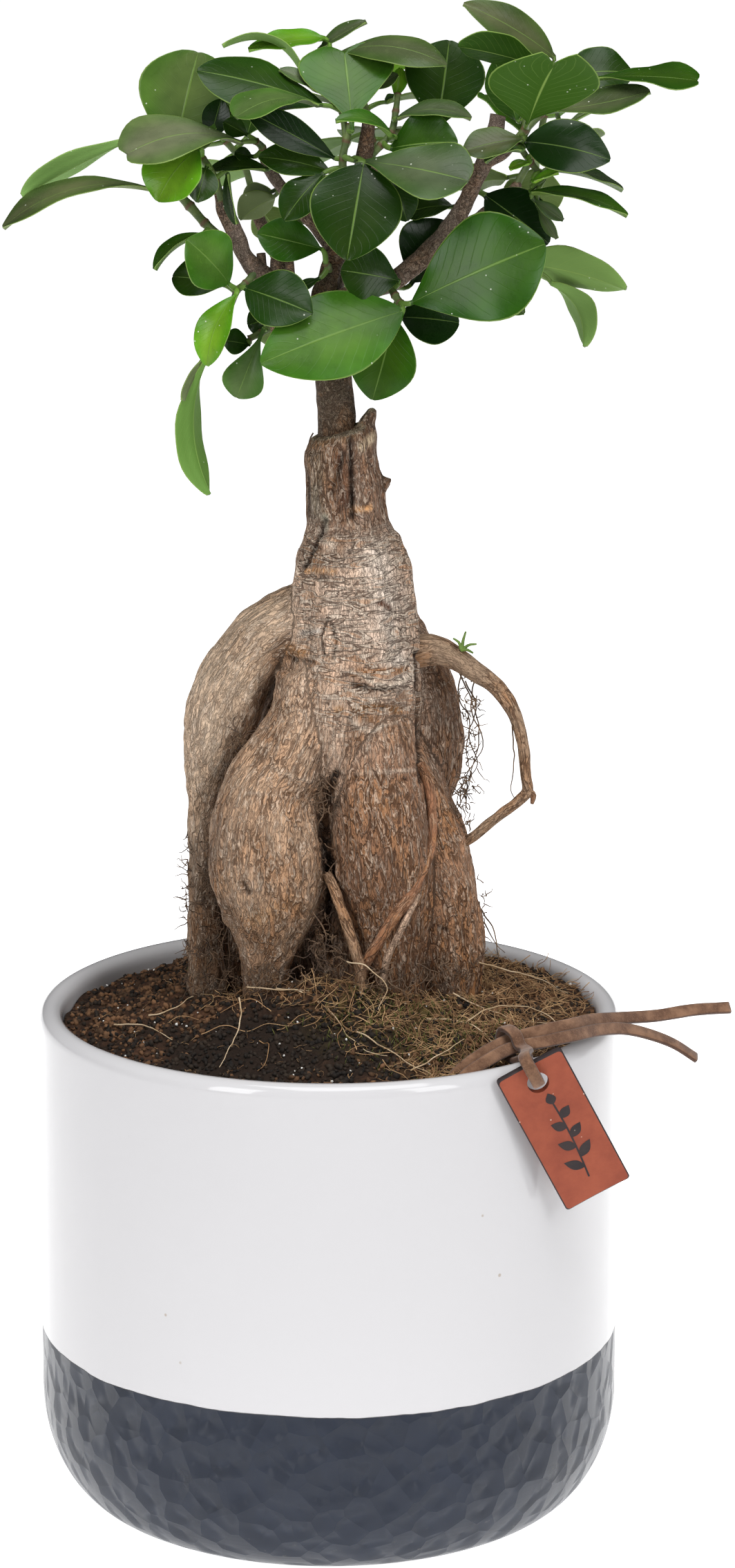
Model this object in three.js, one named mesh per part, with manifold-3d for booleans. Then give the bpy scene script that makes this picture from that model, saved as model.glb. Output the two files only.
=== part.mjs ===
// A ficus ginseng bonsai in its glazed pot. Millimetres, +Z up, origin in the middle of the pot's foot.
// The front of the plant looks along -Y. Grown parts are placed as seen from the front: a reading
// [x, z, y] is where a thing shows on the plane y = 0, moved along the line of sight to its depth y.
import * as THREE from "three";
import { mergeVertices } from "three/addons/utils/BufferGeometryUtils.js";
import Module from "manifold-3d";

const wasm = await Module();
wasm.setup();

// Driving dimensions
const EYE_DISTANCE = 1100;
const EYE_HEIGHT = 443;
const GAP = 0.35;

const RIM_HEIGHT = 123;
const RIM_RADIUS = 70.2;
const BELLY_RADIUS = 70.6;
const FOOT_RADIUS = 55.2;
const FOOT_ROUND_HEIGHT = 26;
const FOOT_ROUND_POWER = 1.86;
const INNER_RADIUS = 64.8;
const FLOOR_THICKNESS = 7;
const INNER_ROUND = 16;
const BAND_HEIGHT = 42.9;
const BAND_RELIEF = 0.8;
const BAND_WAVES = [11, 7];
const POT_SIDES = 44;
const FOOT_STEPS = 5;
const LIP_STEPS = 4;
const INNER_STEPS = 2;

const SOIL_WALL_HEIGHT = 119;
const SOIL_MOUND = 6.5;
const SOIL_MOUND_RADIUS = 26;
const SOIL_LUMP = 0.7;
const LITTER_HEAP = { x: -2, y: -18, halfWide: 20, halfDeep: 9, height: 7 };
const SOIL_TILT = 0.018;
const SOIL_SIDES = 28;
const SOIL_RINGS = [52, 37, 22];

const RIDGE_TWIST = 2.2;

const BLADE_THICKNESS = 0.7;
const BLADE_ROUNDNESS = 0.72;
const NARROWEST_HALF_BLADE = 0.55;
const STALK_RADIUS = 0.6;
const STALK_RINGS = [0, 0.65];
const STALK_TURN = 0.3;
const FLAT_BLADE_WIDTH = 14;
const TWIG_STEPS = 40;
// Where the rows of a blade lie along it, for blades up to each length
const BLADE_ROWS = [
  [9, [0.04, 0.5, 0.95]],
  [17, [0.03, 0.34, 0.7, 0.97]],
  [26, [0.03, 0.26, 0.52, 0.8, 0.98]],
  [Infinity, [0.03, 0.2, 0.4, 0.62, 0.84, 0.98]],
];

const LACE_WIDTH = 3;
const LACE_THICKNESS = 1.4;
const TAG_WIDTH = 16.8;
const TAG_LENGTH = 39;
const TAG_THICKNESS = 1.8;
const TAG_HOLE_RADIUS = 2.6;

// A reading from the front, moved along the line of sight to its depth
function onSight([x, z, y]) {
  const reach = (EYE_DISTANCE + y) / EYE_DISTANCE;
  return new THREE.Vector3(x * reach, y, EYE_HEIGHT + (z - EYE_HEIGHT) * reach);
}

// Closed solids and their geometry
function solidOf(geometry) {
  const bare = geometry.clone();
  bare.deleteAttribute("normal");
  bare.deleteAttribute("uv");
  const merged = mergeVertices(bare, 1e-4);
  const vertProperties = new Float32Array(merged.attributes.position.array);
  const triVerts = new Uint32Array(merged.index.array);
  if (signedVolume(vertProperties, triVerts) < 0) {
    triVerts.reverse();
  }
  return new wasm.Manifold(new wasm.Mesh({ numProp: 3, vertProperties, triVerts }));
}

function signedVolume(points, faces) {
  const corner = [new THREE.Vector3(), new THREE.Vector3(), new THREE.Vector3()];
  let volume = 0;
  for (let face = 0; face < faces.length; face += 3) {
    corner.forEach((point, turn) => point.fromArray(points, faces[face + turn] * 3));
    volume += corner[0].dot(corner[1].clone().cross(corner[2])) / 6;
  }
  return volume;
}

function geometryOf(solid) {
  const mesh = solid.getMesh();
  const geometry = new THREE.BufferGeometry();
  geometry.setAttribute("position", new THREE.BufferAttribute(new Float32Array(mesh.vertProperties), 3));
  geometry.setIndex(new THREE.BufferAttribute(new Uint32Array(mesh.triVerts), 1));
  return geometry;
}

function unionOf(solids) {
  return wasm.Manifold.union(solids);
}

// The largest body of a solid, without the crumbs that a cut leaves
function mainBody(solid) {
  const bodies = solid.decompose();
  return bodies.reduce((best, body) => (body.volume() > best.volume() ? body : best));
}

// A skin over rings of points: closed by a fan at each end, or joined end to start as a loop.
// From the corner mirrorFrom on, its squares are split the other way.
function loft(rings, { looped = false, mirrorFrom = Infinity } = {}) {
  const sides = rings[0].length;
  const points = rings.flat();
  const faces = [];
  const bands = looped ? rings.length : rings.length - 1;
  for (let ring = 0; ring < bands; ring += 1) {
    const here = ring * sides;
    const there = ((ring + 1) % rings.length) * sides;
    for (let side = 0; side < sides; side += 1) {
      const next = (side + 1) % sides;
      const square = [here + side, here + next, there + next, there + side];
      const first = side < mirrorFrom ? 0 : 1;
      const turned = [0, 1, 2, 3].map((corner) => square[(corner + first) % 4]);
      faces.push(turned[0], turned[1], turned[2], turned[0], turned[2], turned[3]);
    }
  }
  if (!looped) {
    const first = points.length;
    const last = (rings.length - 1) * sides;
    points.push(middle(rings[0]), middle(rings[rings.length - 1]));
    for (let side = 0; side < sides; side += 1) {
      const next = (side + 1) % sides;
      faces.push(first, next, side, first + 1, last + side, last + next);
    }
  }
  return solidOf(geometryFrom(points, faces));
}

function middle(points) {
  const sum = new THREE.Vector3();
  points.forEach((point) => sum.add(point));
  return sum.divideScalar(points.length);
}

function geometryFrom(points, faces) {
  const geometry = new THREE.BufferGeometry();
  geometry.setFromPoints(points);
  geometry.setIndex(faces);
  return geometry;
}

// A grown limb: stations are [x, z, y, half width, half depth], joined by one smooth curve.
// ridges are [count, height], folds that run along the limb.
function limb(stations, { sides = 8, rings = 0, grow = 0, ridges = [0, 0] } = {}) {
  const line = new THREE.CatmullRomCurve3(stations.map((station) => onSight(station)), false, "centripetal");
  const size = new THREE.CatmullRomCurve3(
    stations.map((station) => new THREE.Vector3(station[3], station[4] ?? station[3], 0)),
  );
  const count = rings || stations.length;
  const skin = [];
  for (let ring = 0; ring < count; ring += 1) {
    const along = ring / (count - 1);
    const centre = line.getPoint(along);
    const tangent = line.getTangent(along);
    const half = size.getPoint(along);
    const depth = new THREE.Vector3(0, 1, 0).addScaledVector(tangent, -tangent.y).normalize();
    const side = depth.clone().cross(tangent);
    const section = [];
    for (let corner = 0; corner < sides; corner += 1) {
      const angle = (2 * Math.PI * corner) / sides;
      const ridge = 1 + ridges[1] * Math.cos(ridges[0] * (angle + 1) + RIDGE_TWIST * along);
      const point = centre.clone();
      point.addScaledVector(side, Math.cos(angle) * (half.x * ridge + grow));
      point.addScaledVector(depth, Math.sin(angle) * (half.y * ridge + grow));
      section.push(point);
    }
    skin.push(section);
  }
  return loft(skin);
}

// The glazed pot: straight walls, a rounded foot with a low hammered band, a rounded lip and a flat floor
function potOutside() {
  const outline = [new THREE.Vector2(0, 0), new THREE.Vector2(FOOT_RADIUS * 0.5, 0)];
  for (let step = 0; step <= FOOT_STEPS; step += 1) {
    const angle = (Math.PI / 2) * (step / FOOT_STEPS);
    const out = Math.sin(angle) ** (2 / FOOT_ROUND_POWER);
    const up = 1 - Math.cos(angle) ** (2 / FOOT_ROUND_POWER);
    outline.push(new THREE.Vector2(FOOT_RADIUS + (BELLY_RADIUS - FOOT_RADIUS) * out, FOOT_ROUND_HEIGHT * up));
  }
  outline.push(new THREE.Vector2(BELLY_RADIUS, (FOOT_ROUND_HEIGHT + BAND_HEIGHT) / 2));
  outline.push(new THREE.Vector2(BELLY_RADIUS, BAND_HEIGHT));
  return outline;
}

function potInside(outerShrink = 0, floorRise = 0) {
  const outline = [];
  for (let step = 0; step <= INNER_STEPS; step += 1) {
    const angle = (Math.PI / 2) * (step / INNER_STEPS);
    const across = INNER_RADIUS - outerShrink - INNER_ROUND * (1 - Math.cos(angle));
    outline.push(new THREE.Vector2(across, FLOOR_THICKNESS + floorRise + INNER_ROUND * (1 - Math.sin(angle))));
  }
  outline.push(new THREE.Vector2(0, FLOOR_THICKNESS + floorRise));
  return outline;
}

function potLip() {
  const outline = [];
  const radius = (RIM_RADIUS - INNER_RADIUS) / 2;
  for (let step = 0; step <= LIP_STEPS; step += 1) {
    const angle = Math.PI * (step / LIP_STEPS);
    const across = RIM_RADIUS - radius + radius * Math.cos(angle);
    outline.push(new THREE.Vector2(across, RIM_HEIGHT - radius + radius * Math.sin(angle)));
  }
  return outline;
}

function makePot() {
  const outside = potOutside();
  const outline = [...outside, ...potLip(), ...potInside()];
  const geometry = new THREE.LatheGeometry(outline, POT_SIDES);
  geometry.rotateX(Math.PI / 2);
  const places = geometry.attributes.position;
  const footCornerRow = 2;
  const bandTopRow = outside.length - 1;
  for (let index = 0; index < places.count; index += 1) {
    const row = index % outline.length;
    if (row > footCornerRow && row < bandTopRow) {
      const x = places.getX(index);
      const y = places.getY(index);
      const around = Math.atan2(y, x);
      const dent = Math.cos(BAND_WAVES[0] * around + 2 * row) * Math.cos(BAND_WAVES[1] * around - 2 * row);
      const scale = 1 + (BAND_RELIEF * dent) / Math.hypot(x, y);
      places.setXY(index, x * scale, y * scale);
    }
  }
  return solidOf(geometry);
}

// Roots, trunk and wood, as stations [x, z, y, half width, half depth]
const TRUNK_LIMBS = {
  core: {
    sides: 12,
    rings: 13,
    ridges: [7, 0.03],
    stations: [
      [3.3, 263, 0, 7.4, 7.4], [3.3, 260, 0, 8.4, 8.2], [3.4, 254, 0, 8.8, 8.4], [4.2, 246, 0, 9.4, 9],
      [4.7, 241, 0, 9.7, 9.6], [5, 236, 0, 12.2, 11.5], [5.3, 230, 0, 13.8, 13], [5.8, 222, 0, 14.9, 14],
      [6, 213, 0, 15.6, 15], [5.5, 204, 0, 16.2, 16], [4.5, 195, 0, 17.2, 16.5], [3.5, 186, 1, 18, 16],
      [3, 176, 3, 18, 14], [3, 165, 6, 17, 12.5], [3, 150, 7, 15, 12], [3, 132, 7, 13, 12], [3, 112, 6, 11, 11],
    ],
  },
  frontBulb: {
    sides: 12,
    rings: 10,
    ridges: [6, 0.025],
    stations: [
      [-4, 204, -4, 8, 8], [-5.5, 194, -6, 8.6, 9.5], [-9, 185, -8, 10, 10.5], [-13, 177, -9, 11.4, 11.5],
      [-14.7, 169, -10, 13, 12.5], [-14.6, 160, -10, 14.1, 13], [-14.5, 152, -10, 13.4, 12.5],
      [-14.2, 145, -10, 11.3, 11], [-14.5, 139, -10, 8.2, 9], [-15.3, 132, -10, 5.9, 7], [-15.5, 126, -10, 5.3, 6],
      [-15, 117, -9, 5, 5], [-14, 110, -8, 3.5, 3.5],
    ],
  },
  centreRoot: {
    sides: 11,
    rings: 8,
    ridges: [5, 0.03],
    stations: [
      [8, 200, -4, 9, 9], [10, 190, -6, 10.5, 10], [11, 180, -7, 11.3, 11], [12, 170, -8, 12, 12],
      [13, 160, -9, 12.2, 12.2], [13.5, 150, -9, 11.2, 11], [14, 142, -9, 9.5, 10], [14.5, 134, -9, 8.5, 9],
      [15, 126, -8, 8, 8.5], [15, 114, -7, 7, 7],
    ],
  },
  rightRoot: {
    sides: 10,
    rings: 8,
    ridges: [5, 0.035],
    stations: [
      [16, 186, 0, 6, 8], [20, 178, 0, 7, 9], [21.5, 170, 0, 9, 10], [23, 163, 0, 10.5, 11],
      [25.5, 155, 0, 9.6, 11], [27, 147, 0, 9.6, 10.5], [28, 140, 0, 9.8, 10], [28.5, 132, 0, 9, 9.5],
      [28.7, 126, 0, 8.4, 9], [28.5, 114, 1, 7.5, 8],
    ],
  },
  rightRearSwelling: {
    sides: 10,
    rings: 7,
    ridges: [4, 0.03],
    stations: [
      [16, 218, 8, 5, 6], [19, 208, 9, 8, 8], [21, 200, 10, 9.6, 9.5], [21.8, 190, 10, 10.3, 10],
      [21.5, 182, 10, 10, 10], [19.5, 174, 10, 8.6, 9], [18, 160, 11, 8, 9], [17, 140, 12, 8, 9],
      [16, 114, 12, 7, 8],
    ],
  },
  leftRoot: {
    sides: 10,
    rings: 12,
    ridges: [5, 0.03],
    stations: [
      [2, 219, 3, 7, 8], [-6, 218.5, 3, 8, 8.5], [-13, 215, 3, 8, 8.5], [-18.5, 209.5, 3, 8, 8.5],
      [-22.5, 203, 3, 8.6, 8.5], [-24.8, 196, 3, 9, 8.5], [-26.5, 190, 3, 8.3, 8], [-28.2, 184.5, 3, 6.5, 7],
      [-29.6, 178, 3, 4.6, 5.5], [-30.4, 170, 3, 3.6, 4], [-30.2, 160, 3, 3.8, 4.5], [-29.8, 150, 3, 4.3, 5],
      [-29.4, 140, 3, 4.8, 5], [-29, 132, 3, 5.2, 5.5], [-29, 126, 3, 5.2, 5.5], [-28.5, 114, 3, 4.5, 5],
    ],
  },
  leftRearRoot: {
    sides: 8,
    rings: 7,
    ridges: [5, 0.03],
    stations: [
      [0, 214, 6, 8, 8], [-5, 205, 12, 9, 9], [-9, 195, 16, 9.5, 9.5], [-11, 184, 19, 9.5, 9.5],
      [-11, 172, 20, 9, 9], [-10, 160, 20, 8.5, 8.5], [-10, 145, 20, 7.5, 8], [-10, 130, 19, 7, 7],
      [-10, 114, 18, 6, 6],
    ],
  },
  rightBackRoot: {
    sides: 8,
    rings: 6,
    ridges: [4, 0.03],
    stations: [
      [6, 212, 6, 8, 8], [8, 200, 13, 9, 8.5], [9, 188, 18, 10, 9], [9, 175, 21, 10.5, 9.5],
      [8, 160, 22, 10, 9.5], [7, 145, 21, 9, 9], [6, 130, 20, 8, 8], [6, 114, 19, 7, 7],
    ],
  },
  archedRoot: {
    sides: 6,
    rings: 15,
    stations: [
      [17, 209, 1, 4.3], [24.5, 210.2, 0, 3.8], [29, 208.8, -1, 3.1], [33, 206.2, -2, 2.6], [37, 203.5, -3, 2.3],
      [40.5, 200.6, -3, 2], [43.4, 196.5, -4, 1.8], [45.4, 191.5, -4, 1.5], [46.8, 185, -5, 1.35],
      [47.3, 179, -5, 1.3], [47.6, 175.5, -5, 1.4], [45.6, 173, -5, 1.35], [42, 170.3, -4, 1.3],
      [38, 167, -3, 1.25], [34.5, 164, -2, 1.2], [29, 160.5, -1, 1.1],
    ],
  },
  archedRootSpur: {
    sides: 4,
    stations: [[46.8, 176, -5, 1.2], [49, 174.6, -5, 0.8], [48.8, 172.4, -5, 0.35]],
  },
  creepingRoot: {
    sides: 5,
    rings: 11,
    stations: [
      [22, 182, -5.5, 1.3], [23.7, 178, -8.5, 1.3], [24.7, 172, -10.5, 1.2], [24.8, 165, -11.5, 1.3],
      [24, 160, -13.5, 1.4], [22, 155, -16, 1.4], [19.5, 149.5, -18.3, 1.4], [16, 144.5, -19.6, 1.4],
      [12.5, 138.5, -19.2, 1.3], [9.5, 133.5, -18, 1.3], [7.5, 128, -17.5, 1.2], [7, 120, -17, 1],
    ],
  },
  propRoot: {
    sides: 5,
    rings: 6,
    stations: [
      [-0.5, 155, -13, 1.2], [1.5, 150.5, -15.5, 1.3], [3.5, 144.5, -18, 1.3], [5.5, 138.5, -19, 1.3],
      [7.2, 132.5, -19.5, 1.3], [8, 126, -19, 1.2], [8, 119, -18, 1],
    ],
  },
  neckSpur: {
    sides: 5,
    stations: [[7, 259, -2, 3], [9.4, 264, -2, 2.1], [10.4, 266.6, -2, 1.1]],
  },
  neckKnob: {
    sides: 5,
    stations: [[9, 249.5, 0, 3.2], [13, 250.5, 0, 1.9], [14.9, 251.4, 0, 0.6]],
  },
};

const WOOD_LIMBS = {
  stem: {
    sides: 7,
    rings: 10,
    stations: [
      [2, 258, 0, 4.7], [1.7, 268, 0, 4.5], [1, 276, 0, 4.3], [-0.8, 286, 0, 3.7], [-1.2, 294, 0, 3.1],
      [0.2, 300, 0, 2.6], [2, 306, 0, 2.4], [4, 313, 0, 2.3], [5.6, 319, 0, 2.2], [7.5, 324, 0, 2],
      [8.6, 330, 0, 1.9], [9.4, 336, 0, 1.5],
    ],
  },
  leftBranch: {
    sides: 6,
    rings: 8,
    stations: [
      [-1, 290, 1, 2.6], [-8, 294, 0, 2.5], [-13, 298, -1, 2.5], [-17, 301, -2, 2.3], [-20, 305, -3, 1.9],
      [-22, 310, -3, 2], [-24.2, 315, -3, 2], [-25.3, 319.6, -3, 1.5],
    ],
  },
  leftStubA: { sides: 5, stations: [[-15.5, 300, -1, 1.4], [-16, 304.9, -1, 1.1]] },
  leftStubB: { sides: 5, stations: [[-12.5, 298, -1, 1.4], [-12.7, 303.8, -1, 1]] },
  leftStubC: { sides: 5, stations: [[-8.5, 294.5, 0, 1.2], [-9.2, 303.2, 0, 0.9]] },
  rightBranch: {
    sides: 6,
    rings: 9,
    stations: [
      [-1, 292, 0, 2.6], [8, 296, -1, 2.5], [15, 298.5, -1, 2.4], [22, 304, -1, 2.3], [28, 310.5, -1, 2.2],
      [31.5, 316, -1, 2], [34, 321.5, -1, 1.9], [36.5, 327, -1, 2], [38.3, 332, -1, 2], [39.4, 337, -1, 1.9],
    ],
  },
  rightFork: {
    sides: 5,
    stations: [[36.5, 326, -1, 1.6], [40, 327.8, -2, 1.3], [43, 330.6, -3, 1.2]],
  },
  middleBranch: {
    sides: 5,
    rings: 5,
    stations: [[2, 305, 0, 1.7], [-4, 312, 4, 1.6], [-10, 319, 5, 1.5], [-14, 324.5, 4, 1.3], [-15, 327, 3, 1.2]],
  },
  lowLeftBranch: {
    sides: 5,
    stations: [[-1, 288, 0, 1.6], [-8, 289.2, -1, 1.4], [-14, 287.6, -2, 1.2]],
  },
  backBranch: {
    sides: 5,
    rings: 5,
    stations: [[0, 295, 0, 2.2], [4, 303, 9, 2], [7, 312, 18, 1.9], [9, 321, 24, 1.8], [10, 327, 26, 1.6]],
  },
  backLeftBranch: {
    sides: 5,
    rings: 5,
    stations: [
      [-6, 293.5, 1, 1.8], [-10, 300, 9, 1.5], [-14, 308, 17, 1.4], [-17, 315, 22, 1.3], [-18, 320, 25, 1.2],
    ],
  },
  backRightBranch: {
    sides: 5,
    rings: 4,
    stations: [[27, 309.5, 0, 1.7], [33, 312, 8, 1.5], [40, 317, 16, 1.3], [44, 321, 21, 1.2]],
  },
  backLowBranch: {
    sides: 5,
    stations: [[-0.5, 283, 1, 1.8], [-2, 287, 8, 1.5], [-4.5, 290.5, 14, 1.2]],
  },
};

function limbSolid(part, grow = 0) {
  return limb(part.stations, { sides: part.sides, rings: part.rings, ridges: part.ridges, grow });
}

function makeTrunk() {
  return unionOf([...Object.values(TRUNK_LIMBS), ...Object.values(WOOD_LIMBS)].map((part) => limbSolid(part)));
}

// What a neighbour leaves free round the wood
function woodClearance(parts) {
  return unionOf(parts.map((part) => limbSolid(part, GAP)));
}

// Soil: a lumpy mound, low at the wall and high round the trunk, with a heap of litter before the roots
// and a plain hole for each root
function soilHeight(x, y) {
  const radius = Math.hypot(x, y);
  const rise = THREE.MathUtils.smoothstep(INNER_RADIUS - radius, 0, INNER_RADIUS - SOIL_MOUND_RADIUS);
  const lump = Math.sin(x * 0.31 + 1) * Math.cos(y * 0.27) + 0.6 * Math.sin(x * 0.62 - y * 0.55);
  const across = (x - LITTER_HEAP.x) / LITTER_HEAP.halfWide;
  const deep = (y - LITTER_HEAP.y) / LITTER_HEAP.halfDeep;
  const heap = LITTER_HEAP.height * Math.exp(-(across ** 2) - deep ** 2);
  return SOIL_WALL_HEIGHT + SOIL_TILT * x + SOIL_MOUND * rise + SOIL_LUMP * lump + heap;
}

function makeSoil() {
  const outer = INNER_RADIUS - GAP;
  const profile = potInside(2 * GAP, 2 * GAP).reverse();
  profile.push(new THREE.Vector2(outer, SOIL_WALL_HEIGHT));
  SOIL_RINGS.forEach((radius) => profile.push(new THREE.Vector2(radius, SOIL_WALL_HEIGHT)));
  profile.push(new THREE.Vector2(0, SOIL_WALL_HEIGHT));
  const geometry = new THREE.LatheGeometry(profile, SOIL_SIDES);
  geometry.rotateX(Math.PI / 2);
  const places = geometry.attributes.position;
  for (let index = 0; index < places.count; index += 1) {
    if (places.getZ(index) > SOIL_WALL_HEIGHT - 1) {
      places.setZ(index, soilHeight(places.getX(index), places.getY(index)));
    }
  }
  const rooted = Object.values(TRUNK_LIMBS).filter((part) => part.stations.at(-1)[1] < SOIL_WALL_HEIGHT + 2);
  const holes = [woodClearance(rooted), laceSolid(LACE_BACK_ROUTE, GAP), laceSolid(LACE_FRONT_ROUTE, GAP)];
  return mainBody(solidOf(geometry).subtract(unionOf(holes)));
}

// Leaves. base and tip are readings [x, z, y], face is the way the upper side looks, arch is how far
// the midrib bows to that side, fold how far the edges stand up from it, and fullness moves the widest
// place towards the tip. heart pushes the lobes beside the tip past it.
function leaf(base, tip, width, face, arch = 1.2, fold = 0.8, fullness = 1.25, heart = 0) {
  return { base, tip, width, face, arch, fold, fullness, heart };
}

function halfWidth(blade, along) {
  const full = Math.sin(Math.PI * along ** blade.fullness) ** BLADE_ROUNDNESS;
  return Math.max(NARROWEST_HALF_BLADE, (blade.width / 2) * full);
}

function bladeFrame(blade) {
  const base = onSight(blade.base);
  const tip = onSight(blade.tip);
  const along = tip.clone().sub(base);
  const length = along.length();
  along.normalize();
  const face = new THREE.Vector3(...blade.face);
  face.addScaledVector(along, -face.dot(along)).normalize();
  return { base, along, length, face, side: along.clone().cross(face) };
}

function bladePoint(blade, frame, along, across) {
  const bow = 4 * blade.arch * along * (1 - along);
  const slope = (4 * blade.arch * (1 - 2 * along)) / frame.length;
  const tangent = frame.along.clone().addScaledVector(frame.face, slope).normalize();
  const normal = frame.face.clone().addScaledVector(frame.along, -slope).normalize();
  const half = halfWidth(blade, along);
  const point = frame.base.clone().addScaledVector(frame.along, frame.length * along);
  point.addScaledVector(frame.face, bow);
  point.addScaledVector(frame.side, half * across);
  point.addScaledVector(normal, (blade.fold * Math.abs(across) * half * 2) / blade.width);
  point.addScaledVector(tangent, blade.heart * Math.abs(across) * along ** 4 * Math.min(1, half / 4));
  return { point, normal };
}

// The nearest place on the twigs of a shoot
function nearestOnTwigs(twigs, point) {
  let best = null;
  twigs.forEach((twig) => {
    const line = new THREE.CatmullRomCurve3(twig.map((station) => onSight(station)), false, "centripetal");
    for (let step = 0; step <= TWIG_STEPS; step += 1) {
      const place = line.getPoint(step / TWIG_STEPS);
      const distance = place.distanceTo(point);
      if (!best || distance < best.distance) {
        best = { place, distance };
      }
    }
  });
  return best.place;
}

// One leaf, stalk and blade, from inside its twig to its tip. A narrow blade is flat across,
// a wide one is folded along its midrib.
function leafSolid(twigs, blade) {
  const frame = bladeFrame(blade);
  const columns = blade.width < FLAT_BLADE_WIDTH ? [-1, 1] : [-1, 0, 1];
  const start = nearestOnTwigs(twigs, frame.base);
  const tangent = frame.base.clone().sub(start).normalize();
  const side = frame.side.clone().addScaledVector(tangent, -frame.side.dot(tangent));
  side.lerp(tangent.clone().cross(frame.face), STALK_TURN).normalize();
  const up = side.clone().cross(tangent).normalize();
  const rings = STALK_RINGS.map((share) => {
    const centre = start.clone().lerp(frame.base, share);
    const upper = columns.map((across) => {
      return centre.clone().addScaledVector(side, across * STALK_RADIUS).addScaledVector(up, STALK_RADIUS);
    });
    return [...upper, ...upper.map((point) => point.clone().addScaledVector(up, -2 * STALK_RADIUS)).reverse()];
  });
  const rows = BLADE_ROWS.find(([longest]) => frame.length < longest)[1];
  rows.forEach((along) => {
    const places = columns.map((across) => bladePoint(blade, frame, along, across));
    const offset = (share) => ({ point, normal }) => point.clone().addScaledVector(normal, share * BLADE_THICKNESS);
    rings.push([...places.map(offset(0.5)), ...places.map(offset(-0.5)).reverse()]);
  });
  return loft(rings, { mirrorFrom: columns.length });
}

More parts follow.
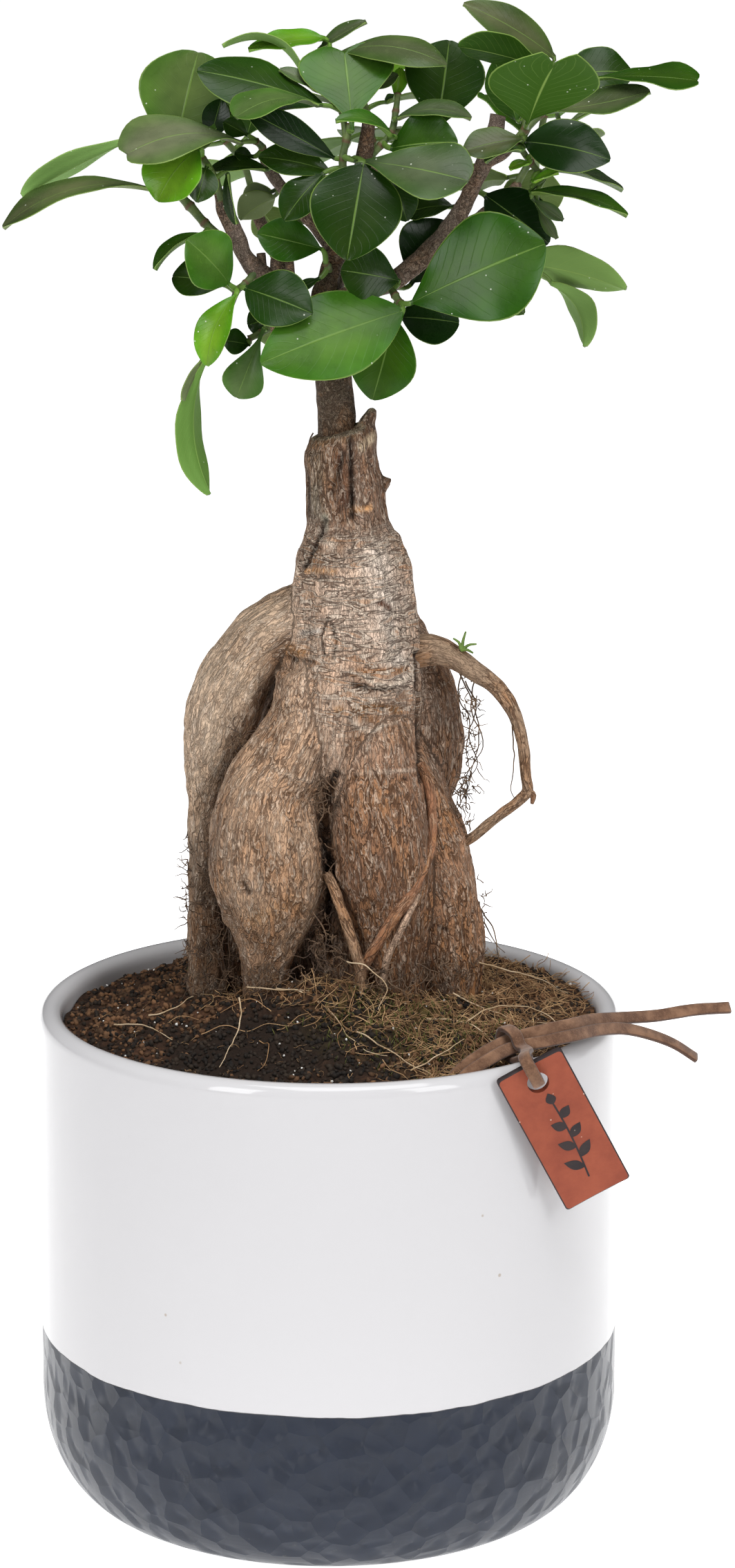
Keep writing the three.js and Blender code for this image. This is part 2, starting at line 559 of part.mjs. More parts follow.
// Shoots: twigs are lines of [x, z, y, radius]
const SHOOTS = {
  leaves_left_outer: {
    twigs: [[[-20.5, 305.5, -3, 1.2], [-25, 308.5, -2, 1.2], [-29, 312, -1, 1.2], [-32.5, 316, 1, 1.3],
      [-36, 319.3, 2, 1], [-39, 320.3, 3, 0.8]]],
    leaves: [
      leaf([-41, 320.3, 4], [-76.5, 311, 2], 17, [0, -0.2, 1], 4.8, 0.6, 1.8),
      leaf([-29.5, 309.8, -3], [-41.2, 301.2, -6], 5.8, [-0.25, -0.25, 1], 1.8, 1),
    ],
  },
  leaves_left_end: {
    twigs: [
      [[-24.9, 317, -4, 1.1], [-26.5, 322, -4.5, 1.1], [-29.5, 327, -3, 1], [-34, 330, 1, 1], [-39, 331.5, 6, 0.8]],
    ],
    leaves: [
      leaf([-44, 332.6, 11], [-72, 318.6, 10], 8, [-0.35, 0.75, 0.55], 1.2, 0.8, 1.7),
      leaf([-36.3, 327, 4], [-30.3, 351.6, 8], 23.5, [0, -1, 0.35], 1.5, 0.8, 1.45, 1),
      leaf([-30.3, 329.5, -7], [-40.2, 317, -12], 16, [-0.35, -0.8, 0.5], 2, 1),
      leaf([-28.5, 325, -9], [-30.8, 316.8, -15], 8, [0, -1, 0.2]),
      leaf([-24, 323.5, -6], [-22, 311.5, -8], 4.5, [-0.9, -0.5, 0.1], 0.5, 0.4),
      leaf([-27.5, 331.5, 4.6], [-25, 340.8, 3.8], 6.8, [0, -1, 0.3]),
    ],
  },
  leaves_left_middle: {
    twigs: [[[-14.6, 325.6, 3.4, 1], [-15.5, 329.5, 2, 1], [-17, 331, 0, 0.9]]],
    leaves: [
      leaf([-20, 331, -2], [-47, 328.3, -12], 24, [0.05, -0.33, 0.94], 3.6, 0.5, 2.1, 2.5),
      leaf([-17.8, 327.5, 1], [-22, 328.3, 0], 3.5, [0, -1, 0.4], 0.3, 0.3),
      leaf([-14.5, 324.8, -3], [-28.2, 324.2, -1], 8, [0, -0.35, 0.94], 1),
      leaf([-19, 332.5, 1], [-24.5, 335.6, 1], 5, [0, -1, 0.3], 0.3, 0.3),
      leaf([-12.5, 318.5, 9], [-21, 313, 13], 8, [0.1, 0.8, 0.55]),
      leaf([-13, 319.5, 12], [-20, 317, 16], 6, [0.1, 0.8, 0.55]),
    ],
  },
  leaves_centre: {
    twigs: [
      [[5, 317, -1, 1.2], [3.6, 322, -3.5, 1.2], [3.2, 327, -4.5, 1.1], [4, 331, -4.5, 1], [5, 335, -3.5, 0.9]],
      [[4, 331, -4.5, 0.9], [3, 338, 0, 0.9], [1, 344, 6, 0.9], [-0.5, 348, 10, 0.8]],
    ],
    leaves: [
      leaf([8, 325.5, -10], [4.2, 303.2, -19], 21.5, [0, -0.95, 0.3], 1, 0.8, 0.88),
      leaf([6, 326.7, -8], [32.3, 322, -22], 18.5, [0.15, -0.72, 0.68], 1, 0.8, 2.1, 1.5),
      leaf([-2, 339.6, -4], [-21.8, 336.7, -15], 15, [-0.05, -0.28, 0.96], 3.1, 0.6, 2.1, 1),
      leaf([1.5, 327, -5], [-19.5, 338.3, -8], 8, [-0.2, -0.9, 0.4], 1),
      leaf([0.5, 324, -4], [-16.5, 327.5, -5], 9, [0, -0.75, 0.6]),
      leaf([-1.5, 323.5, -6], [-10.6, 312.6, -11], 9.5, [-0.25, -0.9, 0.35]),
      leaf([5.5, 333.5, -6], [3.6, 351.5, 8], 22.5, [0, -0.75, 0.7], 1, 0.8, 2.2, 4),
      leaf([-1, 339.5, 0], [-30.7, 347.5, -2], 19.5, [0.05, -0.55, 0.83], 1.2, -1.2, 1.35),
      leaf([-5, 346, 8], [-25, 353.4, 8], 7, [0, 0.235, 0.972], 5.5, 0.2, 1.1),
      leaf([-1.5, 355, 14], [-18.8, 352.4, 11], 9, [0, -0.4, 0.9], 0.5, 0.8, 0.85),
      leaf([-2, 352.8, 15], [8.5, 358.8, 13], 4.6, [-0.4, -0.6, 0.7], 0.3, 0.8, 1),
      leaf([2, 351.5, 11], [27.5, 348.7, 2], 13, [0, -0.45, 0.9], 3.4, -0.8, 1.3),
      leaf([10, 343, 5], [16, 346.5, 5], 4, [0, -0.8, 0.6], 0.4, 0.3),
      leaf([-3, 343, 3], [-11.5, 347.8, 4], 4, [0, -0.6, 0.8], 0.8, 0.3),
    ],
  },
  leaves_centre_right: {
    twigs: [
      [[8.4, 326, 0, 1], [12, 330, 1, 1], [14.5, 333, 2, 1], [15.5, 338, 4, 0.9], [16, 342, 6, 0.8]],
      [[14.5, 333, 2, 0.9], [20, 333.5, 5, 0.9], [25, 333, 6, 0.8]],
    ],
    leaves: [
      leaf([14.8, 332.5, -5], [1.5, 336, -13], 6.5, [0.5, -0.3, 0.9], 2.4, 0.5, 1),
      leaf([25.3, 334.2, 7], [27.9, 354.4, 13], 19, [0, -1, 0.3], 1, 0.8, 1.35),
      leaf([15.5, 336.5, 1], [33.3, 336.5, -3], 8, [0, -0.4, 0.9], 2.4, 0.5),
      leaf([14.5, 329.5, -2], [30, 330.8, -7], 16, [0, -0.8, 0.5], 1, 0.8, 1),
      leaf([15.5, 341, 8], [16.7, 348, 10], 4, [0.3, -0.9, 0.3], 0.3, 0.3),
      leaf([14, 322.5, 0], [18.3, 312.3, -2], 8, [0.3, -0.9, 0.2]),
    ],
  },
  leaves_low_centre: {
    twigs: [[[14, 298, -2, 1.2], [15.5, 295, -5, 1.1], [16.7, 293.3, -7, 1]]],
    leaves: [
      leaf([17.4, 291.5, -10], [-16.2, 279, -20], 21.5, [0.1, -0.85, 0.5], 1.5, -0.8, 0.98),
      leaf([15.4, 289.8, -6], [10.2, 270.2, -9], 15.8, [0.1, -1, 0.25], 1.2, 0.8, 1.15),
      leaf([19, 293.2, -10], [50.7, 307.2, -17], 26, [0.05, -0.92, 0.4], 2, -0.8, 1.4),
      leaf([17, 290, -2], [30.7, 288.6, 2], 13, [0, -0.9, 0.4], 1, 0.8, 0.95),
      leaf([16.5, 298.5, -5], [2.7, 301, -8], 13.5, [0, -1, 0.3], 1, 0.8, 1.35),
      leaf([19.5, 298, 3], [27.5, 312.5, 6], 17, [0.1, -1, 0.2]),
    ],
  },
  leaves_right_middle: {
    twigs: [[[32.2, 317.5, 0, 1], [33, 319, 4, 1], [34.5, 319.5, 7, 0.9]]],
    leaves: [
      leaf([29, 316, 6], [17.5, 314, 8], 9, [0, -0.6, 0.8]),
      leaf([36.5, 318.5, 6], [51.5, 307.2, 4], 14.5, [0, -1, 0.3], 1, 0.8, 1),
    ],
  },
  leaves_right_end: {
    twigs: [
      [[42, 329.6, -3, 1.1], [45.5, 333.5, -3, 1.1], [49, 337, -1, 1], [54, 341.5, 1, 0.9], [58, 344.5, 2, 0.8]],
      [[45.5, 333.5, -3, 1], [46, 340, 2, 0.9], [46.5, 346, 5, 0.8]],
      [[43.5, 331, -3, 0.9], [47, 326, -1, 0.9], [50, 322.5, 0, 0.8]],
    ],
    leaves: [
      leaf([52, 350.7, 9], [31, 362.8, 5], 10.2, [0.25, -0.8, 0.55], 1.6, 0.5, 0.95),
      leaf([49, 349, -1], [29.8, 353.7, -4], 12, [0, 0.65, 0.75], 0.6, 0.8, 1.3),
      leaf([46, 335.5, -6], [51.8, 349, -19], 26.5, [-0.1, 0.67, 0.68], 1, -0.8, 1.45, 7),
      leaf([44, 335.5, 0], [38.5, 350, 3], 11, [0.2, 0.9, 0.3]),
      leaf([54, 346, 10], [70.5, 346.8, 14], 13, [0, -0.8, 0.6], 1.5, 0.8, 1.1),
      leaf([60, 345.8, 2], [85.2, 345.2, -1], 15, [0, -0.3, 0.95], 0.8, 0.5, 2.4, 2.5),
      leaf([50, 338.2, -1], [74.5, 342.8, -3], 11.5, [0.1, -0.45, 0.88], -0.8, 0.5, 1.7),
      leaf([55.5, 335.3, 5], [62.3, 338.9, 8], 1.8, [0, -0.5, 0.8], 0.3, 0.2),
      leaf([45.5, 331, -5], [65.6, 326.7, -9], 14.5, [0, -0.8, 0.6], 1.5, 0.8, 0.95),
      leaf([45, 331.7, -7], [31, 328.7, -9], 9.5, [0, -0.65, 0.75], 0.8, 0.5),
      leaf([45, 329.3, -6], [36, 326.3, -7], 5, [0, -0.3, 0.9], 1.5, 0.3),
      leaf([46.5, 326.3, -4], [41.8, 324.8, -4], 3, [0, -0.6, 0.8], 0.3, 0.2),
      leaf([51, 325, 1], [68.8, 320, 3], 9, [0, -0.15, 1], 1.2, 0.5, 1.8),
      leaf([46.8, 319.5, -1], [70, 314, -5], 9.5, [0, -0.2, 1], 1.9, 0.5),
      leaf([47.5, 322, -3], [53.4, 324.2, -4], 2.8, [0, -0.5, 0.9], 0.3, 0.2),
      leaf([47.8, 317.4, 0], [54.8, 312.6, 0], 3.4, [-0.2, -0.9, 0.4], 0.3, 0.3),
      leaf([48.8, 315.5, 0.8], [53.3, 308.2, 0.4], 3, [-0.6, -0.7, 0.4], 0.3, 0.2),
    ],
  },
  leaves_right_under: {
    twigs: [[[22.5, 303.5, 0, 1.2], [32, 301.5, 6, 1.1], [42, 300.5, 8, 1], [48.3, 300.6, 8.2, 0.88]]],
    leaves: [
      leaf([43, 303.3, 9], [70, 296.8, 5], 11.5, [0, 0.85, 0.5], 2, 0.8, 0.95),
      leaf([51.7, 298.5, 8], [60.5, 282.7, 7], 8.5, [0.7, 0.7, 0.1], 4.6, 0.8, 1.3),
      leaf([38.5, 295.5, 8], [46, 290.8, 8], 5, [0, -0.8, 0.5], 0.5, 0.3),
      leaf([51, 303.6, 11], [56.3, 300.5, 11], 1.8, [0, -0.5, 0.8], 0.3, 0.1),
    ],
  },
  leaves_stem: {
    twigs: [[[0.2, 300.5, -1, 1.1], [-0.2, 301.8, -3.6, 1], [-0.8, 302.6, -5, 0.9]]],
    leaves: [
      leaf([-1.8, 306, -5.6], [-16.8, 309.6, -7.5], 10.4, [-0.1, -1, 0.25], 1),
      leaf([-2.4, 299, -4.6], [-7.5, 296.4, -5], 2.6, [0, -1, 0.4], 0.4, 0.3),
    ],
  },
  leaves_left_low: {
    twigs: [
      [[-17.2, 300.6, -3, 1.1], [-19.5, 297.8, -5, 1.1], [-21.5, 296.4, -6, 1]],
      [[-21.5, 296.4, -6, 0.9], [-24.5, 289, -4, 0.8], [-28, 283, -3, 0.8]],
    ],
    leaves: [
      leaf([-23.3, 297.7, -8], [-33.2, 308.2, -16], 14.5, [-0.2, -0.8, 0.6], 1.5),
      leaf([-24.5, 297.5, -4], [-36.8, 299.5, -1], 10, [0, -0.85, 0.5]),
      leaf([-19.6, 296.8, -9], [-3.9, 290.8, -17], 14.3, [0.1, -0.95, 0.35], 1, 0.8, 1.05),
      leaf([-21.8, 295.3, -9], [-28.8, 278.2, -13], 9.3, [-0.5, -0.85, 0.2], 3.2, 0.8, 1.3),
      leaf([-29.3, 280.3, -3], [-28.6, 247.3, -5], 10, [-0.75, 0.65, 0], 5.2, 0.8, 1.5),
      leaf([-30.2, 280, -2], [-35, 270.3, -3], 4, [-0.6, 0.2, 0.7], 0.4, 0.4),
    ],
  },
  leaves_left_under: {
    twigs: [[[-12.6, 288, -1.8, 1], [-16, 286.2, -2.2, 1], [-18.8, 284.8, -3, 0.9]]],
    leaves: [
      leaf([-18.6, 283.5, -3], [-25, 284.5, -5], 6.3, [0, -1, 0.4], 0.4, 0.3),
      leaf([-15.3, 287.3, -4], [-21.8, 270.7, -6], 10, [0.1, -0.9, 0.4], 1, 0.8, 2.5),
      leaf([-15, 289.2, 1], [-19.2, 288, 1], 6, [0, -1, 0.3], 0.4, 0.3),
    ],
  },
  leaves_back_centre: {
    twigs: [[[9.9, 326, 25.5, 1.2], [10, 331, 28, 1.1], [9, 337, 29, 1], [7, 343, 28, 0.9]]],
    leaves: [
      leaf([7, 345.5, 31], [5, 351.5, 48], 15, [0, 0.3, 1]),
      leaf([3.5, 340, 31], [-14, 341, 44], 15, [-0.2, 0.4, 0.9]),
      leaf([13, 340.5, 32], [27, 341, 46], 15, [0.2, 0.4, 0.9]),
      leaf([10, 334, 34], [10, 330, 57], 17, [0, 0.5, 0.9]),
      leaf([5, 332, 32], [-8, 324, 48], 15, [-0.3, 0.6, 0.7]),
      leaf([15.5, 331, 32], [26, 324, 46], 15, [0.3, 0.6, 0.7]),
      leaf([10, 325.5, 32], [8, 309, 44], 16, [0, 0.95, 0.3]),
      leaf([13, 345.5, 27], [21, 350, 36], 12, [0.1, 0.1, 1]),
      leaf([5, 323, 27], [-7, 312, 33], 13, [-0.2, 0.95, 0.3]),
    ],
  },
  leaves_back_left: {
    twigs: [[[-17.9, 319.3, 24.6, 1], [-20, 326, 27, 1], [-24, 331, 27, 0.9]]],
    leaves: [
      leaf([-27, 334, 28], [-36, 345, 40], 16, [-0.2, 0.5, 0.85]),
      leaf([-28.5, 330.5, 31], [-42, 331, 46], 15, [-0.3, 0.5, 0.8]),
      leaf([-24.5, 326.5, 33], [-28, 320, 53], 16, [0, 0.6, 0.8]),
      leaf([-19, 332.5, 30], [-16, 340, 46], 14, [0.1, 0.4, 0.9]),
      leaf([-16, 316, 30], [-10, 306, 38], 12, [0.1, 0.9, 0.4]),
    ],
  },
  leaves_back_right: {
    twigs: [[[43.4, 320.4, 20.4, 1.1], [47, 327, 24, 1], [49, 332, 25, 1], [50, 337, 25, 0.9]]],
    leaves: [
      leaf([50, 340, 26], [46, 350, 38], 15, [0, 0.4, 0.9]),
      leaf([53, 337.5, 28], [66, 343, 40], 14, [0.3, 0.4, 0.9]),
      leaf([52, 332, 30], [60, 330, 51], 16, [0.1, 0.6, 0.8]),
      leaf([46, 332, 28], [36, 342, 42], 15, [-0.2, 0.5, 0.85]),
      leaf([48.5, 325, 29], [47, 312, 40], 15, [0, 0.9, 0.4]),
      leaf([42, 323, 25], [28, 320, 34], 13, [-0.2, 0.7, 0.7]),
      leaf([41.5, 318, 25], [38, 301, 34], 15, [-0.1, 0.95, 0.3]),
    ],
  },
  leaves_back_low: {
    twigs: [[[-4.2, 289.8, 13, 1], [-5.5, 291.5, 16.5, 1], [-6, 293, 19, 0.9]]],
    leaves: [
      leaf([-7.5, 291, 20], [-12, 282, 35], 15, [-0.1, 0.6, 0.8]),
      leaf([-2.5, 291.5, 19], [6, 284, 32], 14, [0.1, 0.6, 0.8]),
      leaf([-9, 294.5, 19], [-16, 298, 32], 13, [-0.2, 0.5, 0.85]),
      leaf([-1.5, 295, 18], [10, 299, 27], 12, [0.2, 0.5, 0.85]),
    ],
  },
};

function makeShoot(shoot, clearance) {
  const twigs = shoot.twigs.map((twig) => limb(twig, { sides: 4, rings: twig.length }));
  const leaves = shoot.leaves.map((blade) => leafSolid(shoot.twigs, blade));
  return mainBody(unionOf([...twigs, ...leaves]).subtract(clearance));
}

// The lace: two flat strands from the soil over the rim to their bare ends, as places [x, y, z]
const LACE_BACK_ROUTE = [
  [27.5, -50.4, 116.5], [30, -50.6, 120.5], [36, -47.8, 124.3], [42.2, -43.9, 126.4], [50, -41, 127.8],
  [57, -37.2, 128.2], [62.8, -31.3, 127.6], [69.6, -25.8, 126.4], [78, -21.2, 125.6], [87.3, -17.6, 126],
  [96, -15, 125.8],
];
const LACE_FRONT_ROUTE = [
  [28.8, -53.6, 116.5], [31.5, -53.8, 120.5], [37, -51.2, 123.7], [42.6, -47, 125.3], [50.3, -44.6, 126.2],
  [57.2, -40.7, 126.5], [63.6, -34.4, 126], [70, -29.5, 124.8], [76.2, -26.8, 122.6], [82, -25, 119.8],
  [87.5, -23.4, 115.8],
];
const LACE_STEPS = 18;
const LACE_CORNERS = 8;
const LACE_SQUARENESS = 0.5;
const STRAND_FACE_RISE = 45;

// The broad side of a strand looks outwards and up
function strandFace(place) {
  return new THREE.Vector3(place.x, place.y, STRAND_FACE_RISE).normalize();
}

function laceRing(centre, edge, face, grow) {
  const ring = [];
  for (let corner = 0; corner < LACE_CORNERS; corner += 1) {
    const angle = (2 * Math.PI * (corner + 0.5)) / LACE_CORNERS;
    const across = Math.sign(Math.cos(angle)) * Math.abs(Math.cos(angle)) ** LACE_SQUARENESS;
    const through = Math.sign(Math.sin(angle)) * Math.abs(Math.sin(angle)) ** LACE_SQUARENESS;
    const point = centre.clone().addScaledVector(edge, across * (LACE_WIDTH / 2 + grow));
    ring.push(point.addScaledVector(face, through * (LACE_THICKNESS / 2 + grow)));
  }
  return ring;
}

function laceSolid(route, grow = 0) {
  const line = new THREE.CatmullRomCurve3(route.map((place) => new THREE.Vector3(...place)), false, "centripetal");
  const rings = [];
  for (let step = 0; step <= LACE_STEPS; step += 1) {
    const centre = line.getPoint(step / LACE_STEPS);
    const tangent = line.getTangent(step / LACE_STEPS);
    const face = strandFace(centre);
    face.addScaledVector(tangent, -face.dot(tangent)).normalize();
    rings.push(laceRing(centre, tangent.clone().cross(face), face, grow));
  }
  return loft(rings);
}

// The tag's own axes: across, along its length and out of its face
function tagAxes() {
  const turn = THREE.MathUtils.degToRad(10);
  const lean = THREE.MathUtils.degToRad(9);
  const roll = THREE.MathUtils.degToRad(28);
  const side = new THREE.Vector3(Math.cos(turn), Math.sin(turn), 0);
  const out = new THREE.Vector3(Math.sin(turn), -Math.cos(turn), 0);
  const up = new THREE.Vector3(0, 0, Math.cos(lean)).addScaledVector(out, Math.sin(lean));
  const across = side.clone().multiplyScalar(Math.cos(roll)).addScaledVector(up, Math.sin(roll));
  const along = up.clone().multiplyScalar(Math.cos(roll)).addScaledVector(side, -Math.sin(roll));
  return { across, along, face: across.clone().cross(along) };
}

const TAG_CENTRE = new THREE.Vector3(54.4, -55.6, 108.4);
const TAG_HOLE_DOWN = 5.2;

function tagHoleCentre() {
  return TAG_CENTRE.clone().addScaledVector(tagAxes().along, TAG_LENGTH / 2 - TAG_HOLE_DOWN);
}

function makeTag() {
  const outline = new THREE.Shape();
  const halfWide = TAG_WIDTH / 2;
  const halfLong = TAG_LENGTH / 2;
  outline.moveTo(-halfWide, -halfLong);
  outline.lineTo(halfWide, -halfLong);
  outline.lineTo(halfWide, halfLong);
  outline.lineTo(-halfWide, halfLong);
  outline.closePath();
  const hole = new THREE.Path();
  hole.absarc(0, halfLong - TAG_HOLE_DOWN, TAG_HOLE_RADIUS, 0, 2 * Math.PI, true);
  outline.holes.push(hole);
  const geometry = new THREE.ExtrudeGeometry(outline, { depth: TAG_THICKNESS, bevelEnabled: false, curveSegments: 6 });
  geometry.translate(0, 0, -TAG_THICKNESS / 2);
  const { across, along, face } = tagAxes();
  const place = new THREE.Matrix4().makeBasis(across, along, face).setPosition(TAG_CENTRE);
  geometry.applyMatrix4(place);
  return solidOf(geometry);
}

// The tie: a loop of the same lace round both strands, over the rim and through the hole of the tag.
// Its stations are a place and the way its broad side runs.
const STRANDS_RUN = new THREE.Vector3(0.9, 0.41, 0.13);
const RIM_RUN = new THREE.Vector3(0.74, 0.67, 0);
const TIE_UNDER_STRANDS = [[43.7, -47.5, 122.8], [41.5, -44.6, 123.1], [40.3, -42.9, 125.8]];
const TIE_OVER_STRANDS = [[41, -43.3, 129], [43.3, -46.2, 128.6], [44.5, -47.9, 126.2]];
const TIE_ON_RIM = [45.9, -50.2, 125.9];
const TIE_UNDER_ON_RIM = [45.6, -49.8, 124.1];
const TIE_STEPS = 26;

function tieStations() {
  const { across, along, face } = tagAxes();
  const onTag = (rise, out) => {
    return [tagHoleCentre().addScaledVector(along, rise).addScaledVector(face, out), across];
  };
  const roundStrands = [...TIE_UNDER_STRANDS, ...TIE_OVER_STRANDS];
  return [
    [new THREE.Vector3(...TIE_UNDER_ON_RIM), RIM_RUN],
    ...roundStrands.map((place) => [new THREE.Vector3(...place), STRANDS_RUN]),
    [new THREE.Vector3(...TIE_ON_RIM), RIM_RUN],
    onTag(7, 0.2),
    onTag(4.6, 2.2),
    onTag(0.3, 2),
    onTag(0.3, -2),
    onTag(4, -2.2),
  ];
}

function makeTie() {
  const stations = tieStations();
  const line = new THREE.CatmullRomCurve3(stations.map(([place]) => place), true, "centripetal");
  const runs = new THREE.CatmullRomCurve3(stations.map(([, run]) => run), true, "catmullrom", 0.3);
  const rings = [];
  for (let step = 0; step < TIE_STEPS; step += 1) {
    const along = step / TIE_STEPS;
    const tangent = line.getTangent(along);
    const edge = runs.getPoint(along);
    edge.addScaledVector(tangent, -edge.dot(tangent)).normalize();
    rings.push(laceRing(line.getPoint(along), edge, edge.clone().cross(tangent), 0));
  }
  return loft(rings, { looped: true });
}

const finishes = {
  pot: { color: 0xe9e9ec, roughness: 0.18, metalness: 0 },
  soil: { color: 0x2b211a, roughness: 0.95, metalness: 0 },
  trunk: { color: 0x7d6450, roughness: 0.85, metalness: 0 },
  leaves: { color: 0x3f6b2e, roughness: 0.4, metalness: 0 },
  lace: { color: 0x6e4630, roughness: 0.9, metalness: 0 },
  tag: { color: 0x96503c, roughness: 0.8, metalness: 0 },
};

function named(name, solid, finish) {
  const mesh = new THREE.Mesh(geometryOf(solid), new THREE.MeshStandardMaterial(finish));
  mesh.name = name;
  return mesh;
}

const bonsai = new THREE.Group();
bonsai.add(named("pot", makePot(), finishes.pot));
bonsai.add(named("soil", makeSoil(), finishes.soil));
bonsai.add(named("trunk", makeTrunk(), finishes.trunk));
const woodRoom = woodClearance([...Object.values(WOOD_LIMBS), TRUNK_LIMBS.core]);
Object.entries(SHOOTS).forEach(([name, shoot]) => {
  bonsai.add(named(name, makeShoot(shoot, woodRoom), finishes.leaves));
});
bonsai.add(named("lace_back", laceSolid(LACE_BACK_ROUTE), finishes.lace));
bonsai.add(named("lace_front", laceSolid(LACE_FRONT_ROUTE), finishes.lace));
bonsai.add(named("lace_tie", makeTie(), finishes.lace));
bonsai.add(named("tag", makeTag(), finishes.tag));

export default bonsai;
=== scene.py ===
"""Looks of a ficus ginseng bonsai in its glazed pot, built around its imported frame.

Lengths in the tables are millimetres in the frame of the part: +Z up, the front of the plant along -Y.
Grown parts are placed by sight readings (x, z, y): where a thing shows on the plane y = 0, moved along
the line of sight to its depth y.
"""
import logging
import math
import random
from dataclasses import dataclass, field
from enum import Enum
from typing import Any, Dict, List, Mapping, Optional, Sequence, Tuple, Union

import bpy
import numpy as np
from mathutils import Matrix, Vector, noise


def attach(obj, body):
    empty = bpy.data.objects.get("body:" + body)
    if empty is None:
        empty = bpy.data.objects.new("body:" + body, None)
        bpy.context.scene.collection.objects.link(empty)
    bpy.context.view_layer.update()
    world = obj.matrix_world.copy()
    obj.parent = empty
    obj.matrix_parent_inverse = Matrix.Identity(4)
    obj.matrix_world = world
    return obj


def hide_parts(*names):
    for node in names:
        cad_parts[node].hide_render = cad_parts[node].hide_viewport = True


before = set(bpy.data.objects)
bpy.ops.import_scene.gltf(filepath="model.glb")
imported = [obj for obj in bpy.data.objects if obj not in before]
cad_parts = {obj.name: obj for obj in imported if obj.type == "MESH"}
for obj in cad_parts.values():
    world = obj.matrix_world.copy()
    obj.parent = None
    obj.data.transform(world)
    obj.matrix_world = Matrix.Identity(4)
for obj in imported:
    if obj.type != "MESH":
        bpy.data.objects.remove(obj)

log = logging.getLogger("bonsai")

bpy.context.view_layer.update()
MM = 0.001
BODY = "root"

EYE_DISTANCE = 1100.0
EYE_HEIGHT = 443.0
NOISE_SHIFT = 17.3

Pair = Tuple[float, float]
Point = Tuple[float, float, float]
Station = Tuple[float, ...]
Array = np.ndarray
Faces = List[Tuple[int, ...]]
Patch = Tuple[Array, Faces]
Material = bpy.types.Material
Socket = bpy.types.NodeSocket


def on_sight(readings: Sequence[Sequence[float]]) -> Array:
    """Moves sight readings to their depth.

    Args:
        readings: Rows that start with x, z and y, in millimetres.

    Returns:
        Their places, one row of x, y, z each.
    """
    rows = np.array([row[:3] for row in readings], dtype=float)
    reach = (EYE_DISTANCE + rows[:, 2]) / EYE_DISTANCE
    return np.column_stack((rows[:, 0] * reach, rows[:, 2], EYE_HEIGHT + (rows[:, 1] - EYE_HEIGHT) * reach))


def unit(vectors: Array) -> Array:
    """Scales each vector in the last axis to length one."""
    return vectors / np.maximum(np.linalg.norm(vectors, axis=-1, keepdims=True), 1e-12)


def smooth_line(points: Array, shares: Array, closed: bool = False) -> Array:
    """Follows a centripetal Catmull-Rom curve through points.

    Args:
        points: The points that it passes, one a row.
        shares: Places along it, from 0 at the first point to 1 at the last.
        closed: Whether the curve runs back to its first point.

    Returns:
        A point for each share.
    """
    count = len(points)
    spans = count if closed else count - 1
    if closed:
        padded = np.vstack((points[-1:], points, points[:2]))
    else:
        padded = np.vstack((2 * points[0] - points[1], points, 2 * points[-1] - points[-2]))
    place = np.clip(shares, 0, 1) * spans
    index = np.minimum(place.astype(int), spans - 1)
    weight = (place - index)[:, None]
    p0, p1, p2, p3 = (padded[index + step] for step in range(4))
    gaps = [np.maximum(np.linalg.norm(b - a, axis=1, keepdims=True) ** 0.5, 1e-4) for a, b in
            ((p0, p1), (p1, p2), (p2, p3))]
    first = (p1 - p0) / gaps[0] - (p2 - p0) / (gaps[0] + gaps[1]) + (p2 - p1) / gaps[1]
    last = (p2 - p1) / gaps[1] - (p3 - p1) / (gaps[1] + gaps[2]) + (p3 - p2) / gaps[2]
    first, last = first * gaps[1], last * gaps[1]
    square, cube = weight ** 2, weight ** 3
    return (p1 * (2 * cube - 3 * square + 1) + first * (cube - 2 * square + weight)
            + p2 * (3 * square - 2 * cube) + last * (cube - square))


def directions(line: Array) -> Array:
    """Gives the direction of a polyline at each of its points."""
    return unit(np.gradient(line, axis=0))


def distances(line: Array) -> Array:
    """Gives how far along a polyline each of its points lies."""
    return np.concatenate(([0.0], np.cumsum(np.linalg.norm(np.diff(line, axis=0), axis=1))))


def tube(line: Array, side: Array, up: Array, radii: Array, angles: Array) -> Array:
    """Lays a ring of points round each point of a line.

    Args:
        line: The middle, one point a row.
        side: The first direction across it, one a row.
        up: The second.
        radii: The radius at each point.
        angles: Where the points lie on a ring.

    Returns:
        An array of rings, points and coordinates.
    """
    spokes = side[:, None] * np.cos(angles)[None, :, None] + up[:, None] * np.sin(angles)[None, :, None]
    return line[:, None] + spokes * radii[:, None, None]


def noise_at(places: Array, size: float, seed: float = 0.0) -> Array:
    """Reads smooth noise at places.

    Args:
        places: Points, one a row.
        size: How far apart the waves lie, in the same unit.
        seed: Moves the pattern.

    Returns:
        Values from about -1 to 1.
    """
    shifted = places / size + seed * NOISE_SHIFT
    return np.array([noise.noise(Vector(place)) for place in shifted])


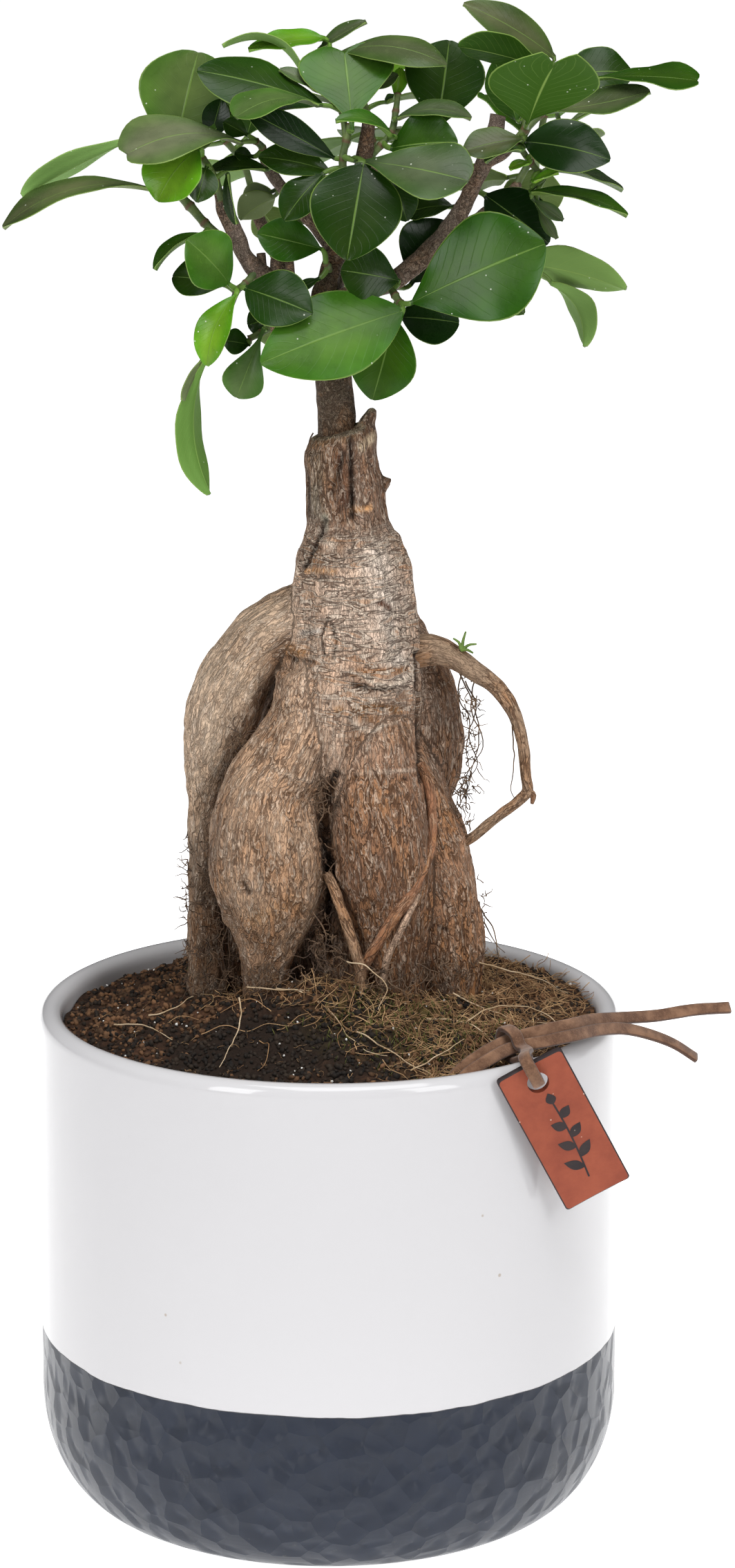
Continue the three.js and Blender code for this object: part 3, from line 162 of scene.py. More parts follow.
class MeshPile:
    """Collects patches of mesh for one piece, in millimetres, with their attributes."""

    def __init__(self) -> None:
        """Starts an empty pile."""
        self.points: List[Array] = []
        self.faces: Faces = []
        self.slots: List[int] = []
        self.values: Dict[str, List[Array]] = {}
        self.count = 0

    def add(self, points: Array, faces: Sequence[Sequence[int]], slot: int = 0, **values: Array) -> None:
        """Adds a patch.

        Args:
            points: Its vertices, one a row.
            faces: Its faces, as indices into points.
            slot: Its material slot.
            values: Its attributes, one row a vertex, the same names for every patch.
        """
        self.points.append(points)
        self.faces.extend(tuple(index + self.count for index in face) for face in faces)
        self.slots.extend([slot] * len(faces))
        for name, rows in values.items():
            self.values.setdefault(name, []).append(np.asarray(rows, dtype=float))
        self.count += len(points)

    def build(self, name: str, materials: Sequence[Material], smooth: bool = True) -> bpy.types.Object:
        """Makes the piece's object at the origin.

        Args:
            name: The name of the piece.
            materials: A material for each slot.
            smooth: Whether its faces are shaded smooth.

        Returns:
            The new object.
        """
        mesh = bpy.data.meshes.new(name)
        mesh.from_pydata((np.vstack(self.points) * MM).tolist(), [], self.faces)
        for material in materials:
            mesh.materials.append(material)
        mesh.polygons.foreach_set("material_index", self.slots)
        mesh.polygons.foreach_set("use_smooth", [smooth] * len(self.faces))
        for label, parts in self.values.items():
            rows = np.concatenate(parts)
            if rows.ndim == 1:
                layer = mesh.attributes.new(label, "FLOAT", "POINT")
                layer.data.foreach_set("value", rows)
            elif label.endswith("_tone"):
                layer = mesh.attributes.new(label, "FLOAT_COLOR", "POINT")
                layer.data.foreach_set("color", np.column_stack((rows, np.ones(len(rows)))).ravel())
            else:
                layer = mesh.attributes.new(label, "FLOAT_VECTOR", "POINT")
                layer.data.foreach_set("vector", rows.ravel())
        mesh.update()
        return add_object(name, mesh)


def add_object(name: str, data: Optional[bpy.types.ID]) -> bpy.types.Object:
    """Puts data into the scene as an object at the origin."""
    made = bpy.data.objects.new(name, data)
    bpy.context.scene.collection.objects.link(made)
    return made


def loft_faces(rings: int, sides: int, looped: bool = False, capped: bool = True) -> Faces:
    """Joins rings of points by quads, the centres of the end caps coming last.

    Args:
        rings: How many rings.
        sides: How many points in each.
        looped: Whether the last ring joins the first.
        capped: Whether fans close the two ends.

    Returns:
        The faces.
    """
    faces: Faces = []
    for ring in range(rings if looped else rings - 1):
        here, there = ring * sides, ((ring + 1) % rings) * sides
        for side in range(sides):
            after = (side + 1) % sides
            faces.append((here + side, here + after, there + after, there + side))
    if capped and not looped:
        first, last = rings * sides, rings * sides + 1
        for side in range(sides):
            after = (side + 1) % sides
            faces.append((first, after, side))
            faces.append((last, (rings - 1) * sides + side, (rings - 1) * sides + after))
    return faces


def outward(points: Array, faces: Sequence[Tuple[int, ...]]) -> Faces:
    """Turns the faces of a closed patch so that they point out."""
    middle = points.mean(axis=0)
    volume = 0.0
    for face in faces:
        corners = points[list(face)] - middle
        for turn in range(1, len(face) - 1):
            volume += float(np.dot(corners[0], np.cross(corners[turn], corners[turn + 1])))
    return [tuple(face) for face in faces] if volume > 0 else [tuple(reversed(face)) for face in faces]


def loft(rings: Array, looped: bool = False) -> Patch:
    """Closes a stack of rings into a patch with its faces out.

    Args:
        rings: An array of rings, points and coordinates.
        looped: Whether the last ring joins the first.

    Returns:
        Its vertices and faces.
    """
    count, sides = rings.shape[:2]
    points = rings.reshape(-1, 3)
    if not looped:
        points = np.vstack((points, rings[0].mean(axis=0), rings[-1].mean(axis=0)))
    return points, outward(points, loft_faces(count, sides, looped))


Value = Union[float, Sequence[float], Socket, "Field"]


class Field:
    """One socket that carries a number, with the operators of a maths expression."""

    def __init__(self, graph: "Graph", socket: Socket) -> None:
        """Wraps a socket of a graph."""
        self.graph = graph
        self.socket = socket

    def _maths(self, operation: str, *terms: Union[float, "Field"]) -> "Field":
        """Adds a Math node on terms."""
        made = self.graph.node("ShaderNodeMath", {"operation": operation}, dict(enumerate(terms)))
        return Field(self.graph, made.outputs[0])

    def __add__(self, other: Union[float, "Field"]) -> "Field":
        """Adds."""
        return self._maths("ADD", self, other)

    def __radd__(self, other: float) -> "Field":
        """Adds to a number."""
        return self._maths("ADD", other, self)

    def __sub__(self, other: Union[float, "Field"]) -> "Field":
        """Subtracts."""
        return self._maths("SUBTRACT", self, other)

    def __rsub__(self, other: float) -> "Field":
        """Subtracts from a number."""
        return self._maths("SUBTRACT", other, self)

    def __mul__(self, other: Union[float, "Field"]) -> "Field":
        """Multiplies."""
        return self._maths("MULTIPLY", self, other)

    def __rmul__(self, other: float) -> "Field":
        """Multiplies a number."""
        return self._maths("MULTIPLY", other, self)

    def __abs__(self) -> "Field":
        """Takes the size without the sign."""
        return self._maths("ABSOLUTE", self)

    def __gt__(self, other: Union[float, "Field"]) -> "Field":
        """Gives 1 where it is greater."""
        return self._maths("GREATER_THAN", self, other)

    def sine(self) -> "Field":
        """Takes the sine."""
        return self._maths("SINE", self)

    def cosine(self) -> "Field":
        """Takes the cosine."""
        return self._maths("COSINE", self)

    def ramp(self, low: float, high: float) -> "Field":
        """Runs smoothly from 0 at low to 1 at high."""
        made = self.graph.node("ShaderNodeMapRange", {"interpolation_type": "SMOOTHSTEP", "clamp": True},
                               {0: self, 1: low, 2: high, 3: 0.0, 4: 1.0})
        return Field(self.graph, made.outputs[0])

    def near(self, middle: float, low: float, high: float) -> "Field":
        """Gives 1 up to low away from a middle value, and 0 from high away."""
        return 1 - abs(self - middle).ramp(low, high)


class Graph:
    """A node tree that is built by one method."""

    def __init__(self, tree: bpy.types.NodeTree) -> None:
        """Starts from a tree."""
        self.tree = tree

    def node(self, kind: str, settings: Optional[Mapping[str, Any]] = None,
             sockets: Optional[Mapping[Union[int, str], Value]] = None) -> bpy.types.Node:
        """Adds a node.

        Args:
            kind: Its type.
            settings: Its own settings, set first.
            sockets: Values or links for its inputs, by name or index.

        Returns:
            The node.
        """
        made = self.tree.nodes.new(kind)
        for key, value in (settings or {}).items():
            setattr(made, key, value)
        for key, value in (sockets or {}).items():
            self.feed(made.inputs[key], value)
        return made

    def feed(self, target: Socket, value: Value) -> None:
        """Links a source to a socket, or sets the socket's value."""
        source = value.socket if isinstance(value, Field) else value
        if isinstance(source, Socket):
            self.tree.links.new(source, target)
        else:
            target.default_value = source

    def split(self, vector: Value) -> Tuple[Field, Field, Field]:
        """Splits a vector into three fields."""
        made = self.node("ShaderNodeSeparateXYZ", {}, {0: vector})
        return Field(self, made.outputs[0]), Field(self, made.outputs[1]), Field(self, made.outputs[2])

    def vector(self, operation: str, first: Value, second: Value) -> Field:
        """Joins two vectors, or scales one by a number."""
        other = "Scale" if operation == "SCALE" else 1
        made = self.node("ShaderNodeVectorMath", {"operation": operation}, {0: first, other: second})
        return Field(self, made.outputs["Value" if operation == "DOT_PRODUCT" else "Vector"])


class Shader(Graph):
    """The node tree of one material around a Principled shader."""

    def __init__(self, name: str, **constants: float) -> None:
        """Makes the material.

        Args:
            name: Its name.
            constants: Values of the shader's own sockets, with spaces as underscores.
        """
        self.material = bpy.data.materials.new(name)
        self.material.use_nodes = True
        super().__init__(self.material.node_tree)
        self.surface = next(n for n in self.tree.nodes if n.type == "BSDF_PRINCIPLED")
        self.set(**constants)

    def set(self, **sockets: Value) -> None:
        """Feeds the shader's sockets, with spaces as underscores."""
        for key, value in sockets.items():
            self.feed(self.surface.inputs[key.replace("_", " ").title().replace("Ior", "IOR")], value)

    def place(self) -> Socket:
        """Gives Object coordinates."""
        return self.node("ShaderNodeTexCoord").outputs["Object"]

    def attribute(self, name: str, output: str = "Vector") -> Socket:
        """Reads an attribute of the mesh."""
        return self.node("ShaderNodeAttribute", {"attribute_name": name}).outputs[output]

    def stretch(self, vector: Socket, by: Point, shift: Point = (0, 0, 0)) -> Socket:
        """Scales and then moves a vector."""
        return self.node("ShaderNodeMapping", {}, {0: vector, 1: shift, 3: by}).outputs[0]

    def noise(self, vector: Socket, scale: float, detail: float = 2.0,
              roughness: float = 0.5, distortion: float = 0.0) -> Field:
        """Reads noise from 0 to 1."""
        made = self.node("ShaderNodeTexNoise", {}, {
            "Vector": vector, "Scale": scale, "Detail": detail, "Roughness": roughness,
            "Distortion": distortion})
        return Field(self, made.outputs[0])

    def cells(self, vector: Socket, scale: float, feature: str = "F1") -> Field:
        """Reads the distance in a Voronoi pattern."""
        made = self.node("ShaderNodeTexVoronoi", {"feature": feature}, {"Vector": vector, "Scale": scale})
        return Field(self, made.outputs["Distance"])

    def mix(self, share: Union[float, Field], first: Value, second: Value,
            blend: str = "MIX") -> Socket:
        """Mixes two colours, given as three numbers or as sockets."""
        pair = [(*colour, 1.0) if isinstance(colour, tuple) else colour for colour in (first, second)]
        made = self.node("ShaderNodeMix", {"data_type": "RGBA", "blend_type": blend, "clamp_factor": True},
                         {0: share, 6: pair[0], 7: pair[1]})
        return made.outputs[2]

    def dots(self, vector: Socket, scale: float, size: Pair, patches: float, share: Pair) -> Field:
        """Gives 1 in round dots that come in patches.

        Args:
            vector: The place.
            scale: How close the dots lie.
            size: Where a dot starts to fade and where it ends, as a share of their spacing.
            patches: How close the patches lie.
            share: The noise from which on the dots fade in.

        Returns:
            The field.
        """
        return (1 - self.cells(vector, scale).ramp(*size)) * self.noise(vector, patches, 0).ramp(*share)

    def bump(self, height: Field, depth: float, strength: float = 1.0,
             below: Optional[Socket] = None) -> Socket:
        """Bends the normal by a height of depth metres."""
        sockets: Dict[Union[int, str], Value] = {"Strength": strength, "Distance": depth, "Height": height}
        if below is not None:
            sockets["Normal"] = below
        return self.node("ShaderNodeBump", {}, sockets).outputs[0]


@dataclass(frozen=True)
class GlazeFinish:
    """White gloss glaze above a satin slate-blue foot band."""

    white: Point = (0.550, 0.543, 0.556)
    slate: Point = (0.0110, 0.0160, 0.0295)
    rubbed: Point = (0.115, 0.11, 0.10)
    speck: Point = (0.30, 0.22, 0.14)
    band_height: float = 0.0429
    band_edge: float = 0.00012
    dent_depth: float = 0.0045
    ripple_depth: float = 0.0006

    def material(self) -> Material:
        """Builds the material."""
        shader = Shader("glaze", specular_ior_level=0.06, coat_roughness=0.07)
        place = shader.place()
        height = shader.split(place)[2]
        line = height + 0.0016 * (shader.noise(place, 38, 1) - 0.5)
        line = line + 0.0005 * (shader.noise(place, 190, 1) - 0.5)
        white = line.ramp(self.band_height - self.band_edge, self.band_height + self.band_edge)
        clouds = shader.noise(place, 60, 4, 0.6)
        rubbing = shader.noise(place, 420, 5, 0.7).ramp(0.62, 0.72) * (1 - height.ramp(0.004, 0.016))
        slate = shader.mix(clouds, tuple(c * 0.78 for c in self.slate), tuple(c * 1.3 for c in self.slate))
        slate = shader.mix(rubbing * 0.75, slate, self.rubbed)
        specks = shader.dots(place, 95, (0.035, 0.06), 31, (0.56, 0.6))
        glaze = shader.mix(specks * 0.7, self.white, self.speck)
        shader.set(base_color=shader.mix(white, slate, glaze))
        rough = 0.22 + 0.16 * clouds + 0.2 * rubbing
        shader.set(roughness=rough + white * (0.075 + 0.03 * clouds - rough))
        shader.set(coat_weight=0.40 + 0.16 * white)
        dents = 0.7 * shader.cells(place, 140, "SMOOTH_F1") + 0.75 * shader.cells(place, 150)
        dents = dents + 0.4 * shader.noise(place, 100, 2, 0.5)
        skin = shader.bump(dents * (1 - white), self.dent_depth)
        ripples = shader.noise(place, 45, 1) * white
        shader.set(normal=shader.bump(ripples, self.ripple_depth, 0.12, skin))
        return shader.material


@dataclass(frozen=True)
class BarkFinish:
    """Bark in fine wrinkles along the grain, with cracked plates where it is old.

    The mesh brings its grain in millimetres, its tint, and its wear and shade: how much of it is cracked
    across (below zero, how calm it is), how rusty it is, and how much painted shade it gets for lying deep in
    a crevice.
    """

    name: str = "bark"
    stretch: float = 0.3
    relief: float = 0.0011
    # The pale tone also paints highlights on wrinkle crests and crack lips.
    pale: Point = (0.80, 0.66, 0.53)
    # The groove tone is partly painted shade in the wrinkles.
    groove: Point = (0.060, 0.030, 0.019)
    # Painted shade for places deep in a crevice.
    crevice_shade_tone: Point = (0.022, 0.012, 0.008)
    rust: Point = (0.40, 0.19, 0.08)

    def material(self) -> Material:
        """Builds the material."""
        shader = Shader(self.name, specular_ior_level=0.15)
        grain = shader.attribute("grain")
        tint = shader.attribute("bark_tone", "Color")
        # The third value is painted shade: how deep in a crevice a place lies.
        worn, rusty, deep = shader.split(shader.attribute("wear"))
        cracked, calm = worn.ramp(0.0, 1.0), (-1 * worn).ramp(0.0, 1.0)
        long = self.stretch
        waves = shader.noise(shader.stretch(grain, (0.68, 0.68, 0.68 * long)), 1.0, 2.5, 0.5, 0.8)
        ripples = shader.noise(shader.stretch(grain, (1.6, 1.6, 1.6 * long)), 1.0, 2, 0.5, 0.6)
        plates = shader.noise(shader.stretch(grain, (0.15, 0.15, 0.62), (7, 3, 5)), 1.0, 2.5, 0.55, 0.8)
        streaks = shader.noise(shader.stretch(grain, (0.9, 0.9, 0.9 * long), (3, 9, 1)), 1.0, 4, 0.65, 0.4)
        patches = shader.noise(shader.stretch(grain, (0.13, 0.13, 0.08)), 1.0, 3, 0.6)
        specks = shader.noise(grain, 2.6, 3, 0.7)
        wrinkle = waves.near(0.5, 0.01, 0.04) * (0.35 + 0.65 * patches.ramp(0.4, 0.55))
        wrinkle = wrinkle * (1 - 0.6 * cracked)
        # Painted highlight: a pale line beside each dark wrinkle, as if light caught its crest.
        crest_highlight = waves.near(0.575, 0.0, 0.04)
        thread = ripples.near(0.5, 0.0, 0.06) * 0.65
        crack = plates.near(0.5, 0.004, 0.03) * cracked
        # The dark lines are the bark's own wrinkles and cracks, darkened further as painted shade in their
        # grooves.
        dark = wrinkle + thread * (1 - wrinkle)
        dark = dark + crack * (1 - dark)
        dark = dark * (1 - 0.5 * calm)
        # Pale flakes of the bark, painted brighter as highlight on its raised dashes.
        light = streaks.ramp(0.5, 0.62) * (1 - dark)
        # Painted highlight: a pale lip beside each crack.
        lip = plates.near(0.56, 0.01, 0.045) * cracked
        colour = shader.mix(patches.ramp(0.42, 0.66) * rusty, tint, self.rust)
        shadow = shader.mix(0.5, colour, self.groove)
        colour = shader.mix(0.4 * specks.ramp(0.5, 0.66), colour, shadow)
        colour = shader.mix(0.35 * light, colour, self.pale)
        flake = plates.ramp(0.6, 0.64) * cracked
        colour = shader.mix(0.5 * flake, colour, self.rust)
        # Paints the highlights on wrinkle crests and crack lips in the pale tone.
        colour = shader.mix(0.42 * crest_highlight + 0.75 * lip, colour, self.pale)
        # Darkens the wrinkles and cracks: their own colour, and partly painted shade in the grooves.
        colour = shader.mix(0.78 * dark, colour, self.groove)
        # Painted shade deep in crevices.
        colour = shader.mix(0.85 * deep, colour, self.crevice_shade_tone)
        shader.set(base_color=colour, roughness=0.7 - 0.16 * light + 0.12 * dark)
        height = 0.6 * (1 - wrinkle) + 0.3 * (1 - thread) + 0.6 * (1 - crack)
        height = height + 0.25 * light + 0.3 * lip + 0.2 * crest_highlight + 0.12 * specks
        shader.set(normal=shader.bump(height, self.relief))
        return shader.material


@dataclass(frozen=True)
class LeafFinish:
    """Waxy leaf with a pale rim, midrib and side veins, from the place on the blade."""

    rim: Point = (0.26, 0.38, 0.09)
    rib: Point = (0.17, 0.28, 0.06)
    speck: Point = (0.75, 0.78, 0.68)
    vein_count: float = 11.0
    shadow: Point = (0.006, 0.018, 0.006)
    # The margin tone is painted shade towards the blade's edges; the foot tone is painted shade at its base.
    margin: Point = (0.6, 0.95, 0.4)
    foot: Point = (0.55, 0.75, 0.5)
    # The light tone brightens patches of the blade as painted highlight.
    light: Point = (1.5, 1.35, 1.4)
    relief: float = 0.00016

    def material(self) -> Material:
        """Builds the material."""
        shader = Shader("leaf", specular_ior_level=0.14, coat_roughness=0.2)
        across, along, under = shader.split(shader.attribute("blade"))
        top = shader.attribute("top_tone", "Color")
        back = shader.attribute("back_tone", "Color")
        place = shader.place()
        reach = abs(across)
        clouds = shader.noise(place, 90, 3, 0.6)
        fleck = shader.noise(place, 700, 2, 0.6)
        midrib = 1 - reach.ramp(0.008, 0.034)
        wander = along * self.vein_count - reach * 3.1 + 0.5 * clouds
        veins = 1 - abs((wander * math.pi).sine()).ramp(0.0, 0.22)
        veins = veins * reach.ramp(0.02, 0.2) * (1 - reach.ramp(0.8, 1.0))
        rim = reach.ramp(0.965, 0.995)
        shade = shader.mix(clouds.ramp(0.3, 0.75), shader.mix(0.4, top, self.shadow), top)
        shade = shader.mix(0.35 * fleck.ramp(0.5, 0.8), shade, top)
        # Painted shade: darker towards the margins, so that the sheen fades there.
        shade = shader.mix(0.75 * reach.ramp(0.25, 0.95), shade, self.margin, "MULTIPLY")
        # Painted shade at the foot of the blade, where the leaves above overlap it.
        shade = shader.mix(0.6 * (1 - along.ramp(0.02, 0.45)), shade, self.foot, "MULTIPLY")
        # Painted highlight: patches of the blade made brighter.
        highlight_patches = shader.noise(place, 42, 2, 0.5)
        shade = shader.mix(0.6 * highlight_patches.ramp(0.46, 0.62), shade, self.light, "MULTIPLY")
        shade = shader.mix(0.5 * midrib, shade, self.rib)
        shade = shader.mix(under, shade, shader.mix(0.6 * midrib + 0.15 * veins, back, self.rim))
        shade = shader.mix(0.6 * rim, shade, self.rim)
        dots = shader.dots(place, 430, (0.05, 0.1), 120, (0.56, 0.62))
        shade = shader.mix(dots * 0.6, shade, self.speck)
        shader.set(base_color=shade)
        shader.set(roughness=0.20 + 0.12 * clouds + 0.28 * under + 0.05 * fleck)
        relief = 0.7 * midrib + 0.2 * veins + 0.2 * shader.noise(place, 1500, 1)
        relief = relief + 4.5 * shader.noise(place, 70, 1)
        shader.set(normal=shader.bump(relief, self.relief, 0.6))
        shader.set(coat_weight=0.05 * (1 - under))
        return shader.material


@dataclass(frozen=True)
class TwigFinish:
    """Green bark of the young twigs, reddish at their joints."""

    green: Point = (0.050, 0.085, 0.022)
    pale: Point = (0.11, 0.15, 0.045)
    joint: Point = (0.10, 0.045, 0.025)
    relief: float = 0.00025

    def material(self) -> Material:
        """Builds the material."""
        shader = Shader("green_twig", specular_ior_level=0.35)
        joints = shader.split(shader.attribute("blade"))[1]
        clouds = shader.noise(shader.place(), 420, 3, 0.6)
        green = shader.mix(clouds.ramp(0.3, 0.7), self.green, self.pale)
        shader.set(base_color=shader.mix(0.8 * joints.ramp(0.25, 0.8), green, self.joint))
        shader.set(roughness=0.5 + 0.15 * clouds, normal=shader.bump(clouds, self.relief, 0.6))
        return shader.material


@dataclass(frozen=True)
class SuedeFinish:
    """Brushed suede with a pale nap on its broad faces and dark cut edges."""

    body: Point = (0.100, 0.048, 0.027)
    nap: Point = (0.235, 0.128, 0.075)
    cut: Point = (0.05, 0.022, 0.014)
    nap_scale: float = 2600.0
    cloud_scale: float = 260.0
    relief: float = 0.00018

    def material(self) -> Material:
        """Builds the material."""
        shader = Shader("suede", specular_ior_level=0.12, sheen_weight=0.35, sheen_roughness=0.5)
        place = shader.place()
        across = shader.split(shader.attribute("strap"))[0]
        nap = shader.noise(place, self.nap_scale, 3, 0.7)
        clouds = shader.noise(place, self.cloud_scale, 4, 0.6)
        colour = shader.mix(clouds.ramp(0.35, 0.7), self.body, self.nap)
        colour = shader.mix(0.5 * nap.ramp(0.45, 0.75), colour, self.nap)
        colour = shader.mix(0.8 * abs(across).ramp(0.86, 1.0), colour, self.cut)
        shader.set(base_color=colour, roughness=0.82 + 0.12 * nap)
        shader.set(normal=shader.bump(nap, self.relief, 0.7))
        return shader.material


@dataclass(frozen=True)
class HideFinish:
    """Dyed leather of the tag, with a fine pored face."""

    name: str
    tone: Point
    deep: Point
    lint: Point = (0.75, 0.6, 0.5)
    relief: float = 0.00012

    def material(self) -> Material:
        """Builds the material."""
        shader = Shader(self.name, specular_ior_level=0.25)
        place = shader.place()
        clouds = shader.noise(place, 120, 4, 0.6)
        pores = shader.cells(place, 1700, "SMOOTH_F1")
        lint = shader.dots(place, 330, (0.04, 0.09), 150, (0.55, 0.6))
        colour = shader.mix(clouds.ramp(0.3, 0.7), self.tone, self.deep)
        shader.set(base_color=shader.mix(0.55 * lint, colour, self.lint), roughness=0.6 + 0.15 * clouds)
        shader.set(normal=shader.bump(pores + 0.4 * clouds, self.relief, 0.5))
        return shader.material


@dataclass(frozen=True)
class EarthFinish:
    """Ground colour of the soil: black peat, brown fibre and moss by the zones of the mesh."""

    peat: Point = (0.019, 0.0115, 0.0078)
    clod: Point = (0.105, 0.048, 0.025)
    fibre: Point = (0.190, 0.090, 0.038)
    moss: Point = (0.088, 0.074, 0.022)
    relief: float = 0.0012

    def material(self) -> Material:
        """Builds the material."""
        shader = Shader("earth", specular_ior_level=0.2)
        place = shader.place()
        clods, moss, fibre = shader.split(shader.attribute("zones"))
        crumbs = shader.cells(place, 620)
        clouds = shader.noise(place, 240, 5, 0.7)
        colour = shader.mix(clods * clouds.ramp(0.35, 0.6), self.peat, self.clod)
        colour = shader.mix(fibre * clouds.ramp(0.42, 0.7), colour, self.fibre)
        colour = shader.mix(0.8 * moss * clouds.ramp(0.4, 0.65), colour, self.moss)
        shader.set(base_color=shader.mix(0.5 * crumbs, colour, self.peat), roughness=0.95)
        shader.set(normal=shader.bump(crumbs + clouds, self.relief))
        return shader.material


@dataclass(frozen=True)
class BitFinish:
    """Finish of small loose bits, with a tone that wanders between two colours."""

    name: str
    tone: Point
    other: Point
    roughness: float = 0.8
    wander: float = 400.0
    relief: float = 0.00012

    def material(self) -> Material:
        """Builds the material."""
        shader = Shader(self.name, specular_ior_level=0.3)
        place = shader.place()
        wander = shader.noise(place, self.wander, 3, 0.6)
        shader.set(base_color=shader.mix(wander.ramp(0.35, 0.65), self.tone, self.other))
        shader.set(roughness=self.roughness - 0.1 * wander)
        shader.set(normal=shader.bump(shader.noise(place, self.wander * 4, 2), self.relief, 0.5))
        return shader.material


@dataclass(frozen=True)
class Softbox:
    """An oblong soft light: where it hangs and what it looks at in metres, its size and its watts."""

    name: str
    place: Point
    aim: Point
    size: Pair
    power: float

    def hang(self) -> None:
        """Hangs the light."""
        data = bpy.data.lights.new(self.name, "AREA")
        data.shape = "RECTANGLE"
        data.size, data.size_y = self.size
        data.energy = self.power
        made = add_object(self.name, data)
        made.location = self.place
        made.rotation_euler = (Vector(self.aim) - Vector(self.place)).to_track_quat("-Z", "Y").to_euler()


@dataclass
class Studio:
    """The camera at the photo's viewing angle, plain soft lights and a pale floor that glows, dimly in front
    of the plant.
    """

    eye: Point = (0.0, -1.1, 0.443)
    pitch: float = 13.58
    focal_pixels: float = 6820.0
    frame_width: float = 1064.0
    frame_height: float = 2269.0
    pot_axis_pixel: float = 476.24
    sensor: float = 36.0
    floor_side: float = 14.0
    floor_tone: Tuple[float, ...] = (0.85, 0.85, 0.85, 1.0)
    floor_glow_front: Point = (0.3, 0.3, 0.3)
    floor_bright: Point = (1.0, 1.0, 1.0)
    floor_glow_fade: Pair = (-0.35, -0.075)
    room_strength: float = 0.16
    room_gain: float = 0.4
    room_fade: Pair = (-0.3, 0.7)
    lights: Sequence[Softbox] = (
        Softbox("light_top", (0.1, -0.3, 1.35), (0, 0, 0.25), (0.9, 0.9), 15.5),
        Softbox("light_left", (-0.85, -1.1, 0.75), (0, 0, 0.2), (0.45, 0.9), 9.8),
        Softbox("light_right", (0.9, -1.0, 0.85), (0, 0, 0.2), (0.45, 0.9), 8.0))

    def camera(self) -> None:
        """Makes the scene's camera."""
        data = bpy.data.cameras.new("camera")
        data.sensor_width = self.sensor
        data.lens = self.focal_pixels / self.frame_height * self.sensor
        data.shift_x = (self.frame_width / 2 - self.pot_axis_pixel) / self.frame_height
        data.clip_start, data.clip_end = 0.05, 20
        made = add_object("camera", data)
        made.location = self.eye
        made.rotation_euler = (math.radians(90 - self.pitch), 0, 0)
        bpy.context.scene.camera = made

    def surroundings(self) -> None:
        """Makes the room dim in front of the plant and bright behind it."""
        world = bpy.data.worlds.new("studio")
        world.use_nodes = True
        graph = Graph(world.node_tree)
        depth = graph.split(graph.node("ShaderNodeTexCoord").outputs["Generated"])[1]
        back = world.node_tree.nodes["Background"]
        graph.feed(back.inputs["Strength"], self.room_strength + self.room_gain * depth.ramp(*self.room_fade))
        bpy.context.scene.world = world
        bpy.context.scene.view_settings.view_transform = "Standard"

    def floor(self) -> None:
        """Lays the pale floor, which glows: dimly in front of the plant, brightly under and behind it."""
        shader = Shader("floor", specular_ior_level=0.1, emission_strength=1.0)
        # Painted light: the floor glows though it is no lamp, and lights the plant from below.
        glow = shader.split(shader.place())[1].ramp(*self.floor_glow_fade)
        shader.set(base_color=self.floor_tone, roughness=0.85)
        shader.set(emission_color=shader.mix(glow, self.floor_glow_front, self.floor_bright))
        corners = np.array([(-1, -1, 0), (1, -1, 0), (1, 1, 0), (-1, 1, 0)]) * (self.floor_side / 2 / MM)
        plane = MeshPile()
        plane.add(corners, [(0, 1, 2, 3)])
        plane.build("floor", [shader.material], smooth=False)

    def build(self) -> None:
        """Sets up the whole studio."""
        self.camera()
        for light in self.lights:
            light.hang()
        self.surroundings()
        self.floor()


@dataclass
class GeometryTree:
    """A Geometry Nodes tree with named inputs, applied to plain meshes."""

    name: str
    inputs: Sequence[Tuple[str, str]]

    def __post_init__(self) -> None:
        """Makes the group with its sockets."""
        self.group = bpy.data.node_groups.new(self.name, "GeometryNodeTree")
        self.group.interface.new_socket("Geometry", in_out="INPUT", socket_type="NodeSocketGeometry")
        for label, kind in self.inputs:
            self.group.interface.new_socket(label, in_out="INPUT", socket_type=kind)
        self.group.interface.new_socket("Geometry", in_out="OUTPUT", socket_type="NodeSocketGeometry")
        self.graph = Graph(self.group)
        self.entry = self.graph.node("NodeGroupInput")

    def input(self, label: str) -> Field:
        """Gives a named input."""
        return Field(self.graph, self.entry.outputs[label])

    def close(self, geometry: Socket, material: Field) -> None:
        """Ends the tree in Realize Instances, smooth shading and Set Material."""
        real = self.graph.node("GeometryNodeRealizeInstances", {}, {0: geometry})
        smooth = self.graph.node("GeometryNodeSetShadeSmooth", {}, {0: real.outputs[0]})
        dressed = self.graph.node("GeometryNodeSetMaterial", {}, {0: smooth.outputs[0], "Material": material})
        self.graph.node("NodeGroupOutput", {}, {0: dressed.outputs[0]})

    def apply(self, name: str, source: bpy.types.Object, **values: Any) -> bpy.types.Object:
        """Runs the tree on an object and keeps the result as a plain mesh.

        Args:
            name: The name of the new piece.
            source: The object whose geometry goes in.
            values: Values of the named inputs, with spaces as underscores.

        Returns:
            The new piece.
        """
        modifier = source.modifiers.new(self.name, "NODES")
        modifier.node_group = self.group
        for item in self.group.interface.items_tree:
            key = item.name.replace(" ", "_").lower()
            if item.in_out == "INPUT" and key in values:
                modifier[item.identifier] = values[key]
        graph = bpy.context.evaluated_depsgraph_get()
        mesh = bpy.data.meshes.new_from_object(source.evaluated_get(graph))
        mesh.name = name
        source.modifiers.remove(modifier)
        return add_object(name, mesh)


LEAN_SEED = 7
TIP_WIDTH = 0.45


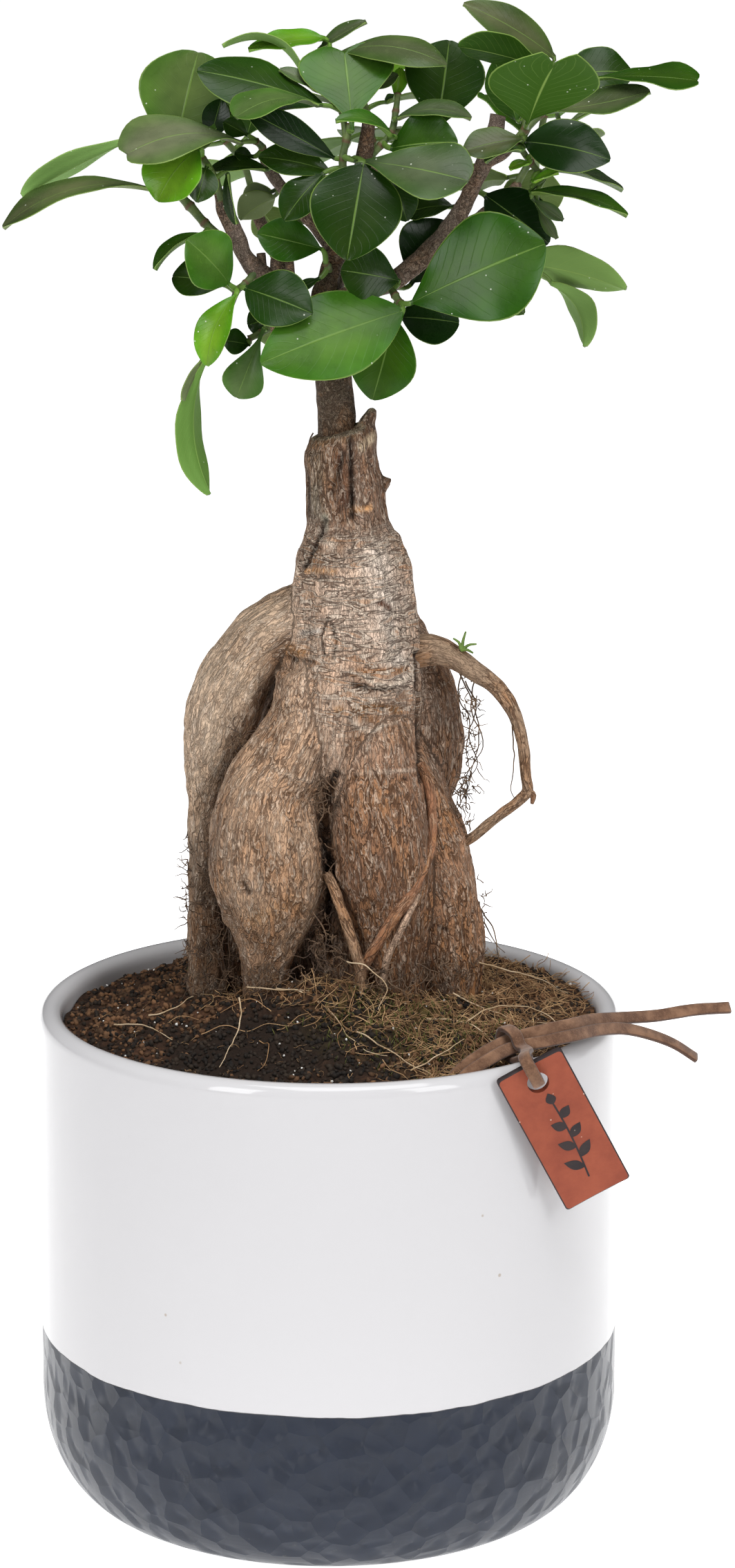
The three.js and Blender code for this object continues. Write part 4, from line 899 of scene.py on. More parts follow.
def scatter_tree() -> GeometryTree:
    """Builds the tree that strews pieces of a collection over a surface, by a zone of the mesh."""
    tree = GeometryTree("scatter", [
        ("Pieces", "NodeSocketCollection"), ("Material", "NodeSocketMaterial"),
        ("Zone", "NodeSocketString"), ("Density", "NodeSocketFloat"),
        ("Smallest", "NodeSocketFloat"), ("Largest", "NodeSocketFloat"),
        ("Tilt", "NodeSocketFloat"), ("Lift", "NodeSocketFloat"), ("Seed", "NodeSocketInt")])
    graph = tree.graph
    zone = graph.node("GeometryNodeInputNamedAttribute", {"data_type": "FLOAT"}, {"Name": tree.input("Zone")})
    points = graph.node("GeometryNodeDistributePointsOnFaces", {}, {
        "Mesh": tree.input("Geometry"), "Density": Field(graph, zone.outputs[0]) * tree.input("Density"),
        "Seed": tree.input("Seed")})
    pieces = graph.node("GeometryNodeCollectionInfo", {}, {
        "Collection": tree.input("Pieces"), "Separate Children": True, "Reset Children": True})
    turn = graph.node("FunctionNodeRandomValue", {"data_type": "FLOAT_VECTOR"},
                      {0: (0.0, 0.0, 0.0), 1: (0.0, 0.0, 2 * math.pi), "Seed": tree.input("Seed")})
    lean = graph.node("FunctionNodeRandomValue", {"data_type": "FLOAT_VECTOR"},
                      {0: (-1.0, -1.0, 0.0), 1: (1.0, 1.0, 0.0), "Seed": LEAN_SEED})
    angle = graph.vector("ADD", turn.outputs[0], graph.vector("SCALE", lean.outputs[0], tree.input("Tilt")))
    turned = graph.node("FunctionNodeRotateRotation", {"rotation_space": "LOCAL"},
                        {0: points.outputs["Rotation"], 1: angle})
    size = graph.node("FunctionNodeRandomValue", {"data_type": "FLOAT"},
                      {2: tree.input("Smallest"), 3: tree.input("Largest"), "Seed": tree.input("Seed")})
    lifted = graph.vector("SCALE", points.outputs["Normal"], tree.input("Lift"))
    raised = graph.node("GeometryNodeSetPosition", {}, {0: points.outputs[0], "Offset": lifted})
    placed = graph.node("GeometryNodeInstanceOnPoints", {"warning_propagation": "NONE"}, {
        "Points": raised.outputs[0], "Instance": pieces.outputs[0], "Pick Instance": True,
        "Rotation": turned.outputs[0], "Scale": size.outputs[1]})
    tree.close(placed.outputs[0], tree.input("Material"))
    return tree


def strand_tree() -> GeometryTree:
    """Builds the tree that turns curves into wavering tapered strands."""
    tree = GeometryTree("strands", [
        ("Material", "NodeSocketMaterial"), ("Radius", "NodeSocketFloat"), ("Step", "NodeSocketFloat"),
        ("Waver", "NodeSocketFloat"), ("Waver Size", "NodeSocketFloat"), ("Seed", "NodeSocketFloat")])
    graph = tree.graph
    even = graph.node("GeometryNodeResampleCurve", {"mode": "LENGTH"},
                      {"Curve": tree.input("Geometry"), "Length": tree.input("Step")})
    here = graph.node("GeometryNodeInputPosition")
    waves = graph.node("ShaderNodeTexNoise", {"noise_dimensions": "4D"}, {
        "Vector": here.outputs[0], "W": tree.input("Seed"), "Scale": tree.input("Waver Size"), "Detail": 1.0})
    centred = graph.vector("SUBTRACT", waves.outputs["Color"], (0.5, 0.5, 0.5))
    push = graph.vector("SCALE", centred, tree.input("Waver"))
    bent = graph.node("GeometryNodeSetPosition", {}, {0: even.outputs[0], "Offset": push})
    share = graph.node("GeometryNodeSplineParameter")
    taper = graph.node("ShaderNodeMapRange", {}, {0: share.outputs[0], 1: 0.0, 2: 1.0, 3: 1.0, 4: TIP_WIDTH})
    profile = graph.node("GeometryNodeCurvePrimitiveCircle", {}, {"Resolution": 6, "Radius": 1.0})
    tube_mesh = graph.node("GeometryNodeCurveToMesh", {}, {
        "Curve": bent.outputs[0], "Profile Curve": profile.outputs[0], "Fill Caps": True,
        "Scale": Field(graph, taper.outputs[0]) * tree.input("Radius")})
    tree.close(tube_mesh.outputs[0], tree.input("Material"))
    return tree


def turning_tree() -> GeometryTree:
    """Builds the tree that turns a profile round the Z axis and hammers its foot."""
    tree = GeometryTree("turning", [
        ("Profile", "NodeSocketObject"), ("Around", "NodeSocketInt"), ("Along", "NodeSocketInt"),
        ("Relief", "NodeSocketFloat"), ("Dent Size", "NodeSocketFloat"), ("Band Height", "NodeSocketFloat"),
        ("Step", "NodeSocketFloat"), ("Material", "NodeSocketMaterial"), ("Seed", "NodeSocketFloat")])
    graph = tree.graph
    sheet = graph.node("GeometryNodeMeshGrid", {}, {
        "Size X": 1.0, "Size Y": 1.0, "Vertices X": tree.input("Along"), "Vertices Y": tree.input("Around")})
    along, around, _ = graph.split(graph.node("GeometryNodeInputPosition").outputs[0])
    angle = (around + 0.5) * (2 * math.pi)
    outline = graph.node("GeometryNodeObjectInfo", {}, {0: tree.input("Profile")})
    sample = graph.node("GeometryNodeSampleCurve", {"mode": "FACTOR", "use_all_curves": True},
                        {"Curves": outline.outputs["Geometry"], "Factor": along + 0.5})
    radius, _, height = graph.split(sample.outputs["Position"])
    spun = graph.node("ShaderNodeCombineXYZ", {}, {
        0: radius * angle.cosine(), 1: radius * angle.sine(), 2: height})
    turned = graph.node("GeometryNodeSetPosition", {}, {0: sheet.outputs[0], "Position": spun.outputs[0]})
    closed = graph.node("GeometryNodeMergeByDistance", {}, {0: turned.outputs[0], "Distance": 0.00002})
    here = graph.node("GeometryNodeInputPosition").outputs[0]
    level = graph.split(here)[2]
    normal = graph.node("GeometryNodeInputNormal").outputs[0]
    facing = graph.vector("DOT_PRODUCT", graph.vector("MULTIPLY", here, (1.0, 1.0, 0.0)), normal)
    below = graph.node("ShaderNodeMapRange", {"interpolation_type": "SMOOTHSTEP"}, {
        0: level, 1: tree.input("Band Height") - 0.0008, 2: tree.input("Band Height"), 3: 1.0, 4: 0.0})
    band = Field(graph, below.outputs[0]) * level.ramp(0.0015, 0.006) * (facing > 0.0)
    dents = graph.node("ShaderNodeTexNoise", {"noise_dimensions": "4D"}, {
        "Vector": here, "W": tree.input("Seed"), "Scale": tree.input("Dent Size"), "Detail": 2.5,
        "Roughness": 0.5, "Distortion": 0.6})
    hammered = (Field(graph, dents.outputs[0]) - 0.56) * tree.input("Relief") * 2
    push = (hammered + tree.input("Step") * -1.0) * band
    shaped = graph.node("GeometryNodeSetPosition", {}, {
        0: closed.outputs[0], "Offset": graph.vector("SCALE", normal, push)})
    tree.close(shaped.outputs[0], tree.input("Material"))
    return tree


def polyline(name: str, routes: Sequence[Array]) -> bpy.types.Object:
    """Makes a curve object with one straight-run spline for each route, in millimetres."""
    data = bpy.data.curves.new(name, "CURVE")
    data.dimensions = "3D"
    for route in routes:
        spline = data.splines.new("POLY")
        spline.points.add(len(route) - 1)
        spline.points.foreach_set("co", np.column_stack((route * MM, np.ones(len(route)))).ravel())
    return add_object(name, data)


def dress(piece: bpy.types.Object, slot: str, *nodes: str) -> bpy.types.Object:
    """Lets a piece ride on the body and hides the nodes that it stands for; the slot is not used."""
    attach(piece, BODY)
    if nodes:
        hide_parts(*nodes)
    log.info("%s: %d faces", piece.name, len(piece.data.polygons))
    return piece


@dataclass
class Pot:
    """The glazed pot, turned from one profile."""

    rim_height: float = 123.0
    rim_radius: float = 70.2
    belly_radius: float = 70.6
    foot_radius: float = 55.2
    foot_round_height: float = 26.0
    foot_round_power: float = 1.86
    inner_radius: float = 64.8
    floor_thickness: float = 7.0
    inner_round: float = 16.0
    foot_bevel: float = 1.2
    band_height: float = 42.9
    around: int = 321
    along: int = 260
    relief: float = 0.9
    glaze_step: float = 0.25
    dent_size: float = 95.0
    dent_seed: float = 3.0

    def outside(self) -> List[Pair]:
        """Gives the profile from the middle of the foot up to the lip."""
        outline = [(0.0, 0.0), (self.foot_radius - self.foot_bevel, 0.0)]
        for angle in np.linspace(0.06, math.pi / 2, 18):
            out = math.sin(angle) ** (2 / self.foot_round_power)
            up = 1 - math.cos(angle) ** (2 / self.foot_round_power)
            outline.append((self.foot_radius + (self.belly_radius - self.foot_radius) * out,
                            self.foot_round_height * up))
        outline.append((self.belly_radius, self.band_height))
        return outline

    def lip(self) -> List[Pair]:
        """Gives the half round of the lip."""
        radius = (self.rim_radius - self.inner_radius) / 2
        return [(self.rim_radius - radius + radius * math.cos(angle),
                 self.rim_height - radius + radius * math.sin(angle))
                for angle in np.linspace(0, math.pi, 15)]

    def inside(self) -> List[Pair]:
        """Gives the inner wall down to the middle of the floor."""
        outline = [(self.inner_radius - self.inner_round * (1 - math.cos(angle)),
                    self.floor_thickness + self.inner_round * (1 - math.sin(angle)))
                   for angle in np.linspace(0, math.pi / 2, 6)]
        return outline + [(0.0, self.floor_thickness)]

    def build(self) -> bpy.types.Object:
        """Turns the pot."""
        profile = self.outside() + self.lip() + self.inside()
        route = np.array([(radius, 0.0, height) for radius, height in profile])
        outline = polyline("pot_profile", [route])
        seed = MeshPile()
        seed.add(np.zeros((1, 3)), [])
        blank = seed.build("pot_blank", [])
        made = turning_tree().apply(
            "pot_glazed", blank, profile=outline, around=self.around, along=self.along,
            relief=self.relief * MM, dent_size=self.dent_size, band_height=self.band_height * MM,
            step=self.glaze_step * MM, material=GlazeFinish().material(), seed=self.dent_seed)
        for scrap in (outline, blank):
            bpy.data.objects.remove(scrap)
        return dress(made, "pot", "pot")


LACE_BACK_ROUTE: Sequence[Point] = (
    (27.5, -50.4, 116.5), (30, -50.6, 120.5), (36, -47.8, 124.3), (42.2, -43.9, 126.4), (50, -41, 127.8),
    (57, -37.2, 128.2), (62.8, -31.3, 127.6), (69.6, -25.8, 126.4), (78, -21.2, 125.6), (87.3, -17.6, 126),
    (96, -15, 125.8))
LACE_FRONT_ROUTE: Sequence[Point] = (
    (28.8, -53.6, 116.5), (31.5, -53.8, 120.5), (37, -51.2, 123.7), (42.6, -47, 125.3),
    (50.3, -44.6, 126.2), (57.2, -40.7, 126.5), (63.6, -34.4, 126), (70, -29.5, 124.8),
    (76.2, -26.8, 122.6), (82, -25, 119.8), (87.5, -23.4, 115.8))
TIE_UNDER_STRANDS: Sequence[Point] = ((43.7, -47.5, 122.8), (41.5, -44.6, 123.1), (40.3, -42.9, 125.8))
TIE_OVER_STRANDS: Sequence[Point] = ((41, -43.3, 129), (43.3, -46.2, 128.6), (44.5, -47.9, 126.2))
TIE_ON_RIM: Point = (45.9, -50.2, 125.9)
TIE_UNDER_ON_RIM: Point = (45.6, -49.8, 124.1)
TIE_THROUGH_HOLE: Sequence[Pair] = ((7, 0.2), (4.6, 2.2), (0.3, 2), (0.3, -2), (4, -2.2))


@dataclass
class Tag:
    """The small leather tag, hung on the tie, with a plain leaf sprig on its face."""

    width: float = 16.8
    length: float = 39.0
    thickness: float = 1.8
    hole_radius: float = 2.6
    hole_down: float = 5.2
    turn: float = 10.0
    lean: float = 9.0
    roll: float = 28.0
    centre: Point = (54.4, -55.6, 108.4)
    corner: float = 0.9
    bevel: float = 0.3
    curl_across: float = 0.3
    curl_along: float = 0.21
    print_lift: float = 0.05
    stem_half: float = 0.22
    stem_foot: float = -14.0
    stem_length: float = 21.5
    leaflet_half: float = 1.25
    face: HideFinish = HideFinish("tag_face", (0.300, 0.072, 0.036), (0.225, 0.050, 0.027))
    cut_edge: HideFinish = HideFinish("tag_edge", (0.020, 0.015, 0.017), (0.035, 0.025, 0.025))

    def axes(self) -> Tuple[Array, Array, Array]:
        """Gives the directions across the tag, along it and out of its face."""
        turn, lean, roll = (math.radians(angle) for angle in (self.turn, self.lean, self.roll))
        side = np.array((math.cos(turn), math.sin(turn), 0))
        out = np.array((math.sin(turn), -math.cos(turn), 0))
        up = np.array((0, 0, math.cos(lean))) + out * math.sin(lean)
        across = side * math.cos(roll) + up * math.sin(roll)
        along = up * math.cos(roll) - side * math.sin(roll)
        return across, along, np.cross(across, along)

    def hole(self) -> Array:
        """Gives the middle of the hole."""
        return np.array(self.centre) + self.axes()[1] * (self.length / 2 - self.hole_down)

    def to_place(self, across: Array, along: Array, out: Array) -> Array:
        """Turns places on the tag into places in the frame, with a slight curl."""
        curl = self.curl_across * (across / (self.width / 2)) ** 2
        curl = curl - self.curl_along * (along / (self.length / 2)) ** 2
        parts = zip((across, along, out + curl), self.axes())
        return np.array(self.centre) + sum(np.outer(value, axis) for value, axis in parts)

    def outline(self, inset: float) -> Array:
        """Gives the rounded outline of the tag, drawn in by inset."""
        half = np.array((self.width / 2, self.length / 2)) - inset
        arcs = []
        for quarter, signs in enumerate(((1, 1), (-1, 1), (-1, -1), (1, -1))):
            middle = np.array(signs) * (half - self.corner)
            angles = np.linspace(0, math.pi / 2, 5) + quarter * math.pi / 2
            arcs.append(middle + self.corner * np.column_stack((np.cos(angles), np.sin(angles))))
        points = []
        for arc, following in zip(arcs, arcs[1:] + arcs[:1]):
            points.append(arc)
            points.append(arc[-1] + np.linspace(0, 1, 14)[1:-1, None] * (following[0] - arc[-1]))
        return np.vstack(points)

    def slab(self) -> Tuple[Array, Faces, List[int]]:
        """Builds the pierced slab as rings from the hole out over the face, down the edge and back."""
        outer = self.outline(0.0)
        hole = np.array((0.0, self.length / 2 - self.hole_down))
        bearing = np.arctan2(outer[:, 1] - hole[1], outer[:, 0] - hole[0])
        inner = hole + self.hole_radius * np.column_stack((np.cos(bearing), np.sin(bearing)))
        half = self.thickness / 2
        rim = self.outline(self.bevel)
        front = [(inner + (rim - inner) * share, half) for share in np.linspace(0, 1, 12)]
        edge = [(outer, half - self.bevel), (outer, self.bevel - half)]
        rings = front + edge + [(ring, -half) for ring, _ in reversed(front)]
        points = np.vstack([self.to_place(ring[:, 0], ring[:, 1], np.full(len(ring), height))
                            for ring, height in rings])
        faces = loft_faces(len(rings), len(outer), looped=True)
        dark = range(len(front) - 1, len(front) + 2)
        slots = [1 if index // len(outer) in dark else 0 for index in range(len(faces))]
        return points, faces, slots

    def strip(self, pile: MeshPile, left: Array, right: Array) -> None:
        """Prints a dark strip between two lines on the face of the tag."""
        count = len(left)
        across, along = np.vstack((left, right)).T
        lift = np.full(2 * count, self.thickness / 2 + self.print_lift)
        faces = [(i, i + 1, i + 1 + count, i + count) for i in range(count - 1)]
        pile.add(self.to_place(across, along, lift), faces, 1)

    def sprig(self, pile: MeshPile) -> None:
        """Prints a stem with paired leaflets on the face of the tag."""
        stem = np.array([(0.9 * math.sin(share * 2.2), self.stem_foot + self.stem_length * share)
                         for share in np.linspace(0, 1, 16)])
        self.strip(pile, stem + (-self.stem_half, 0), stem + (self.stem_half, 0))
        rng = random.Random(5)
        shares = np.linspace(0, 1, 12)
        width = self.leaflet_half * np.sin(math.pi * shares ** 0.85)
        for step, side in [(2, -1), (4, 1), (6, -1), (8, 1), (10, -1), (12, 1), (15, 0)]:
            length = 5.6 - 0.16 * step
            angle = math.radians(90 - side * (48 + rng.uniform(-4, 4)))
            axis = np.array((math.cos(angle), math.sin(angle)))
            spread = width[:, None] * np.array((-axis[1], axis[0]))
            middle = stem[step] + np.outer(shares * length, axis)
            self.strip(pile, middle + spread, middle - spread)

    def build(self) -> bpy.types.Object:
        """Builds the tag."""
        points, faces, slots = self.slab()
        pile = MeshPile()
        pile.add(points, outward(points, faces))
        pile.slots = slots
        self.sprig(pile)
        made = pile.build("tag_leather", [self.face.material(), self.cut_edge.material()], smooth=False)
        return dress(made, "tag", "tag")


@dataclass
class Lace:
    """The flat suede lace: two free strands and the tie that holds them and the tag."""

    tag: Tag
    width: float = 3.0
    thickness: float = 1.4
    corners: int = 20
    steps: int = 110
    face_rise: float = 45.0
    strands_run: Point = (0.9, 0.41, 0.13)
    rim_run: Point = (0.74, 0.67, 0.0)
    suede: Material = field(init=False)

    def section(self, centres: Array, edges: Array, faces: Array, lively: float = 1.0) -> Tuple[Array, Array]:
        """Lays the strap's section along a line.

        Args:
            centres: Points of the line.
            edges: Directions across the strap.
            faces: Directions out of its broad side.
            lively: How far its edges wander.

        Returns:
            Rings of points, and for each point its place across the strap.
        """
        angles = 2 * math.pi * (np.arange(self.corners) + 0.5) / self.corners
        across = np.sign(np.cos(angles)) * np.abs(np.cos(angles)) ** 0.4
        through = np.sign(np.sin(angles)) * np.abs(np.sin(angles)) ** 0.5
        wander = 0.05 * lively * noise_at(centres, 4.0, 2.0)
        half = self.width / 2 + wander
        crown = 1 - 0.12 * across ** 2
        rings = (centres[:, None] + edges[:, None] * (half[:, None] * across)[..., None]
                 + faces[:, None] * (self.thickness / 2 * through * crown)[None, :, None])
        return rings, np.tile(across, len(centres))

    def strap(self, name: str, rings: Array, across: Array, looped: bool = False) -> bpy.types.Object:
        """Closes rings into a piece that knows its place across the strap."""
        points, faces = loft(rings, looped)
        places = np.zeros((len(points), 3))
        places[:len(across), 0] = across
        pile = MeshPile()
        pile.add(points, faces, strap=places)
        return pile.build(name, [self.suede])

    def strand(self, name: str, route: Sequence[Point]) -> Tuple[bpy.types.Object, Array]:
        """Builds one free strand and returns it with its centre line."""
        line = smooth_line(np.array(route), np.linspace(0, 1, self.steps))
        ways = directions(line)
        faces = np.column_stack((line[:, 0], line[:, 1], np.full(len(line), self.face_rise)))
        faces = unit(faces - ways * np.sum(faces * ways, axis=1, keepdims=True))
        edges = np.cross(ways, faces)
        return self.strap(name, *self.section(line, edges, faces)), line

    def tie(self) -> bpy.types.Object:
        """Builds the loop round the strands and through the tag."""
        across, along, face = self.tag.axes()
        hole = self.tag.hole()
        stations = [(np.array(TIE_UNDER_ON_RIM), self.rim_run)]
        stations += [(np.array(place), self.strands_run)
                     for place in (*TIE_UNDER_STRANDS, *TIE_OVER_STRANDS)]
        stations.append((np.array(TIE_ON_RIM), self.rim_run))
        for rise, out in TIE_THROUGH_HOLE:
            stations.append((hole + along * rise + face * out, tuple(across)))
        shares = np.linspace(0, 1, 97)[:-1]
        line = smooth_line(np.array([place for place, _ in stations]), shares, closed=True)
        runs = smooth_line(np.array([run for _, run in stations]), shares, closed=True)
        ways = unit(np.roll(line, -1, axis=0) - np.roll(line, 1, axis=0))
        edges = unit(runs - ways * np.sum(runs * ways, axis=1, keepdims=True))
        rings, place = self.section(line, edges, np.cross(edges, ways), 0.4)
        return self.strap("lace_tie_suede", rings, place, looped=True)

    def build(self) -> None:
        """Builds the lace: its tie, the tag and its two free strands."""
        self.suede = SuedeFinish().material()
        tie = dress(self.tie(), "lace", "lace_tie")
        tag = self.tag.build()
        for name, route, parts in (("lace_back", LACE_BACK_ROUTE, [tie, tag]),
                                   ("lace_front", LACE_FRONT_ROUTE, [])):
            piece, line = self.strand(f"{name}_suede", route)
            dress(piece, "lace", name)
            tuple(line[0] * MM)
            (line * MM).tolist()


RIDGE_TWIST = 2.2
KNOT_SIZE = 3.2


@dataclass(frozen=True)
class Limb:
    """One root or branch, as stations (x, z, y, half width, half depth)."""

    stations: Sequence[Station]
    ridges: Pair = (0, 0)
    tone: Point = (0.20, 0.125, 0.075)
    # wear: cracking, rust, and painted shade for lying deep in a crevice.
    wear: Point = (0.3, 0.3, 0.0)

    def line(self, count: int) -> Array:
        """Gives points along the middle."""
        return smooth_line(on_sight(self.stations), np.linspace(0, 1, count))

    def halves(self, count: int) -> Array:
        """Gives half width and half depth along it."""
        sizes = np.array([(s[3], s[4] if len(s) > 4 else s[3], 0.0) for s in self.stations])
        return smooth_line(sizes, np.linspace(0, 1, count))[:, :2]

    def frames(self, line: Array) -> Tuple[Array, Array, Array]:
        """Gives the directions along, sideways and in depth at each point of the line."""
        ways = directions(line)
        depth = unit(np.array((0.0, 1.0, 0.0)) - ways * ways[:, 1:2])
        return ways, np.cross(depth, ways), depth

    def rings(self, count: int, sides: int, knots: float = 0.0, seed: float = 0.0) -> Array:
        """Builds the limb's rings.

        Args:
            count: How many rings.
            sides: How many points in each.
            knots: How far its surface swells and shrinks, in millimetres.
            seed: Moves the swellings.

        Returns:
            An array of rings, points and coordinates.
        """
        line, half = self.line(count), self.halves(count)
        _, side, depth = self.frames(line)
        angles = 2 * math.pi * np.arange(sides) / sides
        along = np.linspace(0, 1, count)[:, None]
        ridge = 1 + self.ridges[1] * np.cos(self.ridges[0] * (angles + 1) + RIDGE_TWIST * along)
        rings = (line[:, None] + side[:, None] * (np.cos(angles) * half[:, :1] * ridge)[..., None]
                 + depth[:, None] * (np.sin(angles) * half[:, 1:] * ridge)[..., None])
        if knots:
            flat = rings.reshape(-1, 3)
            out = unit(flat - np.repeat(line, sides, axis=0))
            rings = (flat + out * (knots * noise_at(flat, KNOT_SIZE, seed))[:, None]).reshape(rings.shape)
        return rings


GREY_BARK: Point = (0.700, 0.485, 0.350)
BROWN_BARK: Point = (0.300, 0.160, 0.092)
RUST_BARK: Point = (0.430, 0.235, 0.135)
BEIGE_BARK: Point = (0.620, 0.450, 0.315)
TWIG_BARK: Point = (0.200, 0.150, 0.120)
STEM_BARK: Point = (0.090, 0.060, 0.040)
BULB_BARK: Point = (0.520, 0.340, 0.220)

ROOTS: Mapping[str, Limb] = {
    "core": Limb((
        (3.3, 263, 0, 7.4, 7.4), (3.3, 260, 0, 8.4, 8.2), (3.4, 254, 0, 8.8, 8.4), (4.2, 246, 0, 9.4, 9),
        (4.7, 241, 0, 9.7, 9.6), (5, 236, 0, 12.2, 11.5), (5.3, 230, 0, 13.8, 13), (5.8, 222, 0, 14.9, 14),
        (6, 213, 0, 15.6, 15), (5.5, 204, 0, 16.2, 16), (4.5, 195, 0, 17.2, 16.5), (3.5, 186, 1, 18, 16),
        (3, 176, 3, 18, 14), (3, 165, 6, 17, 12.5), (3, 150, 7, 15, 12), (3, 132, 7, 13, 12),
        (3, 112, 6, 11, 11),
    ), (7, 0.03), GREY_BARK, (1.0, 0.35, 0.0)),
    "front_bulb": Limb((
        (-4, 204, -4, 8, 8), (-5.5, 194, -6, 8.6, 9.5), (-9, 185, -8, 10, 10.5), (-13, 177, -9, 11.4, 11.5),
        (-14.7, 169, -10, 13, 12.5), (-14.6, 160, -10, 14.1, 13), (-14.5, 152, -10, 13.4, 12.5),
        (-14.2, 145, -10, 11.3, 11), (-14.5, 139, -10, 8.2, 9), (-15.3, 132, -10, 5.9, 7),
        (-15.5, 126, -10, 5.3, 6), (-15, 117, -9, 5, 5), (-14, 110, -8, 3.5, 3.5),
    ), (6, 0.025), BULB_BARK, (-0.4, 0.5, 0.0)),
    "centre_root": Limb((
        (8, 200, -4, 9, 9), (10, 190, -6, 10.5, 10), (11, 180, -7, 11.3, 11), (12, 170, -8, 12, 12),
        (13, 160, -9, 12.2, 12.2), (13.5, 150, -9, 11.2, 11), (14, 142, -9, 9.5, 10),
        (14.5, 134, -9, 8.5, 9),
        (15, 126, -8, 8, 8.5), (15, 114, -7, 7, 7),
    ), (5, 0.03), BROWN_BARK, (0.15, 0.6, 0.0)),
    "right_root": Limb((
        (16, 186, 0, 6, 8), (20, 178, 0, 7, 9), (21.5, 170, 0, 9, 10), (23, 163, 0, 10.5, 11),
        (25.5, 155, 0, 9.6, 11), (27, 147, 0, 9.6, 10.5), (28, 140, 0, 9.8, 10), (28.5, 132, 0, 9, 9.5),
        (28.7, 126, 0, 8.4, 9), (28.5, 114, 1, 7.5, 8),
    ), (5, 0.035), RUST_BARK, (0.2, 0.7, 0.0)),
    "right_rear_swelling": Limb((
        (16, 218, 8, 5, 6), (19, 208, 9, 8, 8), (21, 200, 10, 9.6, 9.5), (21.8, 190, 10, 10.3, 10),
        (21.5, 182, 10, 10, 10), (19.5, 174, 10, 8.6, 9), (18, 160, 11, 8, 9), (17, 140, 12, 8, 9),
        (16, 114, 12, 7, 8),
    ), (4, 0.03), BROWN_BARK, (0.3, 0.5, 0.2)),
    "left_root": Limb((
        (2, 219, 3, 7, 8), (-6, 218.5, 3, 8, 8.5), (-13, 215, 3, 8, 8.5), (-18.5, 209.5, 3, 8, 8.5),
        (-22.5, 203, 3, 8.6, 8.5), (-24.8, 196, 3, 9, 8.5), (-26.5, 190, 3, 8.3, 8),
        (-28.2, 184.5, 3, 6.5, 7),
        (-29.6, 178, 3, 4.6, 5.5), (-30.4, 170, 3, 3.6, 4), (-30.2, 160, 3, 3.8, 4.5),
        (-29.8, 150, 3, 4.3, 5), (-29.4, 140, 3, 4.8, 5), (-29, 132, 3, 5.2, 5.5), (-29, 126, 3, 5.2, 5.5),
        (-28.5, 114, 3, 4.5, 5),
    ), (5, 0.03), BEIGE_BARK, (-1.0, 0.2, 0.0)),
    "left_rear_root": Limb((
        (0, 214, 6, 8, 8), (-5, 205, 12, 9, 9), (-9, 195, 16, 9.5, 9.5), (-11, 184, 19, 9.5, 9.5),
        (-11, 172, 20, 9, 9), (-10, 160, 20, 8.5, 8.5), (-10, 145, 20, 7.5, 8), (-10, 130, 19, 7, 7),
        (-10, 114, 18, 6, 6),
    ), (5, 0.03), GREY_BARK, (0.3, 0.5, 0.1)),
    "right_back_root": Limb((
        (6, 212, 6, 8, 8), (8, 200, 13, 9, 8.5), (9, 188, 18, 10, 9), (9, 175, 21, 10.5, 9.5),
        (8, 160, 22, 10, 9.5), (7, 145, 21, 9, 9), (6, 130, 20, 8, 8), (6, 114, 19, 7, 7),
    ), (4, 0.03), GREY_BARK, (0.3, 0.6, 0.1)),
    "left_inner": Limb((
        (-26, 168, 5, 1.5), (-25, 155, 5, 2.2), (-24, 142, 5, 3), (-23.5, 130, 5, 3.5), (-23, 118, 5, 3.5),
    ), (5, 0.05), (0.100, 0.060, 0.038), (0.0, 0.5, 0.3)),
    "neck_spur": Limb(((7, 259, -2, 3), (9.4, 264, -2, 2.1), (10.4, 266.6, -2, 1.1)), tone=BROWN_BARK),
    "neck_knob": Limb(((9, 249.5, 0, 3.2), (13, 250.5, 0, 1.9), (14.9, 251.4, 0, 0.6)), tone=BROWN_BARK),
}

